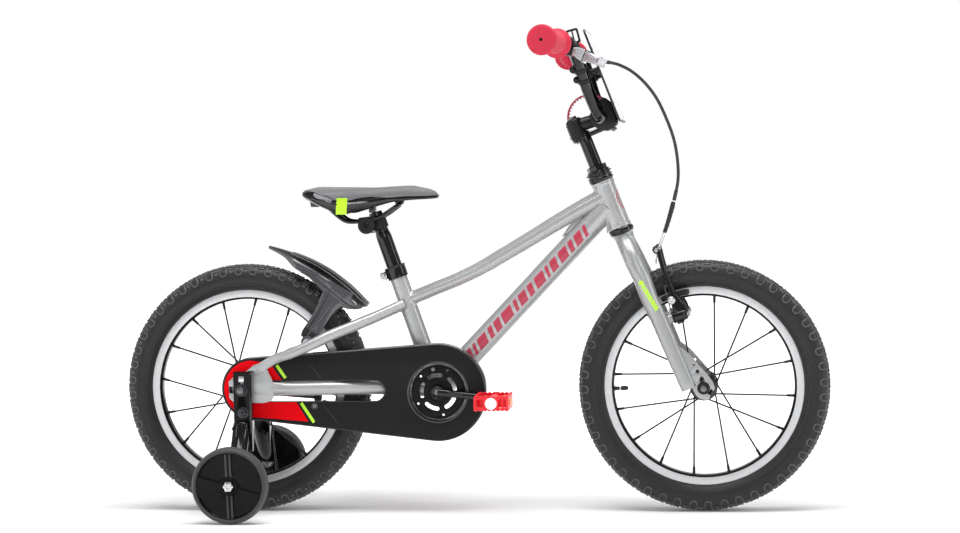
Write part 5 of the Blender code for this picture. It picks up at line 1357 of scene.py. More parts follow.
arm = Part("coaster_arm", "frame", ("coaster_brake_arm",), "plated_steel", 34)
arm_line = [(REAR.x + 17 * math.cos(math.radians(a)), REAR.z + 17 * math.sin(math.radians(a))) for a in range(10, 296, 6)] + [(-330, 181.5), (-264, 176), (-257.5, 180), (-258.5, 187), (-330, 197.5)]
arm.add(outline_plate(arm_line, [circle2(REAR.x, REAR.z, 6.0, 32), circle2(-265, 182, 2.6, 20)], 41, 44, 0.5), "dark_steel")
arm.add(box((-300, 42.5, 188.6), (44, 3.9, 2.2), 0.5, turned((0.99, 0, -0.11))), "dark_steel")
arm.make()
strap = Part("coaster_arm_strap", "frame", (), "plated_steel", 34)
strap.add(ring((-265, 44.4, 184.6), X_AXIS, 11.6, 12.8, -5, 5, 48, 0.4), "satin_black")
strap.add(hex_bolt((-265, 43.6, 182), (0, 1, 0), 4.2, 3.0, 0.8), "silver")
strap.make()

# ---- saddle: padded cover, base shell, rails, clamp and post


def patch_round(bvh, line, direction, rings_n=5, lift=0.15, sink=0.3):
    """A thin skin with any star-shaped outline, thrown along direction onto a surface."""
    d = Vector(direction).normalized()
    pts = [Vector(p) for p in line]
    c = sum(pts, Vector()) / len(pts)
    n = len(pts)

    def drop(p):
        hit, nor, _, _ = bvh.ray_cast(p - d * 60, d)
        if hit is None:
            hit, nor, _, _ = bvh.find_nearest(p)
        if nor.dot(d) > 0:
            nor = -nor
        return hit, nor
    tops, lows = [], []
    for k in range(1, rings_n + 1):
        f = k / rings_n
        for p in pts:
            h, nr = drop(c + (p - c) * f)
            tops.append(h + nr * lift)
            lows.append(h - nr * sink)
    h, nr = drop(c)
    verts = [h + nr * lift] + tops + [h - nr * sink] + lows
    m = len(tops) + 1
    faces = []
    for k in range(n):
        k2 = (k + 1) % n
        faces.append((0, 1 + k, 1 + k2))
        faces.append((m, m + 1 + k2, m + 1 + k))
        for r in range(rings_n - 1):
            a, b = 1 + r * n, 1 + (r + 1) * n
            faces.append((a + k, b + k, b + k2, a + k2))
            faces.append((m + a + k2, m + b + k2, m + b + k, m + a + k))
        a = 1 + (rings_n - 1) * n
        faces.append((a + k, m + a + k, m + a + k2, a + k2))
    return verts, faces


SADDLE = [(-272.4, 24, 516.6, 513.0, 511.4), (-271.6, 31, 519.4, 512.8, 510.6), (-270, 38, 521.8, 512.4, 509.6), (-264, 50, 523.6, 511, 506), (-248.5, 63, 524.2, 508, 499), (-228, 70, 523.6, 504.5, 490),
          (-205, 67, 523.2, 502, 481), (-182, 53, 522.8, 502, 485.5), (-158, 36, 522.5, 503, 492.5), (-130, 25, 524, 505, 499.5), (-98, 19.5, 524.8, 506.2, 502.5), (-72, 17, 522.5, 507, 503.8),
          (-60, 12.5, 518.2, 507.8, 504.6), (-55.5, 8, 514.6, 508.4, 505.8), (-53.8, 3.2, 511.8, 508.8, 507.0)]
EDGE_LINE = [(-275, 513.9), (-262, 519.6), (-247.1, 516.9), (-223.8, 509.4), (-211.0, 502.6), (-191.5, 502.7), (-176.4, 506.6), (-159.1, 508.2), (-138.1, 506.4), (-106.0, 508.2), (-72, 508.4), (-57.1, 509.3), (-50, 509.6)]
SECTION = dense([(1, 0), (0.985, 0.26), (0.955, 0.50), (0.87, 0.72), (0.72, 0.87), (0.50, 0.96), (0.25, 0.995), (0, 1.0)], 8)
SECTION_Z = [p[1] for p in SECTION]


def section_at(f):
    k = min(int(f * (len(SECTION) - 1)), len(SECTION) - 2)
    g = f * (len(SECTION) - 1) - k
    return SECTION[k] * (1 - g) + SECTION[k + 1] * g


def edge_fraction(x, top, seam):
    z = float(np.interp(x, [p[0] for p in EDGE_LINE], [p[1] for p in EDGE_LINE]))
    frac = min(0.8, max(0.03, (z - seam) / max(top - seam, 0.5)))
    return float(np.interp(frac, SECTION_Z, np.linspace(0, 1, len(SECTION_Z))))


cover_rows = dense(SADDLE, 5)
N_LOW, N_UP = 6, 14
cover_rings, cover_black = [], []
for x, w, top, seam, under in cover_rows:
    w, top = max(w, 1.5), max(top, seam + 0.8)
    fb = edge_fraction(x, top, seam)
    fs = [fb * k / N_LOW for k in range(N_LOW + 1)] + [fb + (1 - fb) * k / N_UP for k in range(1, N_UP + 1)]
    half = []
    for f in fs:
        a, b = section_at(min(f, 1.0))
        dip = 0.0
        if -250 < x < -90:
            dip = 2.2 * math.exp(-((a * w) / 9.0) ** 2) * math.sin(math.pi * (x + 250) / 160.0)
        half.append((a * w, seam + b * (top - seam) - dip))
    line = [(-y, z) for y, z in half] + [(y, z) for y, z in reversed(half[:-1])]
    line += [(0.9 * w, seam - 0.6), (0.4 * w, seam - 0.8), (-0.4 * w, seam - 0.8), (-0.9 * w, seam - 0.6)]
    cover_rings.append([Vector((x, y, z)) for y, z in line])
cv, cf = skin(cover_rings)
n_line = len(cover_rings[0])
cushion_mesh = bpy.data.meshes.new("saddle_cushion")
cushion_mesh.from_pydata([tuple(p * MM) for p in cv], [], cf)
cushion_mesh.materials.append(mat("saddle_top"))
cushion_mesh.materials.append(mat("saddle_side"))
top_half = N_LOW + N_UP
which = []
for k, f in enumerate(cf):
    if len(f) != 4:
        which.append(1)
        continue
    j = min(i % n_line for i in f) if max(i % n_line for i in f) - min(i % n_line for i in f) == 1 else n_line - 1
    grey = N_LOW <= j < N_LOW + 2 * N_UP
    which.append(0 if grey else 1)
cushion_mesh.polygons.foreach_set("material_index", which)
cb = bmesh.new()
cb.from_mesh(cushion_mesh)
bmesh.ops.recalc_face_normals(cb, faces=cb.faces[:])
cb.to_mesh(cushion_mesh)
cb.free()
cushion = bpy.data.objects.new("saddle_cushion", cushion_mesh)
bpy.context.scene.collection.objects.link(cushion)


def swell(source, cap, pressure=4.0):
    """Blows a remeshed copy up as cloth for twenty frames and hands its movement back to the source mesh."""
    from mathutils.kdtree import KDTree
    me = source.data.copy()
    ob = bpy.data.objects.new("swell_tmp", me)
    bpy.context.scene.collection.objects.link(ob)
    rm = ob.modifiers.new("remesh", "REMESH")
    rm.mode, rm.voxel_size = "VOXEL", 0.0045
    dg = bpy.context.evaluated_depsgraph_get()
    new = bpy.data.meshes.new_from_object(ob.evaluated_get(dg))
    ob.modifiers.clear()
    ob.data = new
    start_co = [v.co.copy() for v in new.vertices]
    cl = ob.modifiers.new("cloth", "CLOTH")
    cs = cl.settings
    cs.use_pressure = True
    cs.uniform_pressure_force = pressure
    cs.effector_weights.gravity = 0.0
    cs.mass = 0.25
    cs.tension_stiffness = cs.compression_stiffness = 25
    cs.shear_stiffness = 12
    cs.bending_stiffness = 1.5
    cl.point_cache.frame_start, cl.point_cache.frame_end = 1, 20
    scene = bpy.context.scene
    for fr_ in range(1, 21):
        scene.frame_set(fr_)
    dg = bpy.context.evaluated_depsgraph_get()
    done = ob.evaluated_get(dg).data
    kd = KDTree(len(start_co))
    for i, c in enumerate(start_co):
        kd.insert(c, i)
    kd.balance()
    moves = [done.vertices[i].co - start_co[i] for i in range(len(start_co))]
    for v in source.data.vertices:
        total, weight = Vector(), 0.0
        for co, i, dist_ in kd.find_n(v.co, 6):
            g = 1.0 / (dist_ + 0.002)
            total += moves[i] * g
            weight += g
        mv = total / weight
        x, z = v.co.x / MM, v.co.z / MM
        seam = float(np.interp(x, [r[0] for r in SADDLE], [r[3] for r in SADDLE]))
        hold = min(1.0, max(0.0, (z - seam - 1.5) / 9.0))
        mv = mv * hold
        if mv.length > cap:
            mv = mv * (cap / mv.length)
        v.co += mv
    scene.frame_set(1)
    bpy.data.objects.remove(ob)
    return source


swell(cushion, 0.0016)
cushion.data.polygons.foreach_set("use_smooth", [True] * len(cushion.data.polygons))
cushion.data.update()
sub = cushion.modifiers.new("smooth", "SUBSURF")
sub.levels = sub.render_levels = 1
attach(cushion, "saddle")
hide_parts("saddle_cover")
COVER_TREE = tree((cv, cf))

seam_part = Part("saddle_seams", "saddle", (), "saddle_cover", 50)
for s in (-1, 1):
    line = [Vector((r[N_LOW].x, s * abs(r[N_LOW].y), r[N_LOW].z)) for r in cover_rings[6:-6]]
    line = [p + Vector((0, s * 0.1, 0.15)) for p in line]
    seam_part.add(tube(line, 0.55, 8), "saddle_side")
seam_part.make()

base = Part("saddle_shell", "saddle", ("saddle_base",), "saddle_base", 40)
base_rings = []
for x, w, top, seam, under in cover_rows[3:-3]:
    s0, h = seam - 0.5, seam - 0.5 - under
    bulge = 0.06 * math.exp(-((x + 184) / 22.0) ** 2)
    line = [(0.985 * w, s0), ((0.995 + bulge) * w, s0 - 0.2 * h), ((0.97 + bulge) * w, s0 - 0.5 * h), ((0.92 + bulge * 0.5) * w, s0 - 0.82 * h), (0.86 * w, under), (0.78 * w, under + 0.6),
            (0.70 * w, under + 0.45 * h), (0.3 * w, s0 - 2.2), (0, s0 - 1.9)]
    full = line + [(-a, b) for a, b in reversed(line[:-1])]
    full = full + [(-0.5 * w, s0), (0.5 * w, s0)]
    base_rings.append([Vector((x, a, b)) for a, b in full])
shell_saddle = skin(base_rings)
base.add(shell_saddle, "saddle_black")
for s in (-1, 1):
    base.add(box((-188, s * 42, 492.5), (6, 16, 9), 1.6), "saddle_black")
    base.add(box((-252.5, s * 22, 497.8), (14, 10, 9.5), 2.0), "saddle_black")
base.add(box((-252, 0, 500.5), (15, 60, 6), 1.8), "saddle_black")
base.add(box((-162.3, 0, 489.5), (9, 26, 14), 1.8), "saddle_black")
base.add(box((-118, 0, 500.0), (14, 14, 6), 1.5), "saddle_black")
base.make()
BASE_TREE = tree(shell_saddle)

marks = Part("saddle_patches", "saddle", (), "saddle_cover", 40)
for s in (-1, 1):
    a0, b0 = Vector((-247.5, s * 62, 514.2)), Vector((-216.5, s * 62, 502.6))
    d = (b0 - a0)
    half_l, nrm = d.length / 2, Vector((-d.z, 0, d.x)).normalized()
    d.normalize()
    mid = (a0 + b0) / 2
    oval = []
    for k in range(36):
        t = 2 * math.pi * k / 36
        cx_, cz_ = math.cos(t), math.sin(t)
        oval.append(mid + d * (math.copysign(abs(cx_) ** 0.6, cx_) * half_l) + nrm * (math.copysign(abs(cz_) ** 0.8, cz_) * 4.3))
    both_tree = tree(join([(cv, cf), shell_saddle]))
    marks.add(patch_round(both_tree, oval, (0, -s, 0), 6, 0.35, 0.5), "fender_light")
marks.make()

tag = Part("saddle_tag", "saddle", (), "saddle_cover", 40)
tag_rows = []
for k in range(10):
    f = k / 9
    z = 507.5 - 26.0 * f
    y = -67.6 - 1.0 * math.sin(f * 2.6)
    x = -201.0 - 1.6 * f
    tag_rows.append((x, y, z))
rings_ = []
for x, y, z in tag_rows:
    rings_.append([Vector((x - 8.6, y + 0.35, z)), Vector((x - 8.6, y - 0.35, z)), Vector((x, y - 0.6, z)), Vector((x + 8.6, y - 0.35, z)), Vector((x + 8.6, y + 0.35, z)), Vector((x, y + 0.3, z))])
tag.add(skin(rings_), "lime")
for zz in (505.6, 503.9):
    for k in range(8):
        tag.add(box((-208.4 + 2.1 * k, -68.5, zz), (1.2, 0.35, 0.35), 0.1), "lime")
tag.make()

rails = Part("saddle_rail_pair", "saddle", ("saddle_rails",), "black_steel", 40)
RAIL = [(-213, 22, 476.2), (-204, 22, 470.6), (-192, 22, 468.6), (-168.8, 22, 470.8), (-152, 22, 474.5), (-140, 20.5, 480.3), (-129, 17.5, 487.6), (-119, 12.5, 494.6), (-115.5, 6, 496.9), (-115.0, 0, 497.2)]
half_rail = vecs(dense(RAIL, 6))
rail_start = vecs(dense([(-232, 21.5, 493), (-222, 22, 484), (-213, 22, 476.2), (-204, 22, 470.6)], 5))[:10]
half_rail = rail_start + half_rail[1:]
full_rail = half_rail + [Vector((p.x, -p.y, p.z)) for p in reversed(half_rail[:-1])]
rails.add(tube(full_rail, 3.4, 24, 0.8), "gloss_black")
rails.make()

clamp_c = Vector((-168.8, 0, 462.5))
clamp = Part("saddle_clamp_set", "saddle", ("saddle_clamp",), "black_steel", 32)
for s in (-1, 1):
    d = Vector((0, s, 0))
    line = []
    for k in range(88):
        r = 13.9 if k % 2 else 13.2
        t = 2 * math.pi * k / 88
        line.append((r * math.cos(t), r * math.sin(t)))
    clamp.add(stack([(scaled(line, 0.96), 24.8), (line, 25.4), (line, 29.2), (scaled(line, 0.93), 30.2)], clamp_c, d), "cast_black")
    clamp.add(ring(clamp_c, d, 9.2, 11.8, 29.6, 31.0, 48, 0.4), "cast_black")
    clamp.add(socket_bolt(clamp_c + d * 29.8, d, 4.6, 2.6), "gloss_black")
    clamp.add(disc(clamp_c, d, 4.2, 17.6, 26.2, 28, 0.2), "cast_black")
    clamp.add(box(clamp_c + Vector((0.5, s * 22.5, 9.6)), (27, 8.6, 8.6), 2.2, turned((0.995, 0, 0.095))), "cast_black")
clamp.add(lathe(fillet([(0, -17.6), (12.5, -17.6), (12.5, 17.6), (0, 17.6)], 1.0, 3, closed=False), clamp_c, Y_AXIS, 56, closed=False), "cast_black")
clamp.add(lathe(fillet([(10.8, 277), (13.6, 277), (13.6, 298), (10.8, 298)], 0.8, 3), (-59, 0, 195), SEAT_DIR, 56), "cast_black")
clamp.add(box((clamp_c + seat_at(288)) / 2 + Vector((0, 0, 0)), (16, 16, 17), 2.0, rot), "cast_black")
clamp.make()

post = Part("seatpost_tube", "saddle", ("seatpost",), "black_alloy", 30)
post.add(lathe(fillet([(0, 108), (12.7, 108), (12.7, 262), (12.3, 266.5), (11.2, 271.5), (11.0, 276), (11.0, 305), (0, 305)], 1.2, 4, closed=False), (-59, 0, 195), SEAT_DIR, 64, closed=False), "gloss_black")
for t in (232.0, 236.0, 240.0):
    post.add(lathe([(12.5, t - 0.25), (12.78, t), (12.5, t + 0.25)], (-59, 0, 195), SEAT_DIR, 64), "dark_steel")
post.make()

# ---- stem, bar, grips

stem = Part("stem_quill", "steering", ("stem",), "black_alloy", 32)
stem.add(tube([head_at(8 + 116 * k / 6) for k in range(7)], 11.0, 48, 0.8), "gloss_black")
stem.add(lathe(fillet([(0, 112), (11.6, 112), (13.6, 115.5), (14.2, 120), (14.2, 142), (12.8, 147), (9.6, 149.6), (0, 150.4)], 1.2, 4, closed=False), head_at(0, -6.8), HEAD_DIR, 56, closed=False), "cast_black")
for k in range(6):
    s = 117.5 + 4.6 * k
    stem.add(lathe([(13.9, s - 1.1), (14.9, s - 0.7), (14.9, s + 0.7), (13.9, s + 1.1)], head_at(0, -6.8), HEAD_DIR, 56), "cast_black")
stem.add(socket_bolt(head_at(149.8, -6.8), HEAD_DIR, 6.6, 3.4), "dark_steel")
ext_a, ext_b = head_at(136.5, -4), Vector((209.5, 0, 629.5))
stem.add(tube([ext_a, ext_a.lerp(ext_b, 0.33), ext_a.lerp(ext_b, 0.66), ext_b], [11.6, 10.7, 10.5, 10.5], 40), "satin_black")
stem.add(rod(head_at(117), Vector((213.5, 0, 613.5)), 4.2, 20, 0.4), "gloss_black")
# painted highlight: a thin silver strip laid along the top of the black clamp rod
stem.add(rod(head_at(121, 4, -3.8), Vector((213.0, -3.8, 616.6)), 0.9, 10, 0.2), "silver")
stem.add(box(head_at(119, -16), (9, 12, 13), 1.8, turned(HEAD_DIR)), "silver")
stem.add(hex_bolt(head_at(113.5, -16.5), -HEAD_DIR, 4.6, 3.6, 0.8), "silver")
clamp_line = fillet([(203, 657), (215, 662.5), (227, 653.5), (234.5, 631), (236, 620), (221, 609), (207, 611.5), (194.5, 620), (191.5, 632), (196, 643)], 4.0, 4)
stem.add(outline_plate(clamp_line, [], -21, 21, 2.2), "cast_black")
for k in range(7):
    y = -15.6 + 5.2 * k
    ribs = [(209.5 + (x - 209.5) * 1.02, 632 + (z - 632) * 1.02) for x, z in clamp_line]
    stem.add(outline_plate(ribs, [], y - 1.3, y + 1.3, 0.5), "cast_black")
for y in (-13, 13):
    stem.add(socket_bolt((232.6, y, 640), (0.94, 0, 0.34), 4.0, 3.8), "dark_steel")
    stem.add(socket_bolt((229.5, y, 613.0), (0.6, 0, -0.8), 4.0, 3.6), "dark_steel")
stem.make()

BAR = [(209.5, 0, 629.5), (209.5, 18, 629.5), (209.5, 33, 629.5), (208.8, 44, 632), (206.3, 54, 640), (200.5, 62, 654), (193.5, 70, 672.5), (186.5, 79.5, 695), (181.7, 86, 711), (177.8, 92.5, 722),
       (174.3, 101, 731), (171.5, 113, 736.5), (168.5, 127, 738.6), (155.2, 188, 740.3), (137.6, 275, 742.0)]
half_bar = vecs(dense(BAR, 6))
bar_pts = [Vector((p.x, -p.y, p.z)) for p in reversed(half_bar)] + half_bar[1:]
bar = Part("handlebar_tube", "steering", ("handlebar",), "black_alloy", 34)
bar.add(tube(bar_pts, 10.0, 40), "gloss_black")
bar.add(ring((209.5, 0, 629.5), Y_AXIS, 9.4, 11.3, -27, 27, 48, 0.8), "satin_black")
bar.make()

grip_a, grip_b = Vector((155.2, 188, 740.3)), Vector((137.4, 276, 742.0))
GL = (grip_b - grip_a).length


def grip(word, side):
    part = Part("grip_" + word + "_sleeve", "steering", ("grip_" + word,), "grip_rubber", 36)
    a = Vector((grip_a.x, side * grip_a.y, grip_a.z))
    b = Vector((grip_b.x, side * grip_b.y, grip_b.z))
    prof = [(10.1, 0.0), (21.0, 0.0), (22.6, 0.9), (23.0, 2.4), (22.2, 4.0), (19.4, 5.2), (16.9, 7.2), (16.2, 11), (15.5, 25), (15.4, 45), (15.6, GL - 24), (16.6, GL - 15), (18.6, GL - 11.4), (21.6, GL - 10.2),
            (22.9, GL - 9.2), (23.1, GL - 7.6), (21.2, GL - 7.1), (21.2, GL - 6.1), (23.2, GL - 5.6), (23.3, GL - 3.6), (21.9, GL - 3.2), (21.9, GL - 2.4), (22.9, GL - 2.0), (21.8, GL - 0.5), (18.5, GL + 0.0), (12, GL + 0.3), (3.4, GL + 0.4),
            (2.6, GL - 0.2), (2.4, GL - 3.2), (0, GL - 3.4), (0, GL - 6), (10.1, GL - 6)]
    d = (b - a).normalized()
    part.add(lathe(fillet(prof, 0.7, 2), a, d, 72), "grip_red")
    for k in range(7):
        s = 27 + (GL - 54) * k / 6
        part.add(lathe([(15.2, s - 1.6), (15.85, s - 1.1), (15.85, s + 1.1), (15.2, s + 1.6)], a, d, 72), "grip_red")
    return part.make()


grip("right", -1)
grip("left", 1)

# ---- brake lever on the right of the bar, its cable and the noodle across the brake

lever_at = Vector((165.23, -142, 739.02))
lever_fwd, lever_up = Vector((0.9135, 0, -0.4067)), Vector((0.4067, 0, 0.9135))


def at_lever(u, y, v=0.0):
    p = lever_at + lever_fwd * u + lever_up * v
    return Vector((p.x, y, p.z))


bar_dir = Vector((-0.215, -0.976, 0.028)).normalized()
barrel_end, barrel_dir = Vector((222.3, -115.3, 714.6)), Vector((0.93, 0.33, -0.22)).normalized()
house = Part("lever_housing", "steering", ("brake_lever_housing",), "black_alloy", 32)
house.add(lathe(fillet([(10.15, -8), (14.6, -8), (15.5, -6.6), (15.5, 6.6), (14.6, 8), (10.15, 8)], 1.0, 3), lever_at, bar_dir, 56), "cast_black")
lev_rot = Matrix((lever_fwd, Y_AXIS, lever_up)).transposed()
house.add(tube([at_lever(8, -141), at_lever(20, -138, -0.5), at_lever(32, -130, -1), barrel_end - barrel_dir * 13, barrel_end - barrel_dir * 9], [8.6, 7.6, 6.8, 6.0, 5.4], 28, 0.6), "cast_black")
house.add(box(at_lever(25, -143.5, 4.6), (34, 13, 3.2), 1.3, lev_rot), "cast_black")
house.add(box(at_lever(25, -143.5, -7.4), (32, 12, 2.6), 1.1, lev_rot), "cast_black")
house.add(box(at_lever(-15.5, -142, -1), (8, 12, 9), 1.8, lev_rot), "cast_black")
house.add(socket_bolt(at_lever(-15.5, -142, -5), -lever_up, 3.6, 3.4), "silver")
house.add(tube([barrel_end - barrel_dir * 10, barrel_end - barrel_dir * 4.2, barrel_end], [4.7, 4.7, 3.7], 24, 0.4), "gloss_black")
for k in range(10):
    t = 2 * math.pi * k / 10
    u, v = basis(barrel_dir)
    house.add(box(barrel_end - barrel_dir * 6.2 + (u * math.cos(t) + v * math.sin(t)) * 4.9, (4.6, 1.3, 1.0), 0.3, turned(barrel_dir, v * math.cos(t) - u * math.sin(t))), "gloss_black")
pivot = Vector((195.9, -146.5, 721.8))
pv = Vector((-0.4067, 0, -0.9135))
house.add(socket_bolt(pivot + pv * 8.2, pv, 4.2, 2.6), "silver")
house.add(dome_bolt(pivot - pv * 6.4, -pv, 3.6, 2.0), "silver")
cover = fillet([(12.5, 1.5), (20, 5.0), (31.2, 5.6), (31.2, -13.2), (22, -11.4), (13.5, -6.5)], 1.6, 4)
house.add(outline_plate(cover, [], -1.7, 1.7, 0.7, map_point=lambda a, b, c: at_lever(a, -152.6 + c, b)), "lever_silver")
house.add(box(at_lever(22, -149.0, -3.5), (14, 6, 11), 1.4, lev_rot), "lever_silver")
house.make()

blade = Part("lever_blade", "brake_lever", ("brake_lever",), "lever_alloy", 36)
blade_rows = dense([(34, -145.5, 5.2, 7.2), (42, -149, 5.0, 7.2), (50, -154, 4.4, 7.0), (62.5, -164, 3.6, 6.6), (69, -178, 3.0, 6.2), (66.5, -195, 2.6, 5.8), (61, -207, 2.4, 5.4), (60.4, -213, 2.3, 5.0), (62, -217, 2.0, 4.4)], 5)
pts = [at_lever(r[0], r[1], -3) for r in blade_rows]
secs = []
for r in blade_rows:
    secs.append(fillet([(r[3], r[2] * 0.8), (r[3] * 0.4, r[2]), (-r[3] * 0.4, r[2]), (-r[3], r[2] * 0.8), (-r[3], -r[2] * 0.5), (-r[3] * 0.55, -r[2] * 0.25), (r[3] * 0.55, -r[2] * 0.25), (r[3], -r[2] * 0.5)], 1.2, 3))
blade.add(sweep(pts, secs, lever_up), "lever_silver")
cheek = fillet([(32.5, 5.6), (48, 1.5), (60, -3.6), (60, -9.4), (46, -10.2), (32.5, -13.2)], 1.2, 4)
blade.add(outline_plate(cheek, [], -1.6, 1.6, 0.7, map_point=lambda a, b, c: at_lever(a, -154.6 + c - 0.22 * max(0.0, a - 34), b)), "lever_silver")
cheek_in = fillet([(35, 2.2), (46, -0.6), (54, -4.0), (54, -7.0), (45, -7.6), (35, -10.0)], 1.2, 3)
blade.add(outline_plate(cheek_in, [], -0.7, 0.7, 0.35, map_point=lambda a, b, c: at_lever(a, -156.2 + c - 0.22 * max(0.0, a - 34), b)), "lever_silver")
blade.add(lathe(fillet([(0, -6.0), (5.4, -6.0), (5.4, 5.4), (0, 5.4)], 0.6, 3, closed=False), pivot - pv * 0.4, -pv, 32, closed=False), "lever_silver")
blade.make()

CABLE = [tuple(barrel_end + barrel_dir * 0.4), (233.9, -110.5, 712.6), (246, -106, 709), (264.1, -98, 699.2), (283.8, -90, 681.3), (301.9, -82, 656.4), (316.9, -75, 623.5), (327.4, -70, 592.2),
         (332.4, -66.5, 560.9), (332.9, -65, 529.5), (326.4, -64, 497.4)]
cable = Part("brake_cable_housing", "steering", ("brake_cable",), "cable_black", 40)
cable_pts = vecs(dense(CABLE, 8))
cable.add(tube(cable_pts, 2.5, 20, 0.4), "cable_black")
cable.add(tube(cable_pts[:7], 3.0, 20, 0.3), "cable_black")
cable.add(tube(cable_pts[-5:], 3.05, 20, 0.3), "cable_black")
cable.make()

ARM_TOP = Vector((297.0, 0, 419.1))
NOODLE = [(325.5, -64, 495.7), (322.5, -64.3, 484), (316, -64.3, 462), (308.5, -62, 441), (303, -56, 427.5), (299, -47, 419.9), (297, -40.5, 419.1)]
noodle_rows = dense(NOODLE, 6)
noodle = Part("noodle_pipe", "steering", ("cable_noodle",), "plated_steel", 40)
noodle_pts = vecs(noodle_rows)
noodle.add(tube(noodle_pts, 2.3, 20, 0.3), "silver")
boot = [p for p in noodle_pts[:17]]
boot_r = [3.0 + 1.0 * math.sin(min(1.0, k / 5) * math.pi / 2) - 0.06 * k + (0.35 if k % 2 else 0) for k in range(len(boot))]
noodle.add(tube(boot, boot_r, 20, 0.4), "boot_rubber")
noodle.add(tube([Vector((297, -41.5, 419.1)), Vector((297, -38, 419.1))], 3.3, 20, 0.3), "silver")
noodle.add(tube([Vector((297, -40, 419.1)), Vector((297, 0, 419.1)), Vector((297, 39, 419.1)), Vector((296, 46, 416.1)), Vector((293.5, 47, 399.1))], 0.8, 10), "silver")
bellows = [Vector((297, -30 + 1.8 * k, 419.1)) for k in range(28)]
noodle.add(tube(bellows, [3.4 if k % 2 else 2.5 for k in range(28)], 18, 0.3), "boot_rubber")
noodle.add(tube([Vector((293.6, 47, 401)), Vector((293.2, 47.1, 394))], 1.3, 12, 0.3), "silver")
noodle.make()

# ---- number plate, its strap loop, knobs and the toothed strap ring

plate_c = Vector((216.2, 0, 695.2))
plate_up = HEAD_DIR
plate = Part("plate_panel", "steering", ("number_plate",), "plate_white", 30)


def on_plate(a, b, c):
    return plate_c + Vector((0, a, 0)) + plate_up * b + HEAD_FWD * c


plate_line = fillet([(-84, 77.2), (84, 77.2), (84, -77.2), (-84, -77.2)], 9, 6)
plate_holes = [[(a + s * 62, b + t * 46) for a, b in fillet([(-7, 2.2), (7, 2.2), (7, -2.2), (-7, -2.2)], 1.6, 3)] for s in (-1, 1) for t in (-1, 1)]
plate.add(outline_plate(plate_line, plate_holes, -1.9, 1.5, 0.25, map_point=lambda a, b, c: on_plate(a, b, c - 0.5)), "plate_dark")
inner_line = [(a * 0.972, b * 0.972) for a, b in plate_line]
plate.add(outline_plate(inner_line, plate_holes, 0.2, 0.7, 0.15, map_point=lambda a, b, c: on_plate(a, b, c + 1.15)), "plate_white")
for s in (-1, 1):
    p0 = Vector((197.8, s * 78, 699.0))
    plate.add(rod(p0, p0 + HEAD_FWD * 15.2, 5.0, 28, 0.5), "satin_black")
    plate.add(box(p0 - HEAD_FWD * 1.2, (5, 15, 14), 1.4, turned(HEAD_FWD)), "satin_black")
plate.make()

fittings = Part("bar_fittings", "steering", (), "black_steel", 34)


def bar_near(z, side):
    best = min((p for p in half_bar if p.y < 125), key=lambda p: abs(p.z - z))
    k = half_bar.index(best)
    t = (half_bar[min(k + 1, len(half_bar) - 1)] - half_bar[max(k - 1, 0)]).normalized()
    return Vector((best.x, side * best.y, best.z)), Vector((t.x, side * t.y, t.z))


for z, r in ((703, 6.0), (688, 5.4)):
    p, t = bar_near(z, -1)
    fittings.add(lathe(fillet([(9.9, -3.6), (11.4, -3.6), (11.4, 3.6), (9.9, 3.6)], 0.6, 3), p, t, 40), "satin_black")
    q = p + Vector((-12.0, 0, 0.5))
    fittings.add(lathe(fillet([(0, -5.5), (r, -5.5), (r + 0.4, 0), (r, 5.5), (r * 0.6, 6.4), (0, 6.4)], 1.0, 3, closed=False), q, Vector((0, -1, 0)), 36, closed=False), "satin_black")
    fittings.add(dome_bolt(q + Vector((0, -6.2, 0)), (0, -1, 0), 2.6, 1.2), "gloss_black")
loop_c = Vector((174.2, -112, 754.6))
outer = fillet([(-9.5, 11.5), (9.5, 11.5), (9.5, -11.5), (-9.5, -11.5)], 3.0, 4)
hole = fillet([(-6.6, 8.6), (6.6, 8.6), (6.6, -8.6), (-6.6, -8.6)], 1.8, 3)
tilt_l = math.radians(14)


def turn2(line):
    return [(loop_c.x + a * math.cos(tilt_l) - b * math.sin(tilt_l), loop_c.z + a * math.sin(tilt_l) + b * math.cos(tilt_l)) for a, b in line]


fittings.add(outline_plate(turn2(outer), [turn2(hole)], -118, -106, 0.7), "satin_black")
fittings.add(outline_plate(turn2(fillet([(-1.0, 9), (1.0, 9), (1.0, -9), (-1.0, -9)], 0.7, 2)), [], -117, -107, 0.5), "satin_black")
fittings.add(lathe(fillet([(9.9, -6), (12.4, -6), (12.4, 6), (9.9, 6)], 0.8, 3), (171.9, -112, 736.2), Vector((-0.2, -0.97, 0.16)), 44), "satin_black")
fittings.make()

strap_ring = Part("strap_ring", "steering", (), "grip_rubber", 36)
sr_c = Vector((190.5, 34, 632))
band = arc2(sr_c.x, sr_c.z, 37.3, 34, 214, 120)
for k in range(120, -1, -1):
    t = math.radians(34 + 180 * k / 120)
    r = 34.9 - (1.9 if k % 6 in (1, 2) else 0.0)
    band.append((sr_c.x + r * math.cos(t), sr_c.z + r * math.sin(t)))
strap_ring.add(outline_plate(band, [], sr_c.y - 5, sr_c.y + 5, 0.45), "crimson_print")
strap_ring.add(outline_plate(arc2(sr_c.x, sr_c.z, 37.8, 34, 214, 90) + arc2(sr_c.x, sr_c.z, 36.8, 214, 34, 90), [], sr_c.y - 3.4, sr_c.y + 3.4, 0.2), "satin_black")
strap_ring.add(box((sr_c.x + 27.5, sr_c.y, sr_c.z + 22.5), (15, 12, 8), 1.6, turned((0.64, 0, -0.77))), "satin_black")
strap_ring.make()

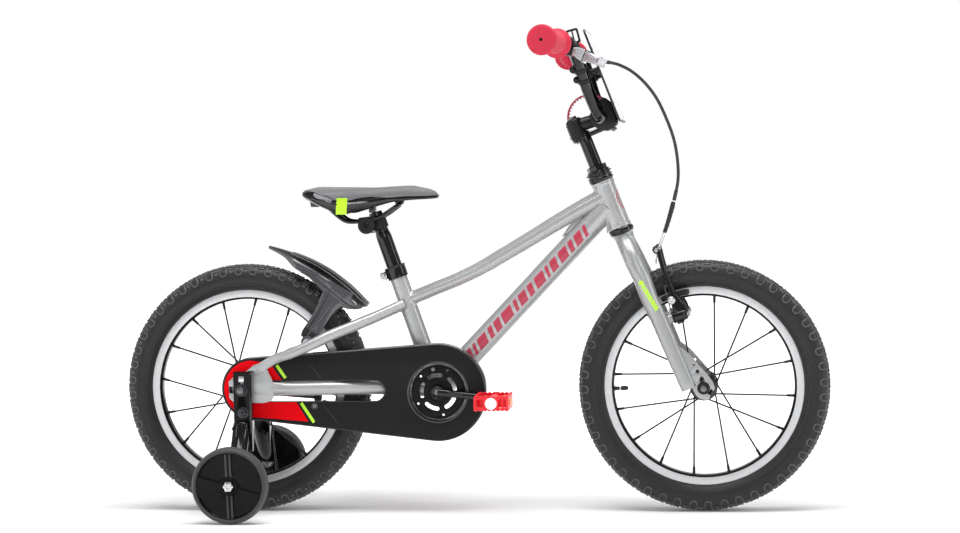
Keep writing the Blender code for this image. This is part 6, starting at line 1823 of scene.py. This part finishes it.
tie = Part("cable_clip", "steering", (), "grip_rubber", 36)
tie.add(box(at_lever(13, -128, -7.5), (10, 7, 5.2), 1.2, lev_rot), "crimson_print")
tie.add(box(at_lever(8, -128, -10), (5, 6, 5), 1.2, lev_rot), "cap_white")
tie.add(lathe(fillet([(9.9, -3), (11.2, -3), (11.2, 3), (9.9, 3)], 0.5, 3), (168.3, -128, 738.6), bar_dir, 44), "satin_black")
tie.make()

# ---- fork: steerer, legs with bosses and dropout plates

STUD = Vector((0.951, 0, 0.309))
crown_mid = head_at(-64)
steerer = Part("fork_steerer_tube", "steering", ("fork_steerer",), "fork_paint", 34)
steerer.add(lathe(fillet([(11.3, -50), (12.7, -50), (12.7, 63), (11.3, 63)], 0.4, 3), HEAD_MID, HEAD_DIR, 48), "dark_steel")
steerer.add(lathe(fillet([(0, -70), (12.0, -70), (15.2, -66), (15.6, -58), (16.6, -52.6), (18.2, -50.0), (11.4, -50.0), (11.4, -60), (0, -60)], 1.0, 3, closed=False), HEAD_MID, HEAD_DIR, 64, closed=False), "fork_paint")
steerer.add(tube([crown_mid + Vector((0, -16, 0)), crown_mid, crown_mid + Vector((0, 16, 0))], 13.9, 44, 0.3), "fork_paint")
steerer.make()

LEG = [(246.9, 12, 431.75, 13.9), (247.3, 20, 430.95, 13.9), (249.4, 29, 426.8, 14.1), (253.6, 37, 417.5, 14.4), (259.5, 43.8, 405, 14.5), (266.8, 48, 389, 14.5), (275, 50, 372, 14.3),
       (286.5, 50.5, 340, 13.8), (297.5, 51, 316.5, 13.2), (320, 53, 262, 12.6), (346.5, 55.5, 200, 12.0)]
LEG_PLATE = [(318, 262), (330, 268), (338, 262.5), (347.6, 254.7), (357, 244), (367.5, 232.1), (377.0, 221), (383.8, 211.5), (386.6, 204.0), (387.2, 199.6), (385.2, 196.6)]
LEG_TAIL = [(379.4, 190.2), (379.0, 183.6), (372.1, 181.8), (364.4, 183.6), (359.2, 187.4), (355.6, 192.8), (350, 205), (338, 217)]
KEY = [(371.0, 209.5), (371.4, 214.2)] + arc2(366.6, 216.6, 3.1, -25, 205, 10) + [(363.0, 213.0), (365.4, 208.6)]


def leg_section(r, z):
    crease = min(1.0, max(0.0, (345 - z) / 70.0))
    out = []
    for k in range(44):
        t = 2 * math.pi * k / 44
        c, s = math.cos(t), math.sin(t)
        n = 2.0 + 0.9 * crease
        q = (abs(c) ** n + abs(s) ** n) ** (-1 / n)
        out.append((r * 0.94 * q * c if crease else r * q * c, r * q * s))
    return out


LEG_TREES = {}
for side, word in ((-1, "right"), (1, "left")):
    rows = dense([(x, side * y, z, r) for x, y, z, r in LEG], 6)
    pts = vecs(rows)
    leg = Part("fork_leg_skin_" + word, "steering", ("fork_leg_" + word,), "fork_paint", 38)
    secs = [leg_section(r[3], r[2]) for r in rows]
    last_t = (pts[-1] - pts[-2]).normalized()
    pts2 = pts[:-1] + [pts[-1] - last_t * 0.8, pts[-1] + last_t * 0.2, pts[-1] + last_t * 0.5]
    secs2 = secs[:-1] + [secs[-1], scaled(secs[-1], 0.97), scaled(secs[-1], 0.86)]
    leg_shape = sweep(pts2, secs2, Y_AXIS)
    LEG_TREES[word] = tree(leg_shape)
    leg.add(leg_shape, "fork_paint")
    plate_outline = fillet(LEG_PLATE, 2.0, 3, closed=False) + arc2(FRONT.x, FRONT.z, 5.1, 55, 235, 16) + fillet(LEG_TAIL, 2.0, 3, closed=False)
    leg.add(outline_plate(plate_outline, [circle2(354.3, 237.7, 2.1, 24), circle2(360.2, 227.4, 2.8, 28), KEY], side * 51, side * 56, 0.7), "fork_paint")
    leg.add(ring((360.2, side * 53.5, 227.4), Y_AXIS, 1.4, 3.0, -2.7, 2.7, 28, 0.3), "satin_black")
    p = Vector((331, side * 42, 314.5))
    leg.add(lathe(fillet([(0, -31), (8.4, -31), (7.6, -28.5), (7.5, -10.5), (7.0, -8.2), (0, -8.0)], 0.8, 3, closed=False), p, STUD, 36, closed=False), "fork_paint")
    leg.add(box(p - STUD * 13.5 + Vector((-1.5, side * 0.5, 8.5)), (6, 8, 6), 1.2, turned(STUD)), "fork_paint")
    boss_rays = [(p - STUD * 9 + Y_AXIS * math.cos(2 * math.pi * k / 32) * 7.5 + STUD.cross(Y_AXIS) * math.sin(2 * math.pi * k / 32) * 7.5, -STUD) for k in range(32)]
    leg.add(weld(boss_rays, LEG_TREES[word], 2.6), "fork_paint")
    leg.make()

lime_marks = Part("fork_leg_dashes", "steering", (), "fork_paint", 40)
for side, word in ((-1, "right"), (1, "left")):
    a, b = Vector((271.6, side * 80, 371.0)), Vector((299.6, side * 80, 322.6))
    d = (b - a)
    length = d.length
    d.normalize()
    nrm = Vector((-d.z, 0, d.x))
    if nrm.x < 0:
        nrm = -nrm
    dot = [a + d * 3.5 + (nrm * math.cos(2 * math.pi * k / 24) + d * math.sin(2 * math.pi * k / 24)) * 4.0 for k in range(24)]
    lime_marks.add(patch_round(LEG_TREES[word], dot, (0, -side, 0), 3, 0.12, 0.2), "lime")
    s = 9.5
    for w, g in ((4.2, 1.1), (2.6, 1.1), (5.2, 1.1), (3.2, 1.1), (4.6, 1.1), (2.6, 1.1), (5.0, 1.1), (3.6, 1.1), (4.4, 1.1)):
        if s + w > length:
            break
        c4 = [a + d * s - nrm * 3.6, a + d * (s + w) - nrm * 3.6, a + d * (s + w - 2.4) + nrm * 3.6, a + d * (s - 2.4) + nrm * 3.6]
        lime_marks.add(patch(LEG_TREES[word], c4, (0, -side, 0), 3, 5, 0.12, 0.2), "lime")
        s += w + g
lime_marks.make()

# ---- linear-pull brake: arms, springs, pads and bolts

ARM_UP = Vector((-0.309, 0, 0.951))
for side, word in ((-1, "right"), (1, "left")):
    out_ = Vector((0, side, 0))
    p = Vector((331, side * 42, 314.5))
    part = Part("v_brake_arm_" + word, "brake_arm_" + word, ("brake_arm_" + word,), "black_alloy", 36)
    part.add(lathe(fillet([(5.0, -7.6), (9.0, -7.6), (9.4, -5.5), (9.4, 8.8), (8.2, 14.0), (5.0, 14.0)], 0.9, 3), p, STUD, 44), "gloss_black")
    rows = dense([(-6, 0.6, 6.0, 9.0, 6.0), (0, 0.6, 6.2, 10.8, 6.0), (13, 0.4, 6.2, 11.0, 5.6), (25, -0.6, 5.8, 8.6, 4.6), (36, -1.8, 5.2, 5.6, 3.0), (48, -3.0, 4.7, 4.4, 1.9), (70, -4.6, 4.1, 3.9, 0.6), (88, -5.8, 4.0, 3.7, 0.9), (104, -6.7, 4.3, 3.9, 2.0), (117, -7.0, 4.4, 3.6, 2.9)], 4)
    pts = [p + ARM_UP * r[0] + out_ * r[1] + STUD * r[4] for r in rows]
    secs = [fillet([(a, b), (-a, b), (-a, -b), (a, -b)], min(a, b) * 0.7, 4) for _, _, a, b, _ in rows]
    part.add(sweep(pts, secs, Y_AXIS), "gloss_black")
    rib = [q + out_ * (r[2] * 0.95) + STUD * (r[3] * 0.45) for q, r in zip(pts[14:-4], rows[14:-4])]
    part.add(tube(rib, 1.1, 10, 0.3), "gloss_black")
    part.add(lathe(fillet([(0, 1.5), (6.2, 1.5), (6.6, 3.4), (6.6, 8.0), (0, 8.0)], 0.8, 3, closed=False), Vector((319.8, side * 40, 339.2)), out_, 36, closed=False), "gloss_black")
    part.add(lathe(fillet([(0, 7.4), (6.1, 7.4), (6.2, 8.6), (4.9, 9.2), (4.6, 10.8), (3.4, 11.2), (2.4, 11.2), (2.2, 9.6), (0, 9.5)], 0.3, 2, closed=False), Vector((319.8, side * 40, 339.2)), out_, 32, closed=False), "silver")
    part.add(tube([Vector((319.8, side * 41, 339.2)), p + ARM_UP * 25 + out_ * 0], [5.6, 5.4], 20, 0.8), "gloss_black")
    spring = [p + ARM_UP * -4 - STUD * 9 + out_ * 2, p + ARM_UP * 14 - STUD * 8.6 + out_ * 3, p + ARM_UP * 34 - STUD * 7.4 + out_ * 1, p + ARM_UP * 52 - STUD * 6.2 - out_ * 1.5, p + ARM_UP * 56 - STUD * 3.0 - out_ * 2]
    part.add(tube(vecs(dense(spring, 6)), 1.0, 10, 0.2), "dark_steel")
    part.add(lathe(fillet([(8.0, -9.6), (10.4, -9.6), (10.4, -7.8), (8.0, -7.8)], 0.4, 2), p, STUD, 40), "cast_black")
    part.add(box(p + ARM_UP * 53 - STUD * 4.4 - out_ * 2, (5.5, 5.5, 7), 1.2, turned(STUD)), "gloss_black")
    part.add(box(p - ARM_UP * 9.5 + STUD * 0.5, (12, 7, 6), 1.5, turned(STUD)), "gloss_black")
    if side < 0:
        top = Vector((297.0, side * 36.5, 419.1))
        part.add(ring(top, Y_AXIS, 3.3, 5.6, -3.4, 3.4, 28, 0.7), "cast_black")
        loop_ = [top + Vector((6.2 * math.cos(t), -1.0, 6.2 * math.sin(t))) for t in [math.radians(a) for a in range(20, 300, 12)]]
        part.add(tube(loop_, 1.0, 10, 0.3), "silver")
        part.add(dome_bolt(top + Vector((4.6, -4.4, 3.0)), (0, -1, 0), 2.4, 1.6), "silver")
    else:
        top = Vector((296.5, side * 38.0, 418.0))
        part.add(hex_bolt(top + out_ * 2, out_, 4.4, 3.4, 1.4), "silver")
    part.make()
    pad = Part("brake_pad_shoe_" + word, "brake_arm_" + word, ("brake_pad_" + word,), "pad_rubber", 34)
    d = Vector((0.958, 0, 0.285))
    pc = Vector((325, side * 19.75, 347))
    prow = []
    for k in range(15):
        f = -1 + 2 * k / 14
        end = 1.0 if abs(f) < 0.9 else 0.72
        bend = 1.8 * f * f
        prow.append((pc + d * 23 * f - Vector((-0.285, 0, 0.958)) * bend, end))
    secs = [fillet([(5.1 * e, 4.5 * e), (-5.1, 4.5 * e), (-5.1, -4.5 * e), (5.1 * e, -4.5 * e)], 1.2, 3) for _, e in prow]
    pad.add(sweep([q for q, _ in prow], secs, out_), "pad_rubber")
    for f in (-0.62, -0.25, 0.25, 0.62):
        q = pc + d * 23 * f + out_ * 5.3
        pad.add(box(q, (2.0, 0.9, 7.6), 0.3, turned(d, Y_AXIS)), "pad_rubber")
    pad.add(rod(Vector((322.5, side * 24.6, 345.6)), Vector((322.5, side * 40, 345.6)), 3.9, 24, 0.4), "dark_steel")
    pad.add(lathe(fillet([(3.6, 25.4), (6.4, 25.4), (6.9, 28.4), (5.6, 31.0), (3.6, 31.0)], 0.6, 3), Vector((322.5, 0, 345.6)), out_, 32), "dark_steel")
    pad.make()
    bolt = Part("brake_pivot_bolt_" + word, "steering", (), "plated_steel", 34)
    bolt.add(rod(p - STUD * 8.2, p + STUD * 15.0, 4.8, 24, 0.3), "dark_steel")
    bolt.add(hex_bolt(p + STUD * 14.3, STUD, 5.2, 3.8, 1.0), "silver")
    bolt.make()

# ---- rear fender: sculpted skirt, black channel, light ridge and two legs

FENDER = [(33.9, 30.5, 240.5, 229), (35.2, 31.5, 240, 220), (37.8, 32.5, 239.2, 210), (41.5, 33, 238, 205.5), (47, 33, 236.3, 203), (53, 32.7, 234.8, 203.5), (59.7, 31, 233.3, 208.5),
          (67.4, 26.5, 232.2, 211.5), (72.5, 19, 231.8, 220), (77, 12.5, 232.3, 224.8), (80.9, 6.5, 233, 228.5)]
fender_rows = dense(FENDER, 6)
fender = Part("fender_shell", "frame", ("rear_fender",), "fender_plastic", 34)


def fender_at(ang, y, r):
    a = math.radians(ang)
    return REAR + Vector((math.cos(a) * r, y, math.sin(a) * r))


def fender_line(w, rt, rs, t):
    """Half section from the skirt edge to the ridge as (y, radius)."""
    h = rt - rs
    base_ = [(1.0 * w, rs), (1.0 * w, rs + 0.22 * h), (0.955 * w, rs + 0.46 * h), (0.84 * w, rs + 0.60 * h), (0.62 * w, rs + 0.76 * h), (0.46 * w, rs + 0.86 * h), (0.30 * w, rs + 0.95 * h), (0.0, rt)]
    return [(a, b - t) if t == 0 else (max(a - t * 0.8, 0.0) if a > 0 else 0.0, b - t * (0.25 if k < 2 else 0.9)) for k, (a, b) in enumerate(base_)]


outer_lines, inner_lines = [], []
for ang, w, rt, rs in fender_rows:
    o = fender_line(w, rt, rs, 0)
    i_ = fender_line(w, rt, rs, 2.0)
    outer_lines.append([(-a, b) for a, b in o] + [(a, b) for a, b in reversed(o[:-1])])
    inner_lines.append([(-a, b) for a, b in i_] + [(a, b) for a, b in reversed(i_[:-1])])
n_sec = len(outer_lines[0])
fv, ff, fw = [], [], []
for k, (ang, w, rt, rs) in enumerate(fender_rows):
    fv.extend(fender_at(ang, y, r) for y, r in outer_lines[k])
    fv.extend(fender_at(ang, y, r) for y, r in inner_lines[k])
N2 = 2 * n_sec
m = len(fender_rows)
BAND = {0: "fender_grey", 1: "fender_grey", 2: "fender_grey", 3: "fender_black", 4: "fender_black", 5: "fender_black", 6: "fender_light"}
groups = {}


def put_face(q, name):
    groups.setdefault(name, []).append(q)


for k in range(m - 1):
    a, b = k * N2, (k + 1) * N2
    for j in range(n_sec - 1):
        band = j if j < 7 else 13 - j
        tone_ = BAND.get(band, "fender_grey")
        if tone_ == "fender_light" and fender_rows[k][0] < 57:
            tone_ = "fender_black"
        put_face((a + j, a + j + 1, b + j + 1, b + j), tone_)
        put_face((a + n_sec + j + 1, a + n_sec + j, b + n_sec + j, b + n_sec + j + 1), "fender_black")
    for j in (0, n_sec - 1):
        put_face((a + j, b + j, b + n_sec + j, a + n_sec + j), "fender_grey")
for a in (0, (m - 1) * N2):
    for j in range(n_sec - 1):
        put_face((a + j, a + j + 1, a + n_sec + j + 1, a + n_sec + j), "fender_black")
n0 = len(fender.verts)
fender.verts.extend((p[0] * MM, p[1] * MM, p[2] * MM) for p in fv)
for name, quads in groups.items():
    fender.mats.append(name)
    k = fender.mats.index(name)
    fender.faces.extend(quads)
    fender.which.extend([k] * len(quads))
FENDER_TREE = tree((fv, [q for g in groups.values() for q in g]))
for f, drop in ((-0.30, 0.95), (0.30, 0.95), (-0.52, 0.83), (0.52, 0.83), (-0.14, 0.98), (0.14, 0.98)):
    line = [fender_at(r[0], f * r[1], r[3] + (r[2] - r[3]) * drop + 0.15) for r in fender_rows[2:-14]]
    fender.add(tube(line, 0.75, 8, 0.2), "fender_light")
for s in (-1, 1):
    for f, drop in ((0.975, 0.10), (0.965, 0.34)):
        line = [fender_at(r[0], s * (f * r[1] + 0.9), r[3] + (r[2] - r[3]) * drop + (2.5 if drop < 0.2 else 0.0) * math.sin((r[0] - 34) * 0.15)) for r in fender_rows[5:40]]
        fender.add(tube(line, 1.25, 10, 0.3), "fender_grey")
LEGS = [(-212, 28.0, 364, 24), (-217, 29.6, 355, 23), (-226, 31.4, 344, 19), (-236, 33.0, 329.5, 14.5), (-248, 36, 310, 13), (-258, 40.2, 296, 12.5), (-264, 42.2, 287, 12), (-268, 43.2, 281.5, 9.5)]
leg_rows = dense(LEGS, 6)
for s in (-1, 1):
    pts = [Vector((r[0], s * r[1], r[2])) for r in leg_rows]
    fr = frames(pts, Y_AXIS)
    rings_ = []
    for k, (p, r) in enumerate(zip(pts, leg_rows)):
        side_v, up_v = fr[k]
        w = r[3]
        line = fillet([(1.9, -w), (2.7, -w * 0.45), (3.2, 0), (2.7, w * 0.45), (1.9, w), (-1.3, w), (-1.3, -w)], 1.0, 2)
        rings_.append([p + side_v * (a * s) + up_v * b for a, b in line])
    fender.add(skin(rings_[:-11]), "fender_grey")
    fender.add(skin(rings_[-12:]), "fender_black")
    rib = [p + Vector((0, s * 3.0, 0)) + fr[k][1] * (leg_rows[k][3] * 0.42 * math.cos(k * 0.05)) for k, p in enumerate(pts[4:-6], 4)]
    fender.add(tube(rib, 1.2, 10, 0.3), "fender_grey")
    rib = [p + Vector((0, s * 3.0, 0)) - fr[k][1] * (leg_rows[k][3] * 0.5) for k, p in enumerate(pts[6:-6], 6)]
    fender.add(tube(rib, 1.0, 10, 0.3), "fender_black")
    foot = Vector((-265.5, 0, 276.5))
    fender.add(lathe(fillet([(0, 41.0), (9.8, 41.0), (10.4, 43), (9.4, 46.6), (0, 46.6)], 0.8, 3, closed=False), foot, Vector((0, s, 0)), 36, closed=False), "fender_grey")
    fender.add(hex_bolt(foot + Vector((0, s * 46.2, 0)), Vector((0, s, 0)), 4.6, 3.2, 0.9), "silver")
fender.make()

# ---- stabiliser brackets and wheels

for side, word in ((-1, "right"), (1, "left")):
    out_ = Vector((0, side, 0))
    br = Part("stabiliser_arm_" + word, "frame", ("stabiliser_bracket_" + word,), "black_steel", 34)
    line = fillet([(-383, 231), (-350.6, 231), (-350.6, 122), (-356, 118), (-379, 130), (-383, 146)], 2.0, 4)
    slot_hole = fillet([(-372.6, 222), (-366.4, 222), (-366.4, 194), (-372.6, 194)], 3.0, 4)
    br.add(outline_plate(line, [slot_hole], side * 61.4, side * 65.4, 0.7), "bracket_black")
    flange_yz = [(61.6, 231), (79, 228), (79, 106), (76, 103), (61.6, 103)]
    v_, f_ = outline_plate([(a, b) for a, b in fillet(flange_yz, 2.0, 4)], [], -1.9, 1.9, 0.6, map_point=lambda a, b, c: Vector((-352.4 + c, side * a, b)))
    br.add((v_, f_), "gloss_black")
    ARM = [(-368.8, 72.6, 150.5), (-368.8, 73.2, 146), (-368.8, 76, 138), (-369, 88, 117), (-369.2, 116, 84), (-369.5, 147, 63.3)]
    arm_rows = dense([(x, side * y, z, r) for (x, y, z), r in zip(ARM, (12.8, 13.6, 14.0, 14.0, 13.5, 12.5))], 6)
    br.add(tube(vecs(arm_rows), [r[3] for r in arm_rows], 36, 1.6), "gloss_black")
    for s in (-1, 1):
        ridge = [Vector((r[0] + s * r[3] * 0.72, r[1] + side * r[3] * 0.70, r[2] + r[3] * 0.1)) for r in arm_rows[3:-3]]
        br.add(tube(ridge, 1.0, 10, 0.3), "gloss_black")
    br.add(lathe(fillet([(0, 134), (12.8, 134), (13.0, 147.5), (5.6, 149.2), (0, 149.2)], 1.0, 3, closed=False), Vector((-369.5, 0, 60.3)), out_, 40, closed=False), "gloss_black")
    br.add(rod(Vector((-369.5, side * 136, 60.3)), Vector((-369.5, side * 177, 60.3)), 5.0, 24, 0.4), "dark_steel")
    lob = []
    for k in range(48):
        t = 2 * math.pi * k / 48
        r = 8.3 + 0.7 * math.cos(6 * t)
        lob.append((r * math.cos(t), r * math.sin(t)))
    wc = Vector((-369.5, 0, 60.3))
    br.add(stack([(scaled(lob, 0.96), 176.2), (lob, 176.8), (lob, 179.6), (scaled(lob, 0.9), 180.9), (scaled(lob, 0.55), 181.4), (scaled(lob, 0.42), 181.4), (scaled(lob, 0.36), 178.6)], wc, out_), "silver")
    br.add(box((-369.5, side * 66.4, 219), (8.6, 2.4, 9.5), 0.7), "silver")
    br.add(hex_bolt(Vector((-367.7, side * 65.3, 164.4)), out_, 7.2, 5.2, 1.2), "gun_metal")
    br.add(disc(Vector((-367.7, side * 65.3, 164.4)), out_, 3.4, 5.0, 8.6, 24, 0.5), "gloss_black")
    br.add(hex_bolt(Vector((-369.5, side * 134.4, 60.3)), -out_, 7.4, 4.6, 1.2), "silver")
    rim_arc = [Vector((-368.8 + 12.6 * math.cos(math.radians(a)), side * 86.2, 139 + 10.5 * math.sin(math.radians(a)))) for a in range(0, 181, 10)]
    br.add(tube(rim_arc, 0.9, 8, 0.2), "gloss_black")
    br.make()

    wh = Part("stabiliser_wheel_" + word + "_disc", "stabiliser_wheel_" + word, ("stabiliser_wheel_" + word,), "stabiliser_wheel", 30)
    c = Vector((-369.5, side * 163, 60.3))
    tread_prof = fillet([(52.6, -11.4), (53.6, -12.6), (55.6, -13.2), (57.9, -11.8), (59.7, -7.5), (60.2, 0), (59.7, 7.5), (57.9, 11.8), (55.6, 13.2), (53.6, 12.6), (52.6, 11.4)], 1.2, 3)
    wh.add(lathe(tread_prof, c, out_, 120), "wheel_rubber")
    for yy in (-6, -2, 2, 6):
        wh.add(lathe([(59.4, yy - 0.6), (60.35, yy), (59.4, yy + 0.6)], c, out_, 96), "wheel_rubber")
    marks_deg = [92, 56, 20, -16, -52, -88, -124, -160, -196, -232, -268]
    wedge = []
    for k in range(10):
        a0, a1 = marks_deg[k], marks_deg[k + 1]
        hgt = 1.9 if k % 2 else -1.6
        for f in (0.0, 0.035, 0.5, 0.965):
            wedge.append((a0 + (a1 - a0) * f, hgt if 0.03 < f < 0.97 else 0.0))
    for face in (1, -1):
        rr = [13.2, 14.6, 17, 30, 42, 50.4, 51.6, 53.2]
        rings_ = []
        for r in rr:
            amp = 0.0 if r < 14.7 or r > 51 else 1.0
            row = []
            for deg, hgt in wedge:
                t = math.radians(deg)
                y = (8.3 if 14.7 < r < 51 else (9.6 if r <= 14.7 else 11.0)) + hgt * amp
                row.append(c + out_ * (face * y) + Vector((math.cos(t) * r, 0, math.sin(t) * r)))
            rings_.append(row)
        low = [[p - out_ * (face * 6.0) for p in row] for row in rings_]
        wh.add(skin(rings_ + low[::-1], loop=True), "wheel_black")
        wh.add(ring(c, out_ * face, 51.0, 53.0, 9.2, 11.6, 96, 0.5), "wheel_black")
        for deg in marks_deg[:10]:
            t = math.radians(deg)
            rad_v = Vector((math.cos(t), 0, math.sin(t)))
            wh.add(box(c + out_ * (face * 9.4) + rad_v * 32.5, (36, 1.5, 2.6), 0.4, turned(rad_v)), "wheel_black")
        for deg in (92, -88):
            for off in (-3.3, 3.3):
                t = math.radians(deg)
                rad_v = Vector((math.cos(t), 0, math.sin(t)))
                tan_v = Vector((-math.sin(t), 0, math.cos(t)))
                wh.add(box(c + out_ * (face * 10.1) + rad_v * 32.5 + tan_v * off, (36, 2.4, 3.0), 0.8, turned(rad_v)), "wheel_rubber")
    wh.add(lathe(fillet([(5.4, -13.2), (13.4, -13.2), (14.4, -9.0), (14.4, 9.0), (13.4, 12.6), (10.4, 13.2), (9.8, 11.6), (5.4, 11.6)], 0.8, 3), c, out_, 56), "wheel_black")
    wh.make()

# ---------------------------------------------------------------- what CAD already shapes well keeps its own mesh

CARRIED = {
    "head_tube": "frame_paint", "top_tube": "frame_paint", "down_tube": "frame_paint", "seat_tube": "frame_paint", "bb_shell": "frame_paint",
    "chainstay_right": "frame_paint", "chainstay_left": "frame_paint", "seatstay_right": "frame_paint", "seatstay_left": "frame_paint",
    "seat_clamp": "gloss_black", "headset_lower_cup": "gloss_black", "headset_upper_cup": "gloss_black", "bottom_bracket": "dark_steel",
    "chain_guard": "guard_black", "chain": "dark_steel", "rear_axle": "dark_steel", "rear_fender": "fender_grey",
    "stabiliser_bracket_right": "gloss_black", "stabiliser_bracket_left": "gloss_black", "coaster_brake_arm": "dark_steel",
    "seatpost": "gloss_black", "saddle_clamp": "cast_black", "saddle_rails": "gloss_black", "saddle_base": "saddle_black", "saddle_cover": "saddle_top",
    "fork_steerer": "fork_paint", "fork_leg_right": "fork_paint", "fork_leg_left": "fork_paint", "front_axle": "dark_steel",
    "headset_locknut": "gloss_black", "stem": "gloss_black", "handlebar": "gloss_black", "grip_right": "grip_red", "grip_left": "grip_red",
    "brake_lever_housing": "cast_black", "brake_lever": "lever_silver", "brake_cable": "cable_black", "cable_noodle": "silver",
    "number_plate": "plate_white", "brake_arm_right": "gloss_black", "brake_arm_left": "gloss_black", "brake_pad_right": "pad_rubber",
    "brake_pad_left": "pad_rubber", "front_tyre": "tyre_rubber", "front_rim": "track_front", "front_spokes": "spoke_black", "front_hub": "gloss_black",
    "rear_tyre": "tyre_rubber", "rear_rim": "track_rear", "rear_spokes": "spoke_black", "rear_hub": "gloss_black", "rear_sprocket": "dark_steel",
    "crank_spindle": "dark_steel", "crank_right": "gloss_black", "crank_left": "gloss_black", "chainring": "dark_steel",
    "pedal_right": "pedal_red", "pedal_left": "pedal_red", "stabiliser_wheel_right": "wheel_black", "stabiliser_wheel_left": "wheel_black",
}
for node_name, material_name in CARRIED.items():
    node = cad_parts.get(node_name)
    if node is None:
        continue
    if not node.data.materials:
        node.data.materials.append(mat(material_name))
    for k in range(len(node.data.materials)):
        node.data.materials[k] = mat(material_name)

# ---------------------------------------------------------------- floor, light and camera

floor_mesh = bpy.data.meshes.new("floor")
floor_mesh.from_pydata([(-9, -6, -0.0004), (9, -6, -0.0004), (9, 9, -0.0004), (-9, 9, -0.0004)], [], [(0, 1, 2, 3)])
floor = bpy.data.objects.new("floor", floor_mesh)
bpy.context.scene.collection.objects.link(floor)
fm = Nodes("floor_pale")
fm.set(Specular_IOR_Level=0.15, Roughness=0.9)
fm.bsdf.inputs["Emission Color"].default_value = (1, 1, 1, 1)
fm.link(fm.mix(fm.span(fm.noise(1.2, 3.0), 0.0, 1.0), (0.90, 0.90, 0.90, 1), (0.93, 0.93, 0.93, 1)), fm.bsdf.inputs["Base Color"])
sep = fm.t.nodes.new("ShaderNodeSeparateXYZ")
fm.link(fm.mapped(loc=(0, 0, 0)), sep.inputs[0])
reach = fm.math("SQRT", fm.math("ADD", fm.math("MULTIPLY", fm.math("MULTIPLY", sep.outputs[0], 0.62), fm.math("MULTIPLY", sep.outputs[0], 0.62)), fm.math("MULTIPLY", sep.outputs[1], sep.outputs[1])))
fm.link(fm.span(reach, 0.04, 1.1, 0.45, 1.9), fm.bsdf.inputs["Emission Strength"])
floor_mesh.materials.append(fm.mat)


def area(name, loc, target, sx, sy, power, colour=(1, 1, 1)):
    li = bpy.data.lights.new(name, "AREA")
    li.shape = "RECTANGLE"
    li.size, li.size_y, li.energy, li.color = sx, sy, power, colour
    ob = bpy.data.objects.new(name, li)
    bpy.context.scene.collection.objects.link(ob)
    ob.location = loc
    ob.rotation_euler = (Vector(target) - Vector(loc)).to_track_quat("-Z", "Y").to_euler()
    return ob


area("top_box", (0.1, -0.4, 2.4), (0.0, 0.0, 0.3), 2.4, 1.2, 62)
area("key_box", (0.9, -2.9, 1.7), (0.1, 0.0, 0.45), 1.0, 1.2, 9)
area("front_strip", (2.9, -0.6, 1.15), (0.0, 0.0, 0.45), 0.4, 2.4, 17)
area("rear_strip", (-2.9, -1.1, 1.15), (0.0, 0.0, 0.45), 0.3, 2.4, 11)
area("fill_box", (-2.4, -2.6, 1.5), (0.0, 0.0, 0.35), 1.2, 1.2, 8)
area("back_box", (0.0, 2.6, 1.5), (0.0, 0.0, 0.4), 3.0, 1.6, 12)

world = bpy.data.worlds.new("studio")
bpy.context.scene.world = world
world.use_nodes = True
wt = world.node_tree
wt.nodes.clear()
w_out = wt.nodes.new("ShaderNodeOutputWorld")
w_mix = wt.nodes.new("ShaderNodeMixShader")
w_path = wt.nodes.new("ShaderNodeLightPath")
w_soft = wt.nodes.new("ShaderNodeBackground")
w_seen = wt.nodes.new("ShaderNodeBackground")
w_soft.inputs[0].default_value = (1, 1, 1, 1)
w_soft.inputs[1].default_value = 0.36
w_seen.inputs[0].default_value = (1, 1, 1, 1)
w_seen.inputs[1].default_value = 1.0
wt.links.new(w_path.outputs["Is Camera Ray"], w_mix.inputs[0])
wt.links.new(w_soft.outputs[0], w_mix.inputs[1])
wt.links.new(w_seen.outputs[0], w_mix.inputs[2])
wt.links.new(w_mix.outputs[0], w_out.inputs[0])

th, pitch, roll, dist = 0.1103, 0.0409, -0.0136, 3836.5
look = Vector((11.336, 0.0, 393.856))
back = Vector((math.sin(th) * math.cos(pitch), -math.cos(th) * math.cos(pitch), math.sin(pitch)))
right = Vector((math.cos(th), math.sin(th), 0.0))
up = Vector((back.y * right.z - back.z * right.y, back.z * right.x - back.x * right.z, back.x * right.y - back.y * right.x))
r2 = right * math.cos(roll) + up * math.sin(roll)
u2 = up * math.cos(roll) - right * math.sin(roll)
eye = (look + back * dist) * MM
cam_data = bpy.data.cameras.new("view")
cam_data.lens = 89.19
cam_data.sensor_width = 36.0
cam_data.sensor_fit = "HORIZONTAL"
cam_data.clip_end = 60.0
cam = bpy.data.objects.new("view", cam_data)
bpy.context.scene.collection.objects.link(cam)
cam.matrix_world = Matrix(((r2.x, u2.x, back.x, eye.x), (r2.y, u2.y, back.y, eye.y), (r2.z, u2.z, back.z, eye.z), (0, 0, 0, 1)))
bpy.context.scene.camera = cam
bpy.context.scene.view_settings.view_transform = "Standard"
bpy.context.scene.view_settings.look = "None"
